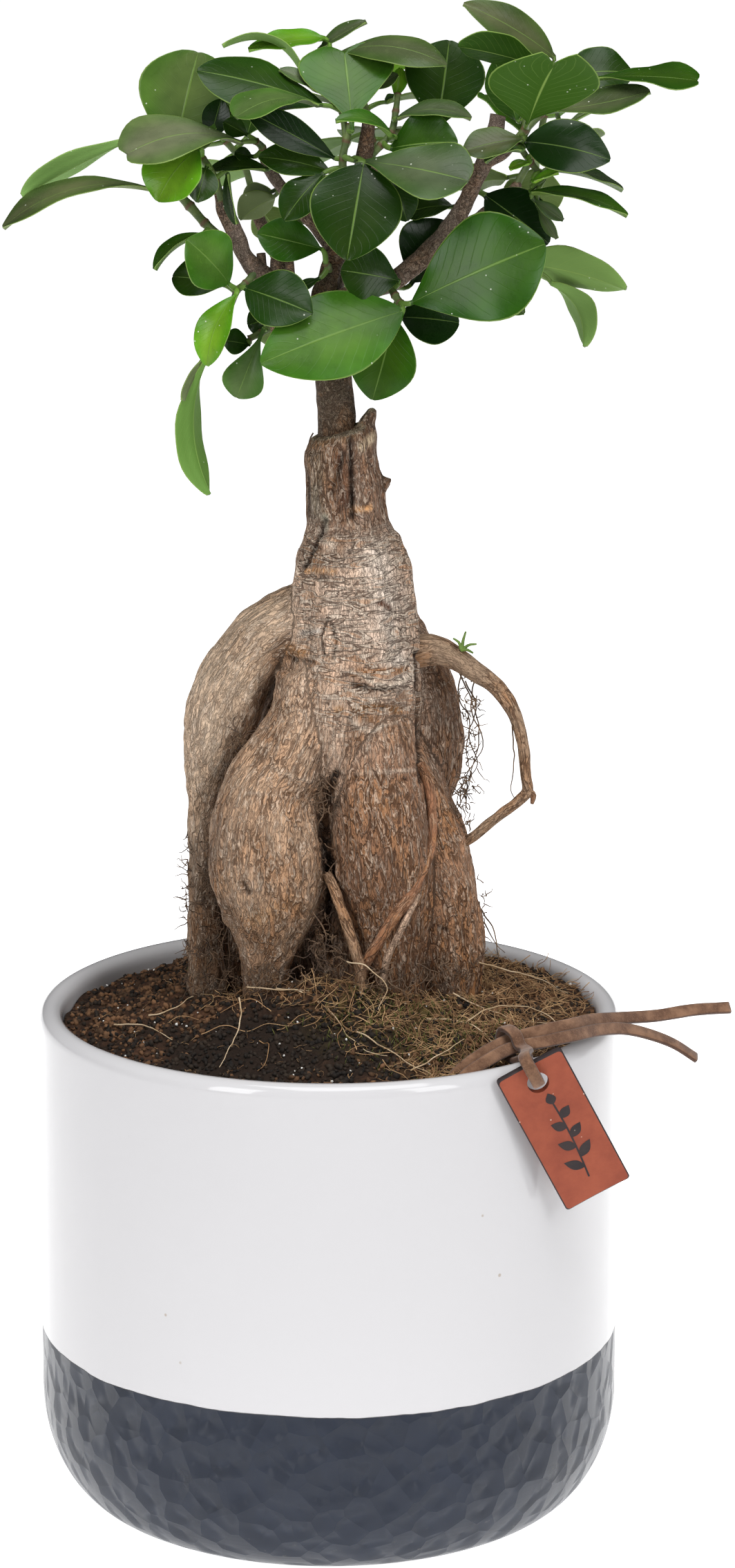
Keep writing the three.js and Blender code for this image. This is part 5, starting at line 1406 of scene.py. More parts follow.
THIN_ROOTS: Mapping[str, Limb] = {
    "arched": Limb((
        (17, 209, 1, 4.3), (24.5, 210.2, 0, 3.8), (29, 208.8, -1, 3.1), (33, 206.2, -2, 2.6),
        (37, 203.5, -3, 2.3), (40.5, 200.6, -3, 2), (43.4, 196.5, -4, 1.8), (45.4, 191.5, -4, 1.5),
        (46.8, 185, -5, 1.35),
        (47.3, 179, -5, 1.3), (47.6, 175.5, -5, 1.4), (45.6, 173, -5, 1.35), (42, 170.3, -4, 1.3),
        (38, 167, -3, 1.25), (34.5, 164, -2, 1.2), (29, 160.5, -1, 1.1),
    ), tone=(0.36, 0.25, 0.165), wear=(0.2, 0.7, 0.1)),
    "arched_spur": Limb(((46.8, 176, -5, 1.2), (49, 174.6, -5, 0.8), (48.8, 172.4, -5, 0.35)),
                        tone=BROWN_BARK),
    "creeping": Limb((
        (22, 182, -5.5, 1.3), (23.7, 178, -8.5, 1.3), (24.7, 172, -10.5, 1.2), (24.8, 165, -11.5, 1.3),
        (24, 160, -13.5, 1.4), (22, 155, -16, 1.4), (19.5, 149.5, -18.3, 1.4), (16, 144.5, -19.6, 1.4),
        (12.5, 138.5, -19.2, 1.3), (9.5, 133.5, -18, 1.3), (7.5, 128, -17.5, 1.2), (7, 120, -17, 1),
    ), tone=(0.34, 0.16, 0.085), wear=(0.0, 0.8, 0.0)),
    "creeping_second": Limb((
        (21.5, 150, -16.2, 0.9), (19, 144.5, -18.9, 0.9), (16.5, 139, -19, 0.9), (14.5, 135, -18.6, 0.9),
        (13, 128, -18.1, 0.8),
    ), tone=GREY_BARK, wear=(0.5, 0.1, 0.0)),
    "prop": Limb((
        (-0.5, 155, -13, 1.2), (1.5, 150.5, -15.5, 1.3), (3.5, 144.5, -18, 1.3), (5.5, 138.5, -19, 1.3),
        (7.2, 132.5, -19.5, 1.3), (8, 126, -19, 1.2), (8, 119, -18, 1),
    ), tone=(0.36, 0.22, 0.13), wear=(0.0, 0.5, 0.0)),
}

WOOD: Mapping[str, Limb] = {
    "stem": Limb((
        (2, 258, 0, 4.7), (1.7, 268, 0, 4.5), (1, 276, 0, 4.3), (-0.8, 286, 0, 3.7), (-1.2, 294, 0, 3.1),
        (0.2, 300, 0, 2.6), (2, 306, 0, 2.4), (4, 313, 0, 2.3), (5.6, 319, 0, 2.2), (7.5, 324, 0, 2),
        (8.6, 330, 0, 1.9), (9.4, 336, 0, 1.5)), tone=STEM_BARK),
    "left": Limb((
        (-1, 290, 1, 2.6), (-8, 294, 0, 2.5), (-13, 298, -1, 2.5), (-17, 301, -2, 2.3), (-20, 305, -3, 1.9),
        (-22, 310, -3, 2), (-24.2, 315, -3, 2), (-25.3, 319.6, -3, 1.5)), tone=TWIG_BARK),
    "left_stub_a": Limb(((-15.5, 300, -1, 1.4), (-16, 304.9, -1, 1.1)), tone=TWIG_BARK),
    "left_stub_b": Limb(((-12.5, 298, -1, 1.4), (-12.7, 303.8, -1, 1)), tone=TWIG_BARK),
    "left_stub_c": Limb(((-8.5, 294.5, 0, 1.2), (-9.2, 303.2, 0, 0.9)), tone=TWIG_BARK),
    "right": Limb((
        (-1, 292, 0, 2.6), (8, 296, -1, 2.5), (15, 298.5, -1, 2.4), (22, 304, -1, 2.3),
        (28, 310.5, -1, 2.2),
        (31.5, 316, -1, 2), (34, 321.5, -1, 1.9), (36.5, 327, -1, 2), (38.3, 332, -1, 2),
        (39.4, 337, -1, 1.9)), tone=TWIG_BARK),
    "right_fork": Limb(((36.5, 326, -1, 1.6), (40, 327.8, -2, 1.3), (43, 330.6, -3, 1.2)), tone=TWIG_BARK),
    "middle": Limb((
        (2, 305, 0, 1.7), (-4, 312, 4, 1.6), (-10, 319, 5, 1.5), (-14, 324.5, 4, 1.3), (-15, 327, 3, 1.2),
    ), tone=TWIG_BARK),
    "low_left": Limb(((-1, 288, 0, 1.6), (-8, 289.2, -1, 1.4), (-14, 287.6, -2, 1.2)), tone=TWIG_BARK),
    "back": Limb(((0, 295, 0, 2.2), (4, 303, 9, 2), (7, 312, 18, 1.9), (9, 321, 24, 1.8),
        (10, 327, 26, 1.6)),
                 tone=TWIG_BARK),
    "back_left": Limb((
        (-6, 293.5, 1, 1.8), (-10, 300, 9, 1.5), (-14, 308, 17, 1.4), (-17, 315, 22, 1.3),
        (-18, 320, 25, 1.2)), tone=TWIG_BARK),
    "back_right": Limb(((27, 309.5, 0, 1.7), (33, 312, 8, 1.5), (40, 317, 16, 1.3), (44, 321, 21, 1.2)),
                       tone=TWIG_BARK),
    "back_low": Limb(((-0.5, 283, 1, 1.8), (-2, 287, 8, 1.5), (-4.5, 290.5, 14, 1.2)), tone=TWIG_BARK),
}


@dataclass(frozen=True)
class Mark:
    """A mark on the bark as seen from the front, along a route of (x, z): a crack, a scar, a patch, a painted
    shadow or a painted highlight.
    """

    route: Sequence[Pair]
    radius: float
    tone: Point
    rise: float = 0.0
    cover: float = 1.0


GRAIN_RUN_SHIFT = 37.0
GRAIN_SIDE_SHIFT = 11.0
THIN_RUN_SHIFT = 31.0
THIN_SIDE_SHIFT = 13.0
MARK_DEPTH = -12.0
SAWN_TONE: Point = (0.36, 0.29, 0.20)
SAWN_SLANT = 0.24
SAWN_MIDDLE = 2.0
BLACK: Point = (0.035, 0.020, 0.013)
SOOT: Point = (0.085, 0.050, 0.032)
CHESTNUT: Point = (0.170, 0.090, 0.055)
OCHRE: Point = (0.600, 0.310, 0.130)
BUFF: Point = (0.850, 0.700, 0.560)
CHALK: Point = (0.850, 0.750, 0.650)
MARKS: Sequence[Mark] = (
    Mark(((-6, 236), (-2, 233), (3, 236), (8, 241.5)), 3.4, (0.23, 0.15, 0.10), cover=0.8),
    Mark(((-2.9, 259), (-2.9, 246)), 1.9, (0.25, 0.20, 0.14), 0.25),
    Mark(((2.6, 258.5), (3.4, 247)), 1.5, (0.19, 0.085, 0.048), -0.3, 0.9),
    Mark(((8.5, 258), (9, 246)), 2.8, (0.27, 0.16, 0.105), 0.1, 0.8),
    Mark(((-4.6, 262.6), (6, 263.2)), 1.1, (0.34, 0.20, 0.11), 0.2),
    Mark(((5, 262.5), (5.3, 252), (5.4, 244.5)), 0.6, BLACK, -1.5),
    Mark(((3.3, 259.5), (1.8, 254), (0.6, 250)), 0.5, BLACK, -0.7),
    Mark(((-6.6, 262), (-6.2, 257), (-5.2, 250), (-5.4, 245)), 0.9, SOOT, -0.6),
    Mark(((-1, 243.6), (-3, 238.5), (-5.6, 232.5)), 0.6, BLACK, -1),
    Mark(((7.6, 260.6), (10.2, 262)), 1, (0.55, 0.42, 0.28), 0.5),
    Mark(((5.5, 246.3), (9.2, 246.6)), 0.7, OCHRE, 0.3),
    Mark(((-1.6, 238.9), (0.7, 238.3)), 0.9, BUFF, 0.3),
    Mark(((-1, 244.6), (-0.6, 241.6)), 0.8, (0.40, 0.37, 0.28), 0.3),
    Mark(((-5, 231.8), (1.2, 231.4)), 0.7, OCHRE, 0.2),
    Mark(((-2, 230.2), (2, 230)), 0.4, BLACK, -0.5),
    # Painted sheen: the pale right side of the trunk, where the light catches it.
    Mark(((9.5, 237), (13, 231), (14, 223), (16.5, 214), (17.5, 208)), 4.6, CHALK, 0.1, 0.75),
    Mark(((2, 226), (6, 216)), 4.5, (0.78, 0.62, 0.50), 0, 0.6),
    Mark(((12, 224.2), (14.2, 223)), 0.8, (0.22, 0.10, 0.06), -0.4),
    Mark(((-5, 223), (-6, 214)), 2.6, (0.56, 0.41, 0.31), 0, 0.6),
    Mark(((-9, 213.2), (-6.4, 212)), 1.4, (0.56, 0.27, 0.10), 0.6),
    Mark(((-9.4, 211), (-7.6, 210.4)), 0.5, BLACK, -0.6),
    Mark(((-5.6, 210), (-3.4, 209.8)), 0.4, SOOT, -0.3),
    Mark(((-0.3, 220), (-1.9, 216), (-1, 211.5), (0.9, 210.4), (1.8, 214), (0.8, 218.6), (-0.3, 220)),
         0.35, SOOT, -0.5),
    Mark(((-6, 216.8), (-2.5, 217.2)), 0.6, CHALK, 0.4),
    Mark(((5.8, 207.2), (12, 207.4), (18, 208)), 0.9, (0.52, 0.25, 0.11), -0.2),
    Mark(((5.2, 207.6), (8.5, 206.4), (11, 204.3), (15.5, 204.2), (18.8, 206.4), (19.2, 208.6)),
         0.55, BUFF, 0.9),
    # Painted shadow under the rim of the peeling bark, in its hollow and along its edge.
    Mark(((6, 204.3), (8.8, 203.5)), 0.7, BLACK, -0.9),
    Mark(((10.2, 203.2), (15, 203.3)), 0.4, BLACK, -0.6),
    Mark(((8, 201.4), (10.6, 199.6), (14.5, 202.2)), 1.2, (0.80, 0.58, 0.43), 0.4),
    Mark(((6.5, 198.4), (12, 199), (16.5, 198.2)), 0.9, (0.58, 0.29, 0.12), -0.2),
    Mark(((5, 196), (7.4, 193.4), (10.4, 192.9), (12.6, 194.5), (15.6, 195.2)), 0.5, BUFF, 0.8),
    Mark(((7.6, 196.4), (11.2, 195.4)), 1, (0.50, 0.26, 0.13), -0.3),
    Mark(((2, 198.3), (2.4, 198.2)), 0.9, OCHRE, 0.5),
    Mark(((12.6, 198.4), (13, 198.4)), 0.5, BLACK, -0.6),
    # Painted shade along the crevice where the trunk meets the swelling behind it.
    Mark(((21, 212), (20.8, 200), (21.3, 190), (21.6, 181)), 0.55, BLACK, -1),
    Mark(((24.5, 205), (26, 196), (25.5, 184)), 4, (0.27, 0.185, 0.135), 0, 0.7),
    Mark(((6.5, 182.8), (12, 183), (20, 183.6)), 0.5, BUFF, 0.4, 0.45),
    Mark(((7, 175.6), (12, 176.5), (16.8, 177.8)), 0.4, BUFF, 0.35, 0.45),
    Mark(((-14, 184.6), (-9, 182), (-4, 180.6)), 0.5, BUFF, 0.5, 0.4),
    Mark(((-19, 178), (-12, 177.3), (-7, 176.6)), 0.4, BUFF, 0.3, 0.4),
    # Painted shade in the crevice between the front bulb and the centre root.
    Mark(((1.5, 182.5), (0, 178), (-1.2, 172), (-0.6, 164), (0.6, 157), (0, 151), (-1, 145),
          (0.5, 138)), 1.1, BLACK, -0.9),
    Mark(((5.8, 181.4), (6.2, 181.4)), 0.8, SOOT, -0.4),
    Mark(((17.8, 181.3), (18.2, 181.3)), 0.6, CHESTNUT, -0.4),
    Mark(((-18, 147), (-13, 148.5), (-9, 151)), 2.4, (0.55, 0.32, 0.17), 0, 0.8),
    Mark(((-25, 157), (-26, 153)), 1.6, (0.55, 0.32, 0.17), 0, 0.8),
    Mark(((12, 152), (15, 142), (19, 132)), 5, (0.19, 0.090, 0.045), 0, 0.7),
    Mark(((-20.6, 156), (-19, 153.4)), 0.5, SOOT, -0.6),
    Mark(((26.4, 144.6), (28.4, 144.2)), 0.7, SOOT, -0.5),
    # Painted shade on the inner side of the left root, in the crevice next to the bulb.
    Mark(((-11, 214), (-14, 206), (-18, 198), (-23, 190), (-26, 183)), 2.2,
         (0.14, 0.085, 0.052), 0, 0.85),
    Mark(((-27, 176), (-28, 160), (-28, 140)), 3.2, (0.27, 0.175, 0.115), 0, 0.8),
    Mark(((-31, 162), (-30, 145), (-29, 128)), 4.5, (0.110, 0.065, 0.038), 0, 0.75),
    Mark(((-21, 132), (-15, 128), (-10, 132)), 4, (0.150, 0.080, 0.042), 0, 0.6),
    Mark(((6, 136), (16, 130), (26, 130), (34, 134)), 5, (0.150, 0.075, 0.038), 0, 0.65),
    Mark(((9, 176), (12, 160), (16, 146)), 4, (0.200, 0.100, 0.055), 0, 0.5),
    # Painted light on the upper left of the left root, the side that faces the light.
    Mark(((-32.5, 204), (-32, 190), (-30, 196)), 4.5, (0.80, 0.62, 0.46), 0, 0.5),
)


@dataclass
class Trunk:
    """The swollen roots and trunk as one skin, the thin roots, and the grafted wood."""

    voxel: float = 0.665
    samples: int = 60
    batch: int = 4000
    blend: float = 1.6
    neck_height: float = 236.0
    neck_fade: float = 7.0
    neck_tone: Point = (0.215, 0.122, 0.075)
    foot_height: float = 158.0
    foot_fade: float = 30.0
    foot_tone: Point = (0.30, 0.150, 0.075)
    foot_share: float = 0.6
    plates_height: float = 184.0
    plates_fade: float = 14.0
    sawn_height: float = 258.0
    sawn_fade: float = 4.0
    thin_bark: BarkFinish = BarkFinish("root_bark", 0.25, 0.0005, pale=(0.55, 0.38, 0.26))
    twig_bark: BarkFinish = BarkFinish("twig_bark", 0.9, 0.0005, pale=(0.30, 0.235, 0.175),
                                       groove=(0.03, 0.018, 0.012))

    def skin(self) -> bpy.types.Object:
        """Fuses the thick roots into one mesh."""
        pile = MeshPile()
        for limb in ROOTS.values():
            points, faces = loft(limb.rings(48, 40))
            pile.add(points, faces)
        lump = pile.build("trunk_lump", [])
        remesh = lump.modifiers.new("skin", "REMESH")
        remesh.mode = "VOXEL"
        remesh.voxel_size = self.voxel * MM
        soften = lump.modifiers.new("soften", "SMOOTH")
        soften.factor, soften.iterations = 0.5, 7
        mesh = bpy.data.meshes.new_from_object(lump.evaluated_get(bpy.context.evaluated_depsgraph_get()))
        bpy.data.objects.remove(lump)
        return add_object("trunk_bark", mesh)

    def grain(self, points: Array) -> Tuple[Array, Array, Array]:
        """Reads where each point lies along its nearest root.

        Args:
            points: Places in millimetres.

        Returns:
            Its place in the grain, its tone and its wear, one row each.
        """
        limbs = list(ROOTS.values())
        rows = []
        for number, limb in enumerate(limbs):
            line = limb.line(self.samples)
            rows.append((line, limb.halves(self.samples).mean(axis=1), *limb.frames(line),
                         distances(line) + GRAIN_RUN_SHIFT * number, np.full(self.samples, number)))
        centre, half, way, side, depth, run, owner = (np.concatenate(column) for column in zip(*rows))
        grain, tone, wear = (np.zeros_like(points) for _ in range(3))
        tones = np.array([limb.tone for limb in limbs])
        wears_and_shades = np.array([limb.wear for limb in limbs])
        for start in range(0, len(points), self.batch):
            part = slice(start, start + self.batch)
            offset = points[part, None] - centre[None]
            reach = np.linalg.norm(offset, axis=2) - half[None]
            best = reach.argmin(axis=1)
            nearest = offset[np.arange(len(best)), best]
            grain[part] = np.column_stack((
                np.sum(nearest * side[best], axis=1) + GRAIN_SIDE_SHIFT * owner[best],
                np.sum(nearest * depth[best], axis=1), run[best] + np.sum(nearest * way[best], axis=1)))
            closest = np.column_stack([reach[:, owner == number].min(axis=1) for number in range(len(limbs))])
            weight = np.exp(-closest / self.blend)
            weight /= weight.sum(axis=1, keepdims=True)
            tone[part] = weight @ tones
            wear[part] = weight @ wears_and_shades
        return grain, tone, wear

    def weather(self, points: Array, tone: Array, wear: Array) -> None:
        """Darkens the neck, darkens and reddens the feet towards the soil, and keeps the cracked plates above
        them, in place.
        """
        height = points[:, 2]
        neck = np.clip((height - self.neck_height) / self.neck_fade, 0, 1)[:, None]
        tone[:] = tone * (1 - neck) + np.array(self.neck_tone) * neck
        foot = np.clip((self.foot_height - height) / self.foot_fade, 0, 1)[:, None]
        tone[:] = tone * (1 - self.foot_share * foot) + np.array(self.foot_tone) * self.foot_share * foot
        wear[:, 1] = np.clip(wear[:, 1] + 0.35 * foot[:, 0], 0, 1)
        whole = np.clip((height - self.plates_height) / self.plates_fade, 0, 1) * (1 - 0.8 * neck[:, 0])
        wear[:, 0] *= np.where(wear[:, 0] > 0, whole, 1)

    def mark(self, points: Array, normals: Array, tone: Array, wear: Array) -> Array:
        """Lays the marks that show from the front on the bark, in place.

        Args:
            points: The vertices in millimetres.
            normals: Their normals.
            tone: Their tints.
            wear: Their wear, and painted shade where they lie deep in a crevice.

        Returns:
            How far each vertex rises, in millimetres.
        """
        reach = (EYE_DISTANCE + MARK_DEPTH) / (EYE_DISTANCE + points[:, 1])
        seen = np.column_stack((points[:, 0] * reach, EYE_HEIGHT + (points[:, 2] - EYE_HEIGHT) * reach))
        ragged = 1 + 0.4 * noise_at(points, 1.6, 6.0)
        front = np.clip(-3 * normals[:, 1], 0, 1) + np.clip(2 * normals[:, 2], 0, 1) * (points[:, 1] < 0)
        front = np.clip(front, 0, 1)
        rise = np.zeros(len(points))
        for mark in MARKS:
            route = np.array(mark.route, dtype=float)
            distance = np.full(len(points), np.inf)
            for start, end in zip(route, route[1:] if len(route) > 1 else route):
                run = end - start
                share = np.clip((seen - start) @ run / max(float(run @ run), 1e-9), 0, 1)
                distance = np.minimum(distance, np.linalg.norm(seen - start - share[:, None] * run, axis=1))
            sharpness = 2 if mark.radius > 1.5 else 4
            weight = np.exp(-(distance * ragged / mark.radius) ** sharpness) * front
            share = (weight * mark.cover)[:, None]
            tone[:] = tone * (1 - share) + np.array(mark.tone) * share
            rise += mark.rise * weight
            # A sunk mark also gets painted shade, as if deep in a crevice.
            if mark.rise < 0:
                wear[:, 2] = np.clip(wear[:, 2] + 0.75 * weight * min(1.0, -mark.rise), 0, 1)
        return rise

    def bark(self) -> None:
        """Builds the thick skin with its grain, relief and marks."""
        made = self.skin()
        mesh = made.data
        points = np.empty(len(mesh.vertices) * 3)
        mesh.vertices.foreach_get("co", points)
        points = points.reshape(-1, 3) / MM
        normals = np.empty(len(points) * 3)
        mesh.vertex_normals.foreach_get("vector", normals)
        normals = normals.reshape(-1, 3)
        grain, tone, wear = self.grain(points)
        self.weather(points, tone, wear)
        folds = noise_at(grain * (1, 1, 0.2), 4.2, 1.0)
        ribs = np.abs(noise_at(grain * (1, 1, 0.27), 2.2, 2.0))
        fine = noise_at(grain * (1, 1, 0.4), 1.1, 4.0)
        dents = noise_at(points, 9.0, 3.0)
        tone *= (1 + 0.22 * noise_at(points, 6.0, 8.0) + 0.3 * np.clip(folds, -0.6, 0.3))[:, None]
        relief = 0.4 * folds + 0.9 * (ribs - 0.25) + 0.2 * fine + 0.5 * dents
        relief += self.mark(points, normals, tone, wear)
        sawn = np.clip((points[:, 2] - self.sawn_height) / self.sawn_fade, 0, 1)
        top = (sawn * (normals[:, 2] > 0.55))[:, None]
        tone[:] = tone * (1 - top) + np.array(SAWN_TONE) * top
        relief *= 1 - 0.6 * sawn
        points = points + normals * relief[:, None]
        points[:, 2] += SAWN_SLANT * (points[:, 0] - SAWN_MIDDLE) * sawn
        mesh.vertices.foreach_set("co", (points * MM).ravel())
        for name, rows in (("grain", grain), ("wear", wear)):
            mesh.attributes.new(name, "FLOAT_VECTOR", "POINT").data.foreach_set("vector", rows.ravel())
        layer = mesh.attributes.new("bark_tone", "FLOAT_COLOR", "POINT")
        layer.data.foreach_set("color", np.column_stack((np.clip(tone, 0, 1), np.ones(len(tone)))).ravel())
        mesh.polygons.foreach_set("use_smooth", [True] * len(mesh.polygons))
        mesh.materials.append(BarkFinish().material())
        mesh.update()
        dress(made, "trunk", "trunk")

    def limbs(self, name: str, table: Mapping[str, Limb], knots: float, finish: BarkFinish,
              density: float, sides: int = 18) -> None:
        """Builds thin limbs as lofts with their own grain.

        Args:
            name: The name of the piece.
            table: Its limbs.
            knots: How far their surface wanders, in millimetres.
            finish: Their bark.
            density: How many rings there are to the millimetre.
            sides: How many points there are to a ring.
        """
        pile = MeshPile()
        for number, limb in enumerate(table.values()):
            length = distances(limb.line(30))[-1]
            count = max(8, int(length * density))
            points, faces = loft(limb.rings(count, sides, knots, float(number)))
            line = limb.line(count)
            _, side, depth = limb.frames(line)
            owner = np.append(np.repeat(np.arange(count), sides), (0, count - 1))
            offset = points - line[owner]
            run = np.linspace(0, length, count)[owner]
            grain = np.column_stack((np.sum(offset * side[owner], axis=1) + THIN_SIDE_SHIFT * number,
                                     np.sum(offset * depth[owner], axis=1), run + THIN_RUN_SHIFT * number))
            pile.add(points, faces, grain=grain, bark_tone=np.tile(limb.tone, (len(points), 1)),
                     wear=np.tile(limb.wear, (len(points), 1)))
        dress(pile.build(name, [finish.material()]), "trunk", "trunk")

    def build(self) -> None:
        """Builds the trunk's pieces."""
        self.bark()
        self.limbs("trunk_thin_roots", THIN_ROOTS, 0.22, self.thin_bark, 1.4)
        self.limbs("trunk_wood", WOOD, 0.3, self.twig_bark, 1.2)


class Look(Enum):
    """How a leaf is coloured: the tone of its upper side and of its back."""

    DEEP = ((0.006, 0.020, 0.003), (0.045, 0.080, 0.018))
    DARK = ((0.015, 0.038, 0.003), (0.070, 0.120, 0.025))
    MID = ((0.029, 0.079, 0.005), (0.095, 0.175, 0.035))
    FRESH = ((0.059, 0.138, 0.015), (0.115, 0.220, 0.040))
    BRIGHT = ((0.130, 0.290, 0.016), (0.180, 0.360, 0.032))
    # Painted sheen: the upper tone holds the grey of light reflected from upward faces.
    GREY = ((0.080, 0.104, 0.046), (0.140, 0.190, 0.080))
    DUSK = ((0.088, 0.150, 0.040), (0.085, 0.120, 0.045))
    # Painted sheen: the upper tone holds a grey-green sheen of top light.
    SHEEN = ((0.130, 0.155, 0.086), (0.120, 0.150, 0.080))
    OLIVE = ((0.055, 0.105, 0.018), (0.024, 0.072, 0.003))
    PALE = ((0.080, 0.125, 0.034), (0.165, 0.285, 0.070))


@dataclass(frozen=True)
class Leaf:
    """One leaf. base and tip are sight readings, face is where its upper side looks."""

    base: Point
    tip: Point
    width: float
    face: Point
    arch: float = 1.2
    fold: float = 0.8
    fullness: float = 1.25
    heart: float = 0.0
    look: Look = Look.DARK


@dataclass(frozen=True)
class Shoot:
    """One leafy shoot: green twigs as lines of (x, z, y, radius), and the leaves on them."""

    twigs: Sequence[Sequence[Station]]
    leaves: Sequence[Leaf]


D, M, F, B, G = Look.DARK, Look.MID, Look.FRESH, Look.BRIGHT, Look.GREY
U, O, P, K, S = Look.DUSK, Look.OLIVE, Look.PALE, Look.DEEP, Look.SHEEN


def leaf(look: Look, base: Point, tip: Point, width: float, face: Point, *shape: float) -> Leaf:
    """Names a leaf's look first and its shape last, as arch, fold, fullness and heart."""
    names = ("arch", "fold", "fullness", "heart")
    return Leaf(base, tip, width, face, look=look, **dict(zip(names, shape)))


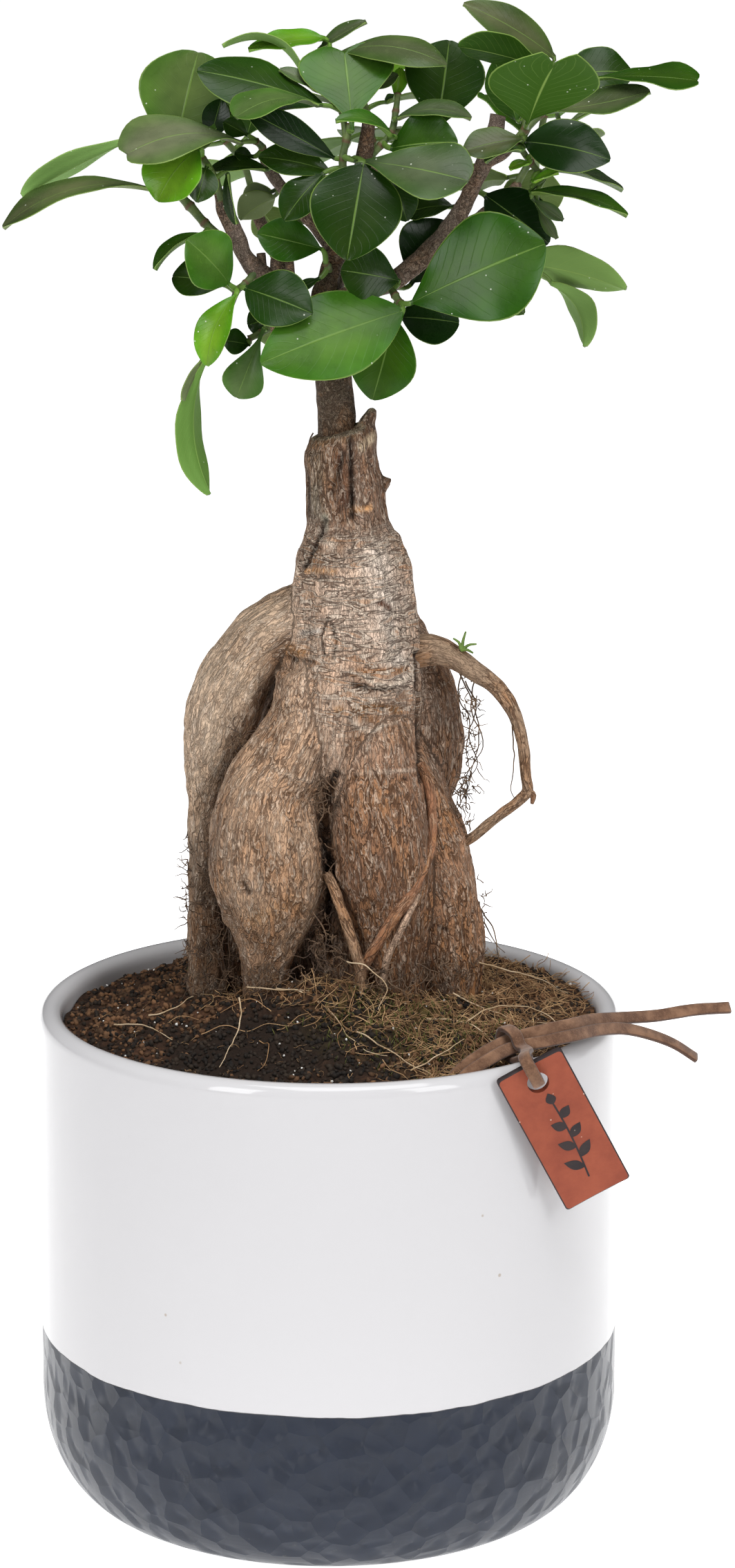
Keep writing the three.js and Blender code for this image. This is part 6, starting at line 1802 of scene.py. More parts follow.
SHOOTS: Mapping[str, Shoot] = {
    "left_outer": Shoot((((-20.5, 305.5, -3, 1.2), (-25, 308.5, -2, 1.2), (-29, 312, -1, 1.2),
        (-32.5, 316, 1, 1.3),
                          (-36, 319.3, 2, 1), (-39, 320.3, 3, 0.8)),), (
        leaf(G, (-41, 320.3, 4), (-76.5, 311, 2), 17, (0, -0.2, 1), 4.8, 0.6, 1.8),
        leaf(M, (-29.5, 309.8, -3), (-41.2, 301.2, -6), 5.8, (-0.25, -0.25, 1), 1.8, 1))),
    "left_end": Shoot((((-24.9, 317, -4, 1.1), (-26.5, 322, -4.5, 1.1), (-29.5, 327, -3, 1),
        (-34, 330, 1, 1),
                        (-39, 331.5, 6, 0.8)),), (
        leaf(P, (-44, 332.6, 11), (-72, 318.6, 10), 8, (-0.35, 0.75, 0.55), 1.2, 0.8, 1.7),
        leaf(U, (-36.3, 327, 4), (-30.3, 351.6, 8), 23.5, (0, -1, 0.35), 1.5, 0.8, 1.45, 1),
        leaf(B, (-30.3, 329.5, -7), (-40.2, 317, -12), 16, (-0.35, -0.8, 0.5), 2, 1),
        leaf(D, (-28.5, 325, -9), (-30.8, 316.8, -15), 8, (0, -1, 0.2)),
        leaf(D, (-24, 323.5, -6), (-22, 311.5, -8), 4.5, (-0.9, -0.5, 0.1), 0.5, 0.4),
        leaf(K, (-27.5, 331.5, 4.6), (-25, 340.8, 3.8), 6.8, (0, -1, 0.3)))),
    "left_middle": Shoot((((-14.6, 325.6, 3.4, 1), (-15.5, 329.5, 2, 1), (-17, 331, 0, 0.9)),), (
        leaf(S, (-20, 331, -2), (-47, 328.3, -12), 24, (0.05, -0.33, 0.94), 3.6, 0.5, 2.1, 2.5),
        leaf(D, (-17.8, 327.5, 1), (-22, 328.3, 0), 3.5, (0, -1, 0.4), 0.3, 0.3),
        leaf(D, (-14.5, 324.8, -3), (-28.2, 324.2, -1), 8, (0, -0.35, 0.94), 1),
        leaf(D, (-19, 332.5, 1), (-24.5, 335.6, 1), 5, (0, -1, 0.3), 0.3, 0.3),
        leaf(G, (-12.5, 318.5, 9), (-21, 313, 13), 8, (0.1, 0.8, 0.55)),
        leaf(G, (-13, 319.5, 12), (-20, 317, 16), 6, (0.1, 0.8, 0.55)))),
    "centre": Shoot((
        ((5, 317, -1, 1.2), (3.6, 322, -3.5, 1.2), (3.2, 327, -4.5, 1.1), (4, 331, -4.5, 1),
            (5, 335, -3.5, 0.9)),
        ((4, 331, -4.5, 0.9), (3, 338, 0, 0.9), (1, 344, 6, 0.9), (-0.5, 348, 10, 0.8))), (
        leaf(D, (8, 325.5, -10), (4.2, 303.2, -19), 21.5, (0, -0.95, 0.3), 1, 0.8, 0.88),
        leaf(G, (6, 326.7, -8), (32.3, 322, -22), 18.5, (0.15, -0.72, 0.68), 1, 0.8, 2.1, 1.5),
        leaf(U, (-2, 339.6, -4), (-21.8, 336.7, -15), 15, (-0.05, -0.28, 0.96), 3.1, 0.6, 2.1, 1),
        leaf(K, (1.5, 327, -5), (-19.5, 338.3, -8), 8, (-0.2, -0.9, 0.4), 1),
        leaf(D, (0.5, 324, -4), (-16.5, 327.5, -5), 9, (0, -0.75, 0.6)),
        leaf(D, (-1.5, 323.5, -6), (-10.6, 312.6, -11), 9.5, (-0.25, -0.9, 0.35)),
        leaf(F, (5.5, 333.5, -6), (3.6, 351.5, 8), 22.5, (0, -0.75, 0.7), 1, 0.8, 2.2, 4),
        leaf(D, (-1, 339.5, 0), (-30.7, 347.5, -2), 19.5, (0.05, -0.55, 0.83), 1.2, -1.2, 1.35),
        leaf(P, (-5, 346, 8), (-25, 353.4, 8), 7, (0, 0.235, 0.972), 5.5, 0.2, 1.1),
        leaf(B, (-1.5, 355, 14), (-18.8, 352.4, 11), 9, (0, -0.4, 0.9), 0.5, 0.8, 0.85),
        leaf(G, (-2, 352.8, 15), (8.5, 358.8, 13), 4.6, (-0.4, -0.6, 0.7), 0.3, 0.8, 1),
        leaf(G, (2, 351.5, 11), (27.5, 348.7, 2), 13, (0, -0.45, 0.9), 3.4, -0.8, 1.3),
        leaf(G, (10, 343, 5), (16, 346.5, 5), 4, (0, -0.8, 0.6), 0.4, 0.3),
        leaf(G, (-3, 343, 3), (-11.5, 347.8, 4), 4, (0, -0.6, 0.8), 0.8, 0.3))),
    "centre_right": Shoot((
        ((8.4, 326, 0, 1), (12, 330, 1, 1), (14.5, 333, 2, 1), (15.5, 338, 4, 0.9), (16, 342, 6, 0.8)),
        ((14.5, 333, 2, 0.9), (20, 333.5, 5, 0.9), (25, 333, 6, 0.8))), (
        leaf(F, (14.8, 332.5, -5), (1.5, 336, -13), 6.5, (0.5, -0.3, 0.9), 2.4, 0.5, 1),
        leaf(D, (25.3, 334.2, 7), (27.9, 354.4, 13), 19, (0, -1, 0.3), 1, 0.8, 1.35),
        leaf(G, (15.5, 336.5, 1), (33.3, 336.5, -3), 8, (0, -0.4, 0.9), 2.4, 0.5),
        leaf(M, (14.5, 329.5, -2), (30, 330.8, -7), 16, (0, -0.8, 0.5), 1, 0.8, 1),
        leaf(B, (15.5, 341, 8), (16.7, 348, 10), 4, (0.3, -0.9, 0.3), 0.3, 0.3),
        leaf(D, (14, 322.5, 0), (18.3, 312.3, -2), 8, (0.3, -0.9, 0.2)))),
    "low_centre": Shoot((((14, 298, -2, 1.2), (15.5, 295, -5, 1.1), (16.7, 293.3, -7, 1)),), (
        leaf(F, (17.4, 291.5, -10), (-16.2, 279, -20), 21.5, (0.1, -0.85, 0.5), 1.5, -0.8, 0.98),
        leaf(M, (15.4, 289.8, -6), (10.2, 270.2, -9), 15.8, (0.1, -1, 0.25), 1.2, 0.8, 1.15),
        leaf(M, (19, 293.2, -10), (50.7, 307.2, -17), 26, (0.05, -0.92, 0.4), 2, -0.8, 1.4),
        leaf(K, (17, 290, -2), (30.7, 288.6, 2), 13, (0, -0.9, 0.4), 1, 0.8, 0.95),
        leaf(D, (16.5, 298.5, -5), (2.7, 301, -8), 13.5, (0, -1, 0.3), 1, 0.8, 1.35),
        leaf(K, (19.5, 298, 3), (27.5, 312.5, 6), 17, (0.1, -1, 0.2)))),
    "right_middle": Shoot((((32.2, 317.5, 0, 1), (33, 319, 4, 1), (34.5, 319.5, 7, 0.9)),), (
        leaf(D, (29, 316, 6), (17.5, 314, 8), 9, (0, -0.6, 0.8)),
        leaf(K, (36.5, 318.5, 6), (51.5, 307.2, 4), 14.5, (0, -1, 0.3), 1, 0.8, 1))),
    "right_end": Shoot((
        ((42, 329.6, -3, 1.1), (45.5, 333.5, -3, 1.1), (49, 337, -1, 1), (54, 341.5, 1, 0.9),
            (58, 344.5, 2, 0.8)),
        ((45.5, 333.5, -3, 1), (46, 340, 2, 0.9), (46.5, 346, 5, 0.8)),
        ((43.5, 331, -3, 0.9), (47, 326, -1, 0.9), (50, 322.5, 0, 0.8))), (
        leaf(G, (52, 350.7, 9), (31, 362.8, 5), 10.2, (0.25, -0.8, 0.55), 1.6, 0.5, 0.95),
        leaf(O, (49, 349, -1), (29.8, 353.7, -4), 12, (0, 0.65, 0.75), 0.6, 0.8, 1.3),
        leaf(O, (46, 335.5, -6), (51.8, 349, -19), 26.5, (-0.1, 0.67, 0.68), 1, -0.8, 1.45, 7),
        leaf(O, (44, 335.5, 0), (38.5, 350, 3), 11, (0.2, 0.9, 0.3)),
        leaf(D, (54, 346, 10), (70.5, 346.8, 14), 13, (0, -0.8, 0.6), 1.5, 0.8, 1.1),
        leaf(M, (60, 345.8, 2), (85.2, 345.2, -1), 15, (0, -0.3, 0.95), 0.8, 0.5, 2.4, 2.5),
        leaf(G, (50, 338.2, -1), (74.5, 342.8, -3), 11.5, (0.1, -0.45, 0.88), -0.8, 0.5, 1.7),
        leaf(P, (55.5, 335.3, 5), (62.3, 338.9, 8), 1.8, (0, -0.5, 0.8), 0.3, 0.2),
        leaf(K, (45.5, 331, -5), (65.6, 326.7, -9), 14.5, (0, -0.8, 0.6), 1.5, 0.8, 0.95),
        leaf(G, (45, 331.7, -7), (31, 328.7, -9), 9.5, (0, -0.65, 0.75), 0.8, 0.5),
        leaf(U, (45, 329.3, -6), (36, 326.3, -7), 5, (0, -0.3, 0.9), 1.5, 0.3),
        leaf(B, (46.5, 326.3, -4), (41.8, 324.8, -4), 3, (0, -0.6, 0.8), 0.3, 0.2),
        leaf(G, (51, 325, 1), (68.8, 320, 3), 9, (0, -0.15, 1), 1.2, 0.5, 1.8),
        leaf(M, (46.8, 319.5, -1), (70, 314, -5), 9.5, (0, -0.2, 1), 1.9, 0.5),
        leaf(B, (47.5, 322, -3), (53.4, 324.2, -4), 2.8, (0, -0.5, 0.9), 0.3, 0.2),
        leaf(G, (47.8, 317.4, 0), (54.8, 312.6, 0), 3.4, (-0.2, -0.9, 0.4), 0.3, 0.3),
        leaf(G, (48.8, 315.5, 0.8), (53.3, 308.2, 0.4), 3, (-0.6, -0.7, 0.4), 0.3, 0.2))),
    "right_under": Shoot((((22.5, 303.5, 0, 1.2), (32, 301.5, 6, 1.1), (42, 300.5, 8, 1),
        (48.3, 300.6, 8.2, 0.88)),), (
        leaf(P, (43, 303.3, 9), (70, 296.8, 5), 11.5, (0, 0.85, 0.5), 2, 0.8, 0.95),
        leaf(P, (51.7, 298.5, 8), (60.5, 282.7, 7), 8.5, (0.7, 0.7, 0.1), 4.6, 0.8, 1.3),
        leaf(P, (38.5, 295.5, 8), (46, 290.8, 8), 5, (0, -0.8, 0.5), 0.5, 0.3),
        leaf(D, (51, 303.6, 11), (56.3, 300.5, 11), 1.8, (0, -0.5, 0.8), 0.3, 0.1))),
    "stem": Shoot((((0.2, 300.5, -1, 1.1), (-0.2, 301.8, -3.6, 1), (-0.8, 302.6, -5, 0.9)),), (
        leaf(M, (-1.8, 306, -5.6), (-16.8, 309.6, -7.5), 10.4, (-0.1, -1, 0.25), 1),
        leaf(D, (-2.4, 299, -4.6), (-7.5, 296.4, -5), 2.6, (0, -1, 0.4), 0.4, 0.3))),
    "left_low": Shoot((
        ((-17.2, 300.6, -3, 1.1), (-19.5, 297.8, -5, 1.1), (-21.5, 296.4, -6, 1)),
        ((-21.5, 296.4, -6, 0.9), (-24.5, 289, -4, 0.8), (-28, 283, -3, 0.8))), (
        leaf(F, (-23.3, 297.7, -8), (-33.2, 308.2, -16), 14.5, (-0.2, -0.8, 0.6), 1.5),
        leaf(D, (-24.5, 297.5, -4), (-36.8, 299.5, -1), 10, (0, -0.85, 0.5)),
        leaf(D, (-19.6, 296.8, -9), (-3.9, 290.8, -17), 14.3, (0.1, -0.95, 0.35), 1, 0.8, 1.05),
        leaf(B, (-21.8, 295.3, -9), (-28.8, 278.2, -13), 9.3, (-0.5, -0.85, 0.2), 3.2, 0.8, 1.3),
        leaf(F, (-29.3, 280.3, -3), (-28.6, 247.3, -5), 10, (-0.75, 0.65, 0), 5.2, 0.8, 1.5),
        leaf(G, (-30.2, 280, -2), (-35, 270.3, -3), 4, (-0.6, 0.2, 0.7), 0.4, 0.4))),
    "left_under": Shoot((((-12.6, 288, -1.8, 1), (-16, 286.2, -2.2, 1), (-18.8, 284.8, -3, 0.9)),), (
        leaf(D, (-18.6, 283.5, -3), (-25, 284.5, -5), 6.3, (0, -1, 0.4), 0.4, 0.3),
        leaf(U, (-15.3, 287.3, -4), (-21.8, 270.7, -6), 10, (0.1, -0.9, 0.4), 1, 0.8, 2.5),
        leaf(D, (-15, 289.2, 1), (-19.2, 288, 1), 6, (0, -1, 0.3), 0.4, 0.3))),
    "back_centre": Shoot((((9.9, 326, 25.5, 1.2), (10, 331, 28, 1.1), (9, 337, 29, 1),
        (7, 343, 28, 0.9)),), (
        leaf(F, (7, 345.5, 31), (5, 351.5, 48), 15, (0, 0.3, 1)),
        leaf(D, (3.5, 340, 31), (-14, 341, 44), 15, (-0.2, 0.4, 0.9)),
        leaf(M, (13, 340.5, 32), (27, 341, 46), 15, (0.2, 0.4, 0.9)),
        leaf(D, (10, 334, 34), (10, 330, 57), 17, (0, 0.5, 0.9)),
        leaf(M, (5, 332, 32), (-8, 324, 48), 15, (-0.3, 0.6, 0.7)),
        leaf(D, (15.5, 331, 32), (26, 324, 46), 15, (0.3, 0.6, 0.7)),
        leaf(D, (10, 325.5, 32), (8, 309, 44), 16, (0, 0.95, 0.3)),
        leaf(B, (13, 345.5, 27), (21, 350, 36), 12, (0.1, 0.1, 1)),
        leaf(K, (5, 323, 27), (-7, 312, 33), 13, (-0.2, 0.95, 0.3)))),
    "back_left": Shoot((((-17.9, 319.3, 24.6, 1), (-20, 326, 27, 1), (-24, 331, 27, 0.9)),), (
        leaf(M, (-27, 334, 28), (-36, 345, 40), 16, (-0.2, 0.5, 0.85)),
        leaf(D, (-28.5, 330.5, 31), (-42, 331, 46), 15, (-0.3, 0.5, 0.8)),
        leaf(F, (-24.5, 326.5, 33), (-28, 320, 53), 16, (0, 0.6, 0.8)),
        leaf(D, (-19, 332.5, 30), (-16, 340, 46), 14, (0.1, 0.4, 0.9)),
        leaf(D, (-16, 316, 30), (-10, 306, 38), 12, (0.1, 0.9, 0.4)))),
    "back_right": Shoot((((43.4, 320.4, 20.4, 1.1), (47, 327, 24, 1), (49, 332, 25, 1),
        (50, 337, 25, 0.9)),), (
        leaf(D, (50, 340, 26), (46, 350, 38), 15, (0, 0.4, 0.9)),
        leaf(F, (53, 337.5, 28), (66, 343, 40), 14, (0.3, 0.4, 0.9)),
        leaf(D, (52, 332, 30), (60, 330, 51), 16, (0.1, 0.6, 0.8)),
        leaf(M, (46, 332, 28), (36, 342, 42), 15, (-0.2, 0.5, 0.85)),
        leaf(D, (48.5, 325, 29), (47, 312, 40), 15, (0, 0.9, 0.4)),
        leaf(D, (42, 323, 25), (28, 320, 34), 13, (-0.2, 0.7, 0.7)),
        leaf(K, (41.5, 318, 25), (38, 301, 34), 15, (-0.1, 0.95, 0.3)))),
    "back_low": Shoot((((-4.2, 289.8, 13, 1), (-5.5, 291.5, 16.5, 1), (-6, 293, 19, 0.9)),), (
        leaf(D, (-7.5, 291, 20), (-12, 282, 35), 15, (-0.1, 0.6, 0.8)),
        leaf(M, (-2.5, 291.5, 19), (6, 284, 32), 14, (0.1, 0.6, 0.8)),
        leaf(D, (-9, 294.5, 19), (-16, 298, 32), 13, (-0.2, 0.5, 0.85)),
        leaf(F, (-1.5, 295, 18), (10, 299, 27), 12, (0.2, 0.5, 0.85)))),
}


@dataclass
class Foliage:
    """The leafy shoots, one piece each, with every blade built from the same few sizes."""

    columns: int = 11
    rows: int = 24
    thickness: float = 0.5
    roundness: float = 0.72
    stalk_radius: float = 0.62
    fold_round: float = 0.02
    wave_turns: float = 2.2
    groove_half: float = 0.55
    groove_depth: float = 0.22
    rib_depth: float = 0.45
    twig_sides: int = 10
    least_half: float = 0.45
    rng: random.Random = field(default_factory=lambda: random.Random(41))

    def half_width(self, blade: Leaf, along: Array) -> Array:
        """Gives half the blade's width along it."""
        full = np.sin(math.pi * along ** blade.fullness) ** self.roundness
        return np.maximum(self.least_half, blade.width / 2 * full)

    def blade_rings(self, blade: Leaf, wave: float, phase: float) -> Tuple[Array, Array, Dict[str, Array]]:
        """Builds the rings of a blade.

        Args:
            blade: The leaf.
            wave: How far its margin waves, in millimetres.
            phase: Where the waves start.

        Returns:
            The rings, their places on the blade, and the blade's own directions.
        """
        base, tip = on_sight([blade.base, blade.tip])
        way = tip - base
        length = float(np.linalg.norm(way))
        way /= length
        face = np.array(blade.face, dtype=float)
        face = unit(face - way * face.dot(way))
        side = np.cross(way, face)
        along = 0.02 + 0.975 * (1 - np.cos(math.pi * np.linspace(0, 1, self.rows))) / 2
        across = np.sin(math.pi / 2 * np.linspace(-1, 1, self.columns))
        slope = 4 * blade.arch * (1 - 2 * along) / length
        normal = unit(face[None] - way[None] * slope[:, None])
        tangent = unit(way[None] + face[None] * slope[:, None])
        half = self.half_width(blade, along)
        arch = 4 * blade.arch * along * (1 - along)
        middle = base + way * (length * along)[:, None] + face * arch[:, None]
        reach = np.abs(across)
        lift = blade.fold * (np.sqrt(reach ** 2 + self.fold_round) - 0.14)[None]
        lift = lift * (half * 2 / blade.width)[:, None]
        turns = self.wave_turns * along[:, None] + phase + 0.25 * np.sign(across)
        ripple = wave * reach[None] ** 3 * np.sin(2 * math.pi * turns) * np.minimum(1, half / 5)[:, None]
        lobes = blade.heart * reach[None] * (along ** 4 * np.minimum(1, half / 4))[:, None]
        groove = np.exp(-((across[None] * half[:, None]) / self.groove_half) ** 2)
        rise = lift + ripple - self.groove_depth * groove
        sheet = (middle[:, None] + side * (half[:, None] * across)[..., None]
                 + tangent[:, None] * lobes[..., None] + normal[:, None] * rise[..., None])
        depth = self.thickness * (0.35 + 0.65 * (1 - reach[None] ** 4)) + self.rib_depth * groove
        back = sheet - normal[:, None] * depth[..., None]
        rings = np.concatenate((sheet, back[:, ::-1]), axis=1)
        uv = np.zeros((*rings.shape[:2], 3))
        uv[:, :self.columns, 0] = across
        uv[:, self.columns:, 0] = across[::-1]
        uv[..., 1] = along[:, None]
        uv[:, self.columns:, 2] = 1.0
        return rings, uv, {"base": base, "side": side, "face": face, "way": way}

    def stalk_rings(self, start: Array, frame_of: Dict[str, Array], first: Array) -> Array:
        """Builds the rings of a leaf stalk, round at the twig and flat where the blade starts.

        Args:
            start: Where the stalk leaves the twig.
            frame_of: The directions of the blade.
            first: The first ring of the blade.

        Returns:
            The rings.
        """
        goal = first.mean(axis=0)
        gap = float(np.linalg.norm(goal - start))
        shares = np.linspace(0, 1, 7)[:-1]
        pull = goal - frame_of["way"] * gap * 0.45
        lines = [(1 - t) ** 2 * start + 2 * t * (1 - t) * pull + t * t * goal for t in shares]
        corners = 2 * self.columns
        half = corners // 2
        angles = np.concatenate((np.linspace(math.pi, 0, half), np.linspace(0, -math.pi, half)))
        rings = []
        for share, centre in zip(shares, lines):
            tangent = unit(2 * (1 - share) * (pull - start) + 2 * share * (goal - pull))
            side = unit(frame_of["side"] - tangent * frame_of["side"].dot(tangent))
            up = np.cross(side, tangent)
            if up.dot(frame_of["face"]) < 0:
                up = -up
            radius = self.stalk_radius * (1.25 - 0.35 * share)
            ring = centre + radius * (np.outer(np.cos(angles), side) + 0.85 * np.outer(np.sin(angles), up))
            blend = share ** 4
            rings.append(ring * (1 - blend) + (first - goal + centre) * blend)
        return np.array(rings)

    def tone(self, colour: Point) -> Array:
        """Wanders a little from a look's tone."""
        bright = self.rng.uniform(0.85, 1.18)
        warm = self.rng.uniform(0.92, 1.1)
        return np.array(colour) * (bright * warm, bright, bright / warm)

    def add_leaf(self, pile: MeshPile, twigs: Array, blade: Leaf) -> None:
        """Adds one leaf with its stalk to a shoot."""
        wave = self.rng.uniform(0.15, 0.45) * min(1.0, blade.width / 12)
        rings, uv, frame_of = self.blade_rings(blade, wave, self.rng.random())
        start = twigs[np.linalg.norm(twigs - frame_of["base"], axis=1).argmin()]
        stalk = self.stalk_rings(start, frame_of, rings[0])
        points, faces = loft(np.concatenate((stalk, rings)))
        blades = np.concatenate((np.zeros((stalk.size // 3, 3)), uv.reshape(-1, 3), [(0, 0, 0), (0, 1, 0)]))
        top, back = (self.tone(colour) for colour in blade.look.value)
        pile.add(points, faces, 0, blade=blades, top_tone=np.tile(top, (len(points), 1)),
                 back_tone=np.tile(back, (len(points), 1)))

    def add_twig(self, pile: MeshPile, twig: Sequence[Station]) -> Array:
        """Adds a green twig with a swelling at each joint, and returns points along it."""
        line = smooth_line(on_sight(twig), np.linspace(0, 1, 8 * len(twig)))
        radius = smooth_line(np.array([(row[3], 0, 0) for row in twig]), np.linspace(0, 1, len(line)))[:, 0]
        joints = np.abs(np.sin(np.linspace(0, math.pi * (len(twig) - 1), len(line))))
        radius = radius * (0.84 + 0.26 * (1 - joints) ** 3)
        ways = directions(line)
        side = unit(np.cross(ways, (0.2, 0.9, 0.35)))
        up = np.cross(ways, side)
        angles = np.linspace(0, 2 * math.pi, self.twig_sides + 1)[:-1]
        points, faces = loft(tube(line, side, up, radius, angles))
        blades = np.zeros((len(points), 3))
        blades[:len(line) * self.twig_sides, 1] = np.repeat((1 - joints) ** 2, self.twig_sides)
        blank = np.zeros((len(points), 3))
        pile.add(points, faces, 1, blade=blades, top_tone=blank, back_tone=blank)
        return line

    def build(self) -> None:
        """Builds all shoots."""
        materials = [LeafFinish().material(), TwigFinish().material()]
        for name, shoot in SHOOTS.items():
            pile = MeshPile()
            twigs = np.vstack([self.add_twig(pile, twig) for twig in shoot.twigs])
            for blade in shoot.leaves:
                self.add_leaf(pile, twigs, blade)
            dress(pile.build(f"foliage_{name}", materials), "leaves", f"leaves_{name}")


@dataclass
class Soil:
    """The soil: a lumpy ground and what lies on it."""

    pot: Pot
    gap: float = 0.35
    wall_height: float = 119.0
    mound: float = 6.5
    mound_radius: float = 26.0
    lump: float = 0.7
    tilt: float = 0.018
    heap: Tuple[float, ...] = (-2.0, -18.0, 20.0, 9.0, 7.0)
    spacing: float = 1.1
    sides: int = 260
    foot_gap: float = 0.7
    wall_foot: float = 8.0
    bare_edge: float = 1.5

    def height(self, x: Array, y: Array) -> Array:
        """Gives the height of the ground."""
        radius = np.hypot(x, y)
        share = np.clip((self.pot.inner_radius - radius) / (self.pot.inner_radius - self.mound_radius), 0, 1)
        rise = share * share * (3 - 2 * share)
        lumps = np.sin(x * 0.31 + 1) * np.cos(y * 0.27) + 0.6 * np.sin(x * 0.62 - y * 0.55)
        middle_x, middle_y, wide, deep, tall = self.heap
        heap = tall * np.exp(-((x - middle_x) / wide) ** 2 - ((y - middle_y) / deep) ** 2)
        return self.wall_height + self.tilt * x + self.mound * rise + self.lump * lumps + heap

    def zones(self, x: Array, y: Array) -> Array:
        """Gives how much fibre, moss, black peat and brown clods there are at a place."""
        places = np.column_stack((x, y, np.zeros(len(x))))
        wander = noise_at(places, 14.0, 4.0)
        middle_x, middle_y, wide, deep, _ = self.heap
        feet = np.exp(-((x - middle_x) / (1.5 * wide)) ** 2 - ((y - middle_y - 3) / (1.3 * deep)) ** 2)
        fibre = np.clip((x + 0.45 * y + 14 + 16 * wander) / 26 + 1.4 * feet, 0, 1)
        wet = np.exp(-(((x + 14) / 26) ** 2 + ((y + 40) / 17) ** 2))
        clods = np.clip(0.7 + 0.7 * noise_at(places, 7.0, 9.0) - 1.4 * wet + 0.3 * feet, 0, 1)
        spot = np.exp(-(((x - 20) / 22) ** 2 + ((y + 30) / 17) ** 2))
        moss = np.clip(1.5 * spot + 0.35 * wander - 0.2, 0, 1)
        return np.column_stack((fibre, moss, 1 - clods, clods))

    def ground(self) -> bpy.types.Object:
        """Builds the ground as a closed solid with a fine top."""
        outer = self.pot.inner_radius - self.gap
        rings = int(outer / self.spacing)
        radii = np.linspace(0, outer, rings + 1)[1:]
        angles = 2 * math.pi * np.arange(self.sides) / self.sides
        x, y = (np.outer(radii, wave(angles)).ravel() for wave in (np.cos, np.sin))
        flat = np.column_stack((x, y, np.zeros(len(x))))
        fine = 0.9 * noise_at(flat, 5.0, 1.0) + 0.8 * np.abs(noise_at(flat, 2.2, 2.0))
        edge = np.clip((outer - np.hypot(x, y)) / 3, 0, 1)
        top = np.column_stack((x, y, self.height(x, y) + fine * edge))
        round_line = np.column_stack((np.cos(angles), np.sin(angles)))
        low = [np.column_stack((round_line * radius, np.full(self.sides, level))) for radius, level in (
            (outer, self.pot.inner_round + self.wall_foot),
            (outer - self.pot.inner_round, self.pot.floor_thickness + self.foot_gap))]
        points, faces = loft(np.vstack((top, *low)).reshape(-1, self.sides, 3))
        points[-2] = (0, 0, float(self.height(np.zeros(1), np.zeros(1))[0]))
        zones = self.zones(points[:, 0], points[:, 1])
        on_top = (np.arange(len(points)) < len(top)) | (np.arange(len(points)) == len(points) - 2)
        near_wall = np.hypot(points[:, 0], points[:, 1]) < outer - self.bare_edge
        open_ground = (on_top & near_wall).astype(float)
        pile = MeshPile()
        pile.add(points, faces, zones=zones[:, (3, 1, 0)], fibre=zones[:, 0] * open_ground,
                 moss=zones[:, 1] * open_ground, peat=(0.25 + 0.75 * zones[:, 2]) * open_ground,
                 clods=zones[:, 3] * open_ground, bare=open_ground)
        return dress(pile.build("soil_ground", [EarthFinish().material()]), "soil", "soil")


class Bits:
    """Small parts that are strewn: crumbs, perlite, fibres and moss."""

    def __init__(self) -> None:
        """Starts the draw."""
        self.rng = random.Random(23)

    def collection(self, name: str, meshes: Sequence[Patch]) -> bpy.types.Collection:
        """Makes a collection with one object for each mesh."""
        group = bpy.data.collections.new(name)
        for number, (points, faces) in enumerate(meshes):
            mesh = bpy.data.meshes.new(f"{name}_{number}")
            mesh.from_pydata((points * MM).tolist(), [], faces)
            group.objects.link(bpy.data.objects.new(f"{name}_{number}", mesh))
        return group

    def crumb(self) -> Patch:
        """Builds an angular crumb about 1 mm across, from an icosahedron."""
        golden = (1 + 5 ** 0.5) / 2
        corners = [(0, s, t * golden) for s in (-1, 1) for t in (-1, 1)]
        corners += [(s, t * golden, 0) for s in (-1, 1) for t in (-1, 1)]
        corners += [(t * golden, 0, s) for s in (-1, 1) for t in (-1, 1)]
        ball = unit(np.array(corners, dtype=float))
        faces = []
        for a in range(12):
            for b in range(a + 1, 12):
                for c in range(b + 1, 12):
                    sides = [np.linalg.norm(ball[i] - ball[j]) for i, j in ((a, b), (b, c), (a, c))]
                    if max(sides) < 1.2:
                        faces.append((a, b, c))
        turned = [(a, b, c) if np.dot(np.cross(ball[b] - ball[a], ball[c] - ball[a]), ball[a]) > 0
                  else (c, b, a) for a, b, c in faces]
        uneven = np.array([self.rng.uniform(0.35, 0.62) for _ in range(12)])
        squash = (self.rng.uniform(0.8, 1.2), self.rng.uniform(0.6, 1.0), self.rng.uniform(0.5, 0.8))
        return ball * uneven[:, None] * squash, turned

    def strand(self, length: float, radius: float, curl: float, steps: int = 12) -> Patch:
        """Builds a lying strand that bends at random.

        Args:
            length: Its length in millimetres.
            radius: Its radius.
            curl: How sharply it bends.
            steps: Its number of straight runs.

        Returns:
            Its vertices and faces.
        """
        heading, bend = self.rng.uniform(0, 6), self.rng.uniform(-curl, curl)
        place, line = np.zeros(3), []
        for step in range(steps + 1):
            line.append(place.copy())
            bend += self.rng.uniform(-curl, curl) * 0.5
            heading += bend / steps
            hop = 0.35 * math.sin(step * 1.3 + heading)
            place = place + np.array((math.cos(heading), math.sin(heading), hop)) * length / steps
        path = np.array(line) - np.array(line).mean(axis=0)
        ways = directions(path)
        side = unit(np.cross(ways, (0.0, 0.0, 1.0)))
        up = np.cross(side, ways)
        angles = 2 * math.pi * np.arange(4) / 4
        return loft(tube(path, side, up, radius * np.linspace(1, 0.5, steps + 1), angles))

    def blade(self) -> Patch:
        """Builds a standing moss blade 1.5 mm high."""
        lean = np.array((self.rng.uniform(-0.6, 0.6), self.rng.uniform(-0.6, 0.6), 1.5))
        foot = np.array([(0.13 * math.cos(a), 0.13 * math.sin(a), -0.1) for a in (0, 2.1, 4.2)])
        points = np.vstack((foot, foot * 0.8 + lean * 0.55, lean))
        faces = [(0, 2, 1), (0, 1, 4, 3), (1, 2, 5, 4), (2, 0, 3, 5), (3, 4, 6), (4, 5, 6), (5, 3, 6)]
        return points, faces


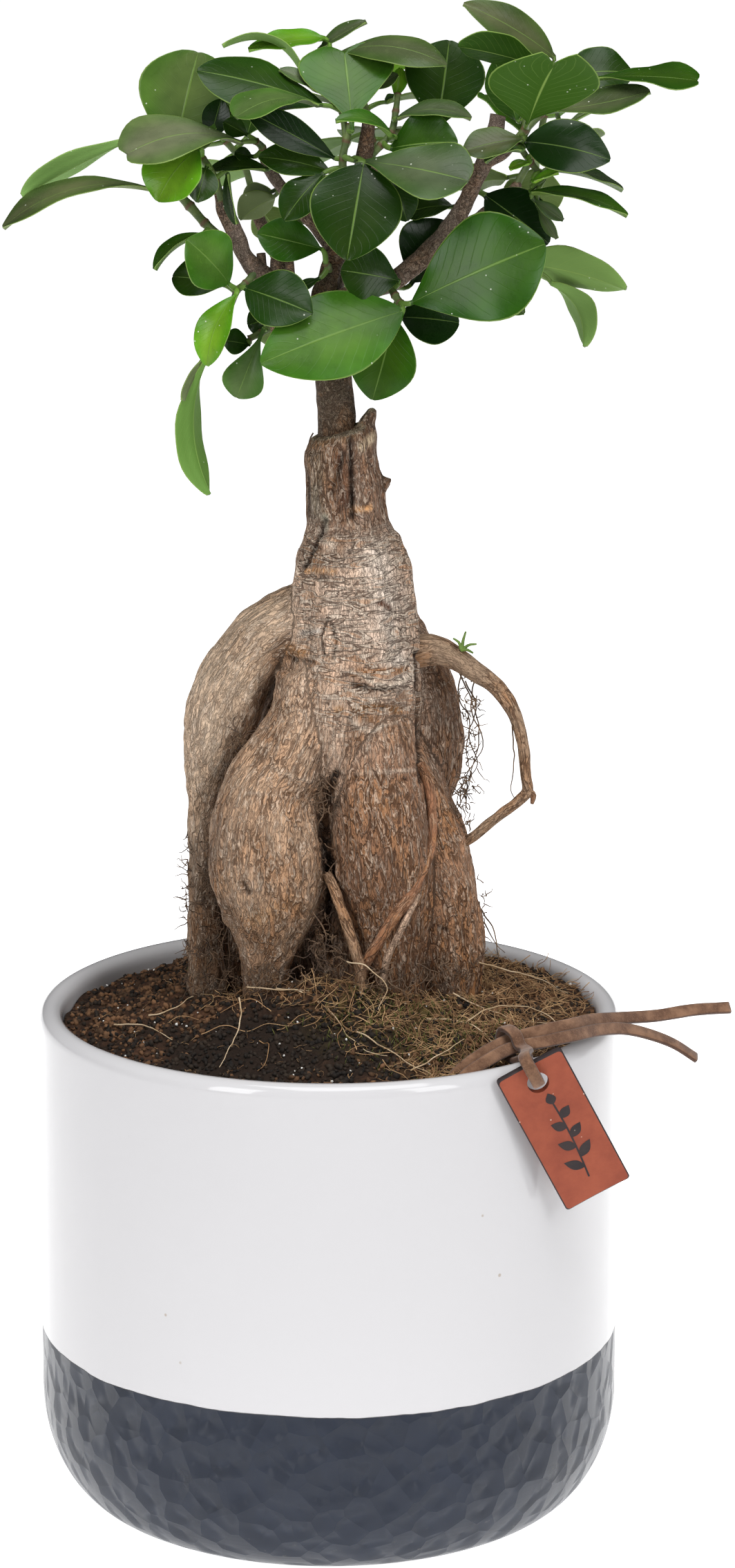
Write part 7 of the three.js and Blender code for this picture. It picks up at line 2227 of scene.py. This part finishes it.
@dataclass(frozen=True)
class Strew:
    """One kind of small part on a surface: how many, how large and how they lie."""

    name: str
    zone: str
    per_square_cm: float
    smallest: float
    largest: float
    tilt: float
    lift: float
    seed: int
    finish: BitFinish


SOIL_STRANDS: Sequence[Sequence[Station]] = (
    ((-22, 124, -28), (-21.6, 120, -33), (-21.5, 117, -38), (-24, 111.5, -47), (-27, 106.5, -55)),
    ((-13, 126.5, -20), (-6, 125, -22), (0, 121, -27), (5, 114, -36), (9, 110.5, -43), (14, 109.5, -47)),
    ((7, 115, -36), (14, 111, -43), (20, 107, -51), (25, 104.5, -56)),
    ((20, 105.5, -54), (27, 109.5, -45), (33, 113.3, -37)),
    ((-20, 126.5, -20), (-12, 126, -21), (-4, 125.5, -22)),
    ((4, 133, -20), (9, 132, -24), (14, 126, -27), (12, 121, -30)),
    ((24, 118.5, -26), (32, 118, -25), (38, 115, -29), (40, 111, -36)),
    ((36, 133, -6), (43, 131, -3), (52, 128, 2), (58, 125, 8)),
    ((30, 125, -14), (38, 121, -16), (47, 118, -18), (56, 117.5, -16)),
    ((-44, 119.5, -18), (-38, 121, -16), (-33, 124.5, -10)),
    ((-52, 117, -15), (-45, 117, -20), (-38, 113, -30)),
    ((33, 118, -26), (42, 122, -18), (50, 121, -17), (55, 118, -22)),
)
HANGING_ROOTS: Sequence[Sequence[Station]] = (
    ((31, 206, -1), (33, 202, -2), (34.5, 197, -3), (36, 192, -3), (35, 183, -3), (33, 176, -2),
     (31, 170, -1)),
    ((32, 205, -2), (31, 199, -2), (33.5, 192, -3), (33, 186, -3), (34.5, 180, -3), (32, 173, -2)),
    ((33, 203, -2), (35.5, 196, -3), (33.5, 189, -2), (36, 183, -3), (33.5, 178, -2), (33, 171, -2)),
    ((35, 203, -3), (34, 195, -3), (37, 188, -3), (34, 181, -3), (31.5, 175, -2), (30.5, 166, -1)),
    ((44, 193, -4), (44.2, 184, -4), (43.7, 176, -4), (45, 172, -5)),
    ((37.5, 143, -1), (39.5, 139.5, -1), (43, 135, -2)),
    ((36.5, 146, -1), (40, 141, -2), (41, 134, -3), (40, 128, -3)),
    ((-3.6, 262.5, -3), (-4.6, 261, -3.5), (-5.1, 259, -4), (-5, 257, -4), (-4.4, 255.5, -4)),
    ((-24, 190, -4), (-23, 184, -6), (-25, 178, -6), (-24, 171, -6), (-25, 160, -5)),
    ((-22, 186, -5), (-25, 181, -6), (-23.5, 175, -6), (-26, 168, -5), (-24.5, 158, -5), (-25, 146, -5)),
    ((-25, 166, -4), (-23.5, 157, -5), (-25.5, 149, -5), (-24, 138, -6), (-25, 129, -6)),
    ((-26, 150, -3), (-24.5, 143, -5), (-26, 136, -5), (-25, 127, -6)),
    ((-2, 176, -14), (-1, 170, -14.5), (-3, 166, -14), (-1.5, 160, -14)),
    ((-4, 181, -14), (0, 178, -15), (3, 175, -16), (6, 170, -18)),
    ((-4, 146, -17), (-1, 140, -18), (-2, 133, -18), (-4, 127, -19)),
)
BUD: Sequence[Sequence[Station]] = (
    ((31.5, 210.5, -3), (31, 212, -3), (29.6, 213, -3)),
    ((31.7, 210.5, -3), (32, 212.5, -3), (32.6, 214.6, -3.5)),
    ((31.9, 210.3, -3), (33.4, 211.4, -3.5), (35.2, 211.6, -4)),
    ((31.6, 210.2, -3), (33, 210.2, -4), (34.4, 209.4, -4.5)),
)


@dataclass(frozen=True)
class Tuft:
    """A patch of root hairs: its middle as a sight reading, its reach in x and z, and its hairs."""

    middle: Point
    reach: Pair
    count: int
    length: float


TUFTS: Sequence[Tuft] = (
    Tuft((33.6, 190, -3), (2.2, 14), 60, 4.5),
    Tuft((32.0, 172, -2), (2.5, 7), 50, 5.0),
    Tuft((-33.5, 146, 2), (1.2, 18), 90, 4.5),
    Tuft((-29, 148, -4), (3.5, 16), 80, 6.0),
    Tuft((-24.5, 160, -4), (1.6, 20), 90, 6.0),
    Tuft((0, 176, -14), (4, 5), 50, 5.0),
    Tuft((-2, 150, -14), (2, 14), 40, 5.0),
    Tuft((-2, 135, -18), (4, 5), 46, 6.0),
    Tuft((37.0, 146, -2), (1.2, 9), 18, 3.0),
    Tuft((-19, 188, -6), (4, 3), 30, 5.0),
    Tuft((-28, 130, -7), (6, 6), 60, 6.0),
    Tuft((14, 129, -20), (9, 4), 46, 7.0),
    Tuft((30, 129, -12), (7, 5), 46, 7.0),
    Tuft((-12, 128, -19), (7, 4), 46, 6.0),
)


@dataclass
class Litter:
    """What lies on the soil and clings to the roots, strewn or laid by Geometry Nodes."""

    soil: Soil
    ground: bpy.types.Object
    bits: Bits = field(default_factory=Bits)
    fibre_count: int = 90
    fibre_step: float = 1.1
    fibre_lift: float = 1.1
    hair_step: float = 0.8

    def kinds(self) -> Sequence[Tuple[Strew, bpy.types.Collection]]:
        """Lists what is strewn on the soil, with its shapes."""
        bits = self.bits
        crumbs = bits.collection("crumb_shapes", [bits.crumb() for _ in range(6)])
        fibres = bits.collection("fibre_shapes", [
            bits.strand(bits.rng.uniform(5, 12), 0.085, 3.0, 8) for _ in range(9)])
        fluff = bits.collection("fluff_shapes", [
            bits.strand(bits.rng.uniform(2.5, 5), 0.07, 3.5, 8) for _ in range(7)])
        blades = bits.collection("moss_shapes", [bits.blade() for _ in range(6)])
        peat = BitFinish("peat_crumb", (0.007, 0.005, 0.004), (0.028, 0.018, 0.011), 0.9, 300)
        brown = BitFinish("brown_crumb", (0.045, 0.023, 0.011), (0.17, 0.085, 0.04), 0.9, 260)
        coir = BitFinish("coir_fibre", (0.16, 0.08, 0.035), (0.44, 0.27, 0.135), 0.7, 150)
        straw = BitFinish("pale_fibre", (0.22, 0.12, 0.05), (0.48, 0.32, 0.16), 0.7, 150)
        moss = BitFinish("moss", (0.05, 0.06, 0.012), (0.15, 0.15, 0.04), 0.8, 180)
        white = BitFinish("perlite", (0.55, 0.53, 0.49), (0.8, 0.79, 0.76), 0.8, 500)
        return (
            (Strew("peat_crumbs", "peat", 42, 0.7, 2.1, 3.1, 0.2 * MM, 11, peat), crumbs),
            (Strew("brown_crumbs", "clods", 40, 0.6, 2.2, 3.1, 0.2 * MM, 12, brown), crumbs),
            (Strew("perlite_grains", "bare", 1.1, 0.4, 0.95, 3.1, 0.5 * MM, 13, white), crumbs),
            (Strew("coir_fibres", "fibre", 24, 0.7, 1.5, 0.5, 0.6 * MM, 14, coir), fibres),
            (Strew("pale_fibres", "fibre", 6.0, 0.6, 1.5, 0.4, 0.9 * MM, 15, straw), fibres),
            (Strew("peat_fibres", "peat", 4.0, 0.5, 1.2, 0.5, 0.5 * MM, 16, coir), fluff),
            (Strew("moss_blades", "moss", 55, 0.7, 1.5, 0.5, 0.1 * MM, 17, moss), blades),
        )

    def strew(self) -> None:
        """Strews everything over the soil."""
        tree = scatter_tree()
        for kind, shapes in self.kinds():
            piece = tree.apply(
                kind.name, self.ground, pieces=shapes, material=kind.finish.material(), zone=kind.zone,
                density=kind.per_square_cm * 1e4, smallest=kind.smallest, largest=kind.largest,
                tilt=kind.tilt, lift=kind.lift, seed=kind.seed)
            dress(piece, "soil")

    def hairs(self) -> List[Array]:
        """Lets short root hairs wander from their tufts."""
        rng = random.Random(77)
        lines = []
        for tuft in TUFTS:
            x, z, y = tuft.middle
            for _ in range(tuft.count):
                start = (x + rng.uniform(-1, 1) * tuft.reach[0], z + rng.uniform(-1, 1) * tuft.reach[1], y)
                line = [on_sight([start])[0]]
                heading = np.array((rng.gauss(0, 0.8), rng.gauss(0, 0.4), rng.gauss(-0.4, 0.9)))
                for _ in range(int(tuft.length * rng.uniform(0.6, 1.3) / self.hair_step)):
                    heading = unit(heading + np.array([rng.gauss(0, 0.45) for _ in range(3)]))
                    line.append(line[-1] + heading * self.hair_step)
                lines.append(np.array(line))
        return lines

    def fibres(self) -> List[Array]:
        """Lets long thin fibres curl over the soil, most of them where it is fibrous."""
        rng = random.Random(91)
        room = self.soil.pot.inner_radius - 3
        lines = []
        while len(lines) < self.fibre_count:
            place = np.array((rng.uniform(-room, room), rng.uniform(-room, room)))
            zone = self.soil.zones(place[:1], place[1:])[0, 0]
            if np.hypot(*place) > room or rng.random() > 0.1 + zone:
                continue
            heading, bend, line = rng.uniform(0, 2 * math.pi), rng.gauss(0, 0.08), []
            for number in range(rng.randint(9, 26)):
                height = float(self.soil.height(place[:1], place[1:])[0])
                height += self.fibre_lift + 0.7 * math.sin(0.5 * number + heading)
                line.append((place[0], place[1], height))
                bend = 0.85 * bend + rng.gauss(0, 0.07)
                heading += bend
                place = place + self.fibre_step * np.array((math.cos(heading), math.sin(heading)))
                if np.hypot(*place) > room:
                    break
            if len(line) > 5:
                lines.append(np.array(line))
        return lines

    def lay(self) -> None:
        """Lays the long strands on the soil and hangs the fine roots."""
        tree = strand_tree()
        pale = BitFinish("pale_root", (0.40, 0.28, 0.16), (0.60, 0.47, 0.32), 0.6, 200).material()
        dark = BitFinish("fine_root", (0.055, 0.035, 0.024), (0.16, 0.10, 0.06), 0.8, 300).material()
        green = BitFinish("bud", (0.07, 0.13, 0.02), (0.14, 0.22, 0.045), 0.5, 300).material()
        coir = BitFinish("long_fibre", (0.26, 0.135, 0.06), (0.52, 0.33, 0.17), 0.7, 90).material()
        laid = [[smooth_line(on_sight(route), np.linspace(0, 1, 24)) for route in routes]
                for routes in (SOIL_STRANDS, HANGING_ROOTS, BUD)]
        for name, lines, finish, radius, waver in (
                ("soil_strands", laid[0], pale, 0.2, 1.8), ("soil_fibres", self.fibres(), coir, 0.13, 1.0),
                ("hanging_roots", laid[1], dark, 0.2, 2.6), ("root_bud", laid[2], green, 0.5, 0.0),
                ("root_hairs", self.hairs(), dark, 0.15, 0.0)):
            curve = polyline(f"{name}_lines", lines)
            piece = tree.apply(name, curve, material=finish, radius=radius * MM, step=0.7 * MM,
                               waver=waver * MM, waver_size=160.0, seed=2.5)
            bpy.data.objects.remove(curve)
            dress(piece, "soil" if name.startswith("soil") else "trunk")

    def build(self) -> None:
        """Adds all of it."""
        self.strew()
        self.lay()


def main() -> None:
    """Builds the studio and every piece of the bonsai."""
    logging.basicConfig(level=logging.INFO, format="%(name)s %(message)s")
    Studio().build()
    Lace(Tag()).build()
    pot = Pot()
    pot.build()
    soil = Soil(pot)
    ground = soil.ground()
    Trunk().build()
    Foliage().build()
    Litter(soil, ground).build()


if __name__ == "__main__":
    main()
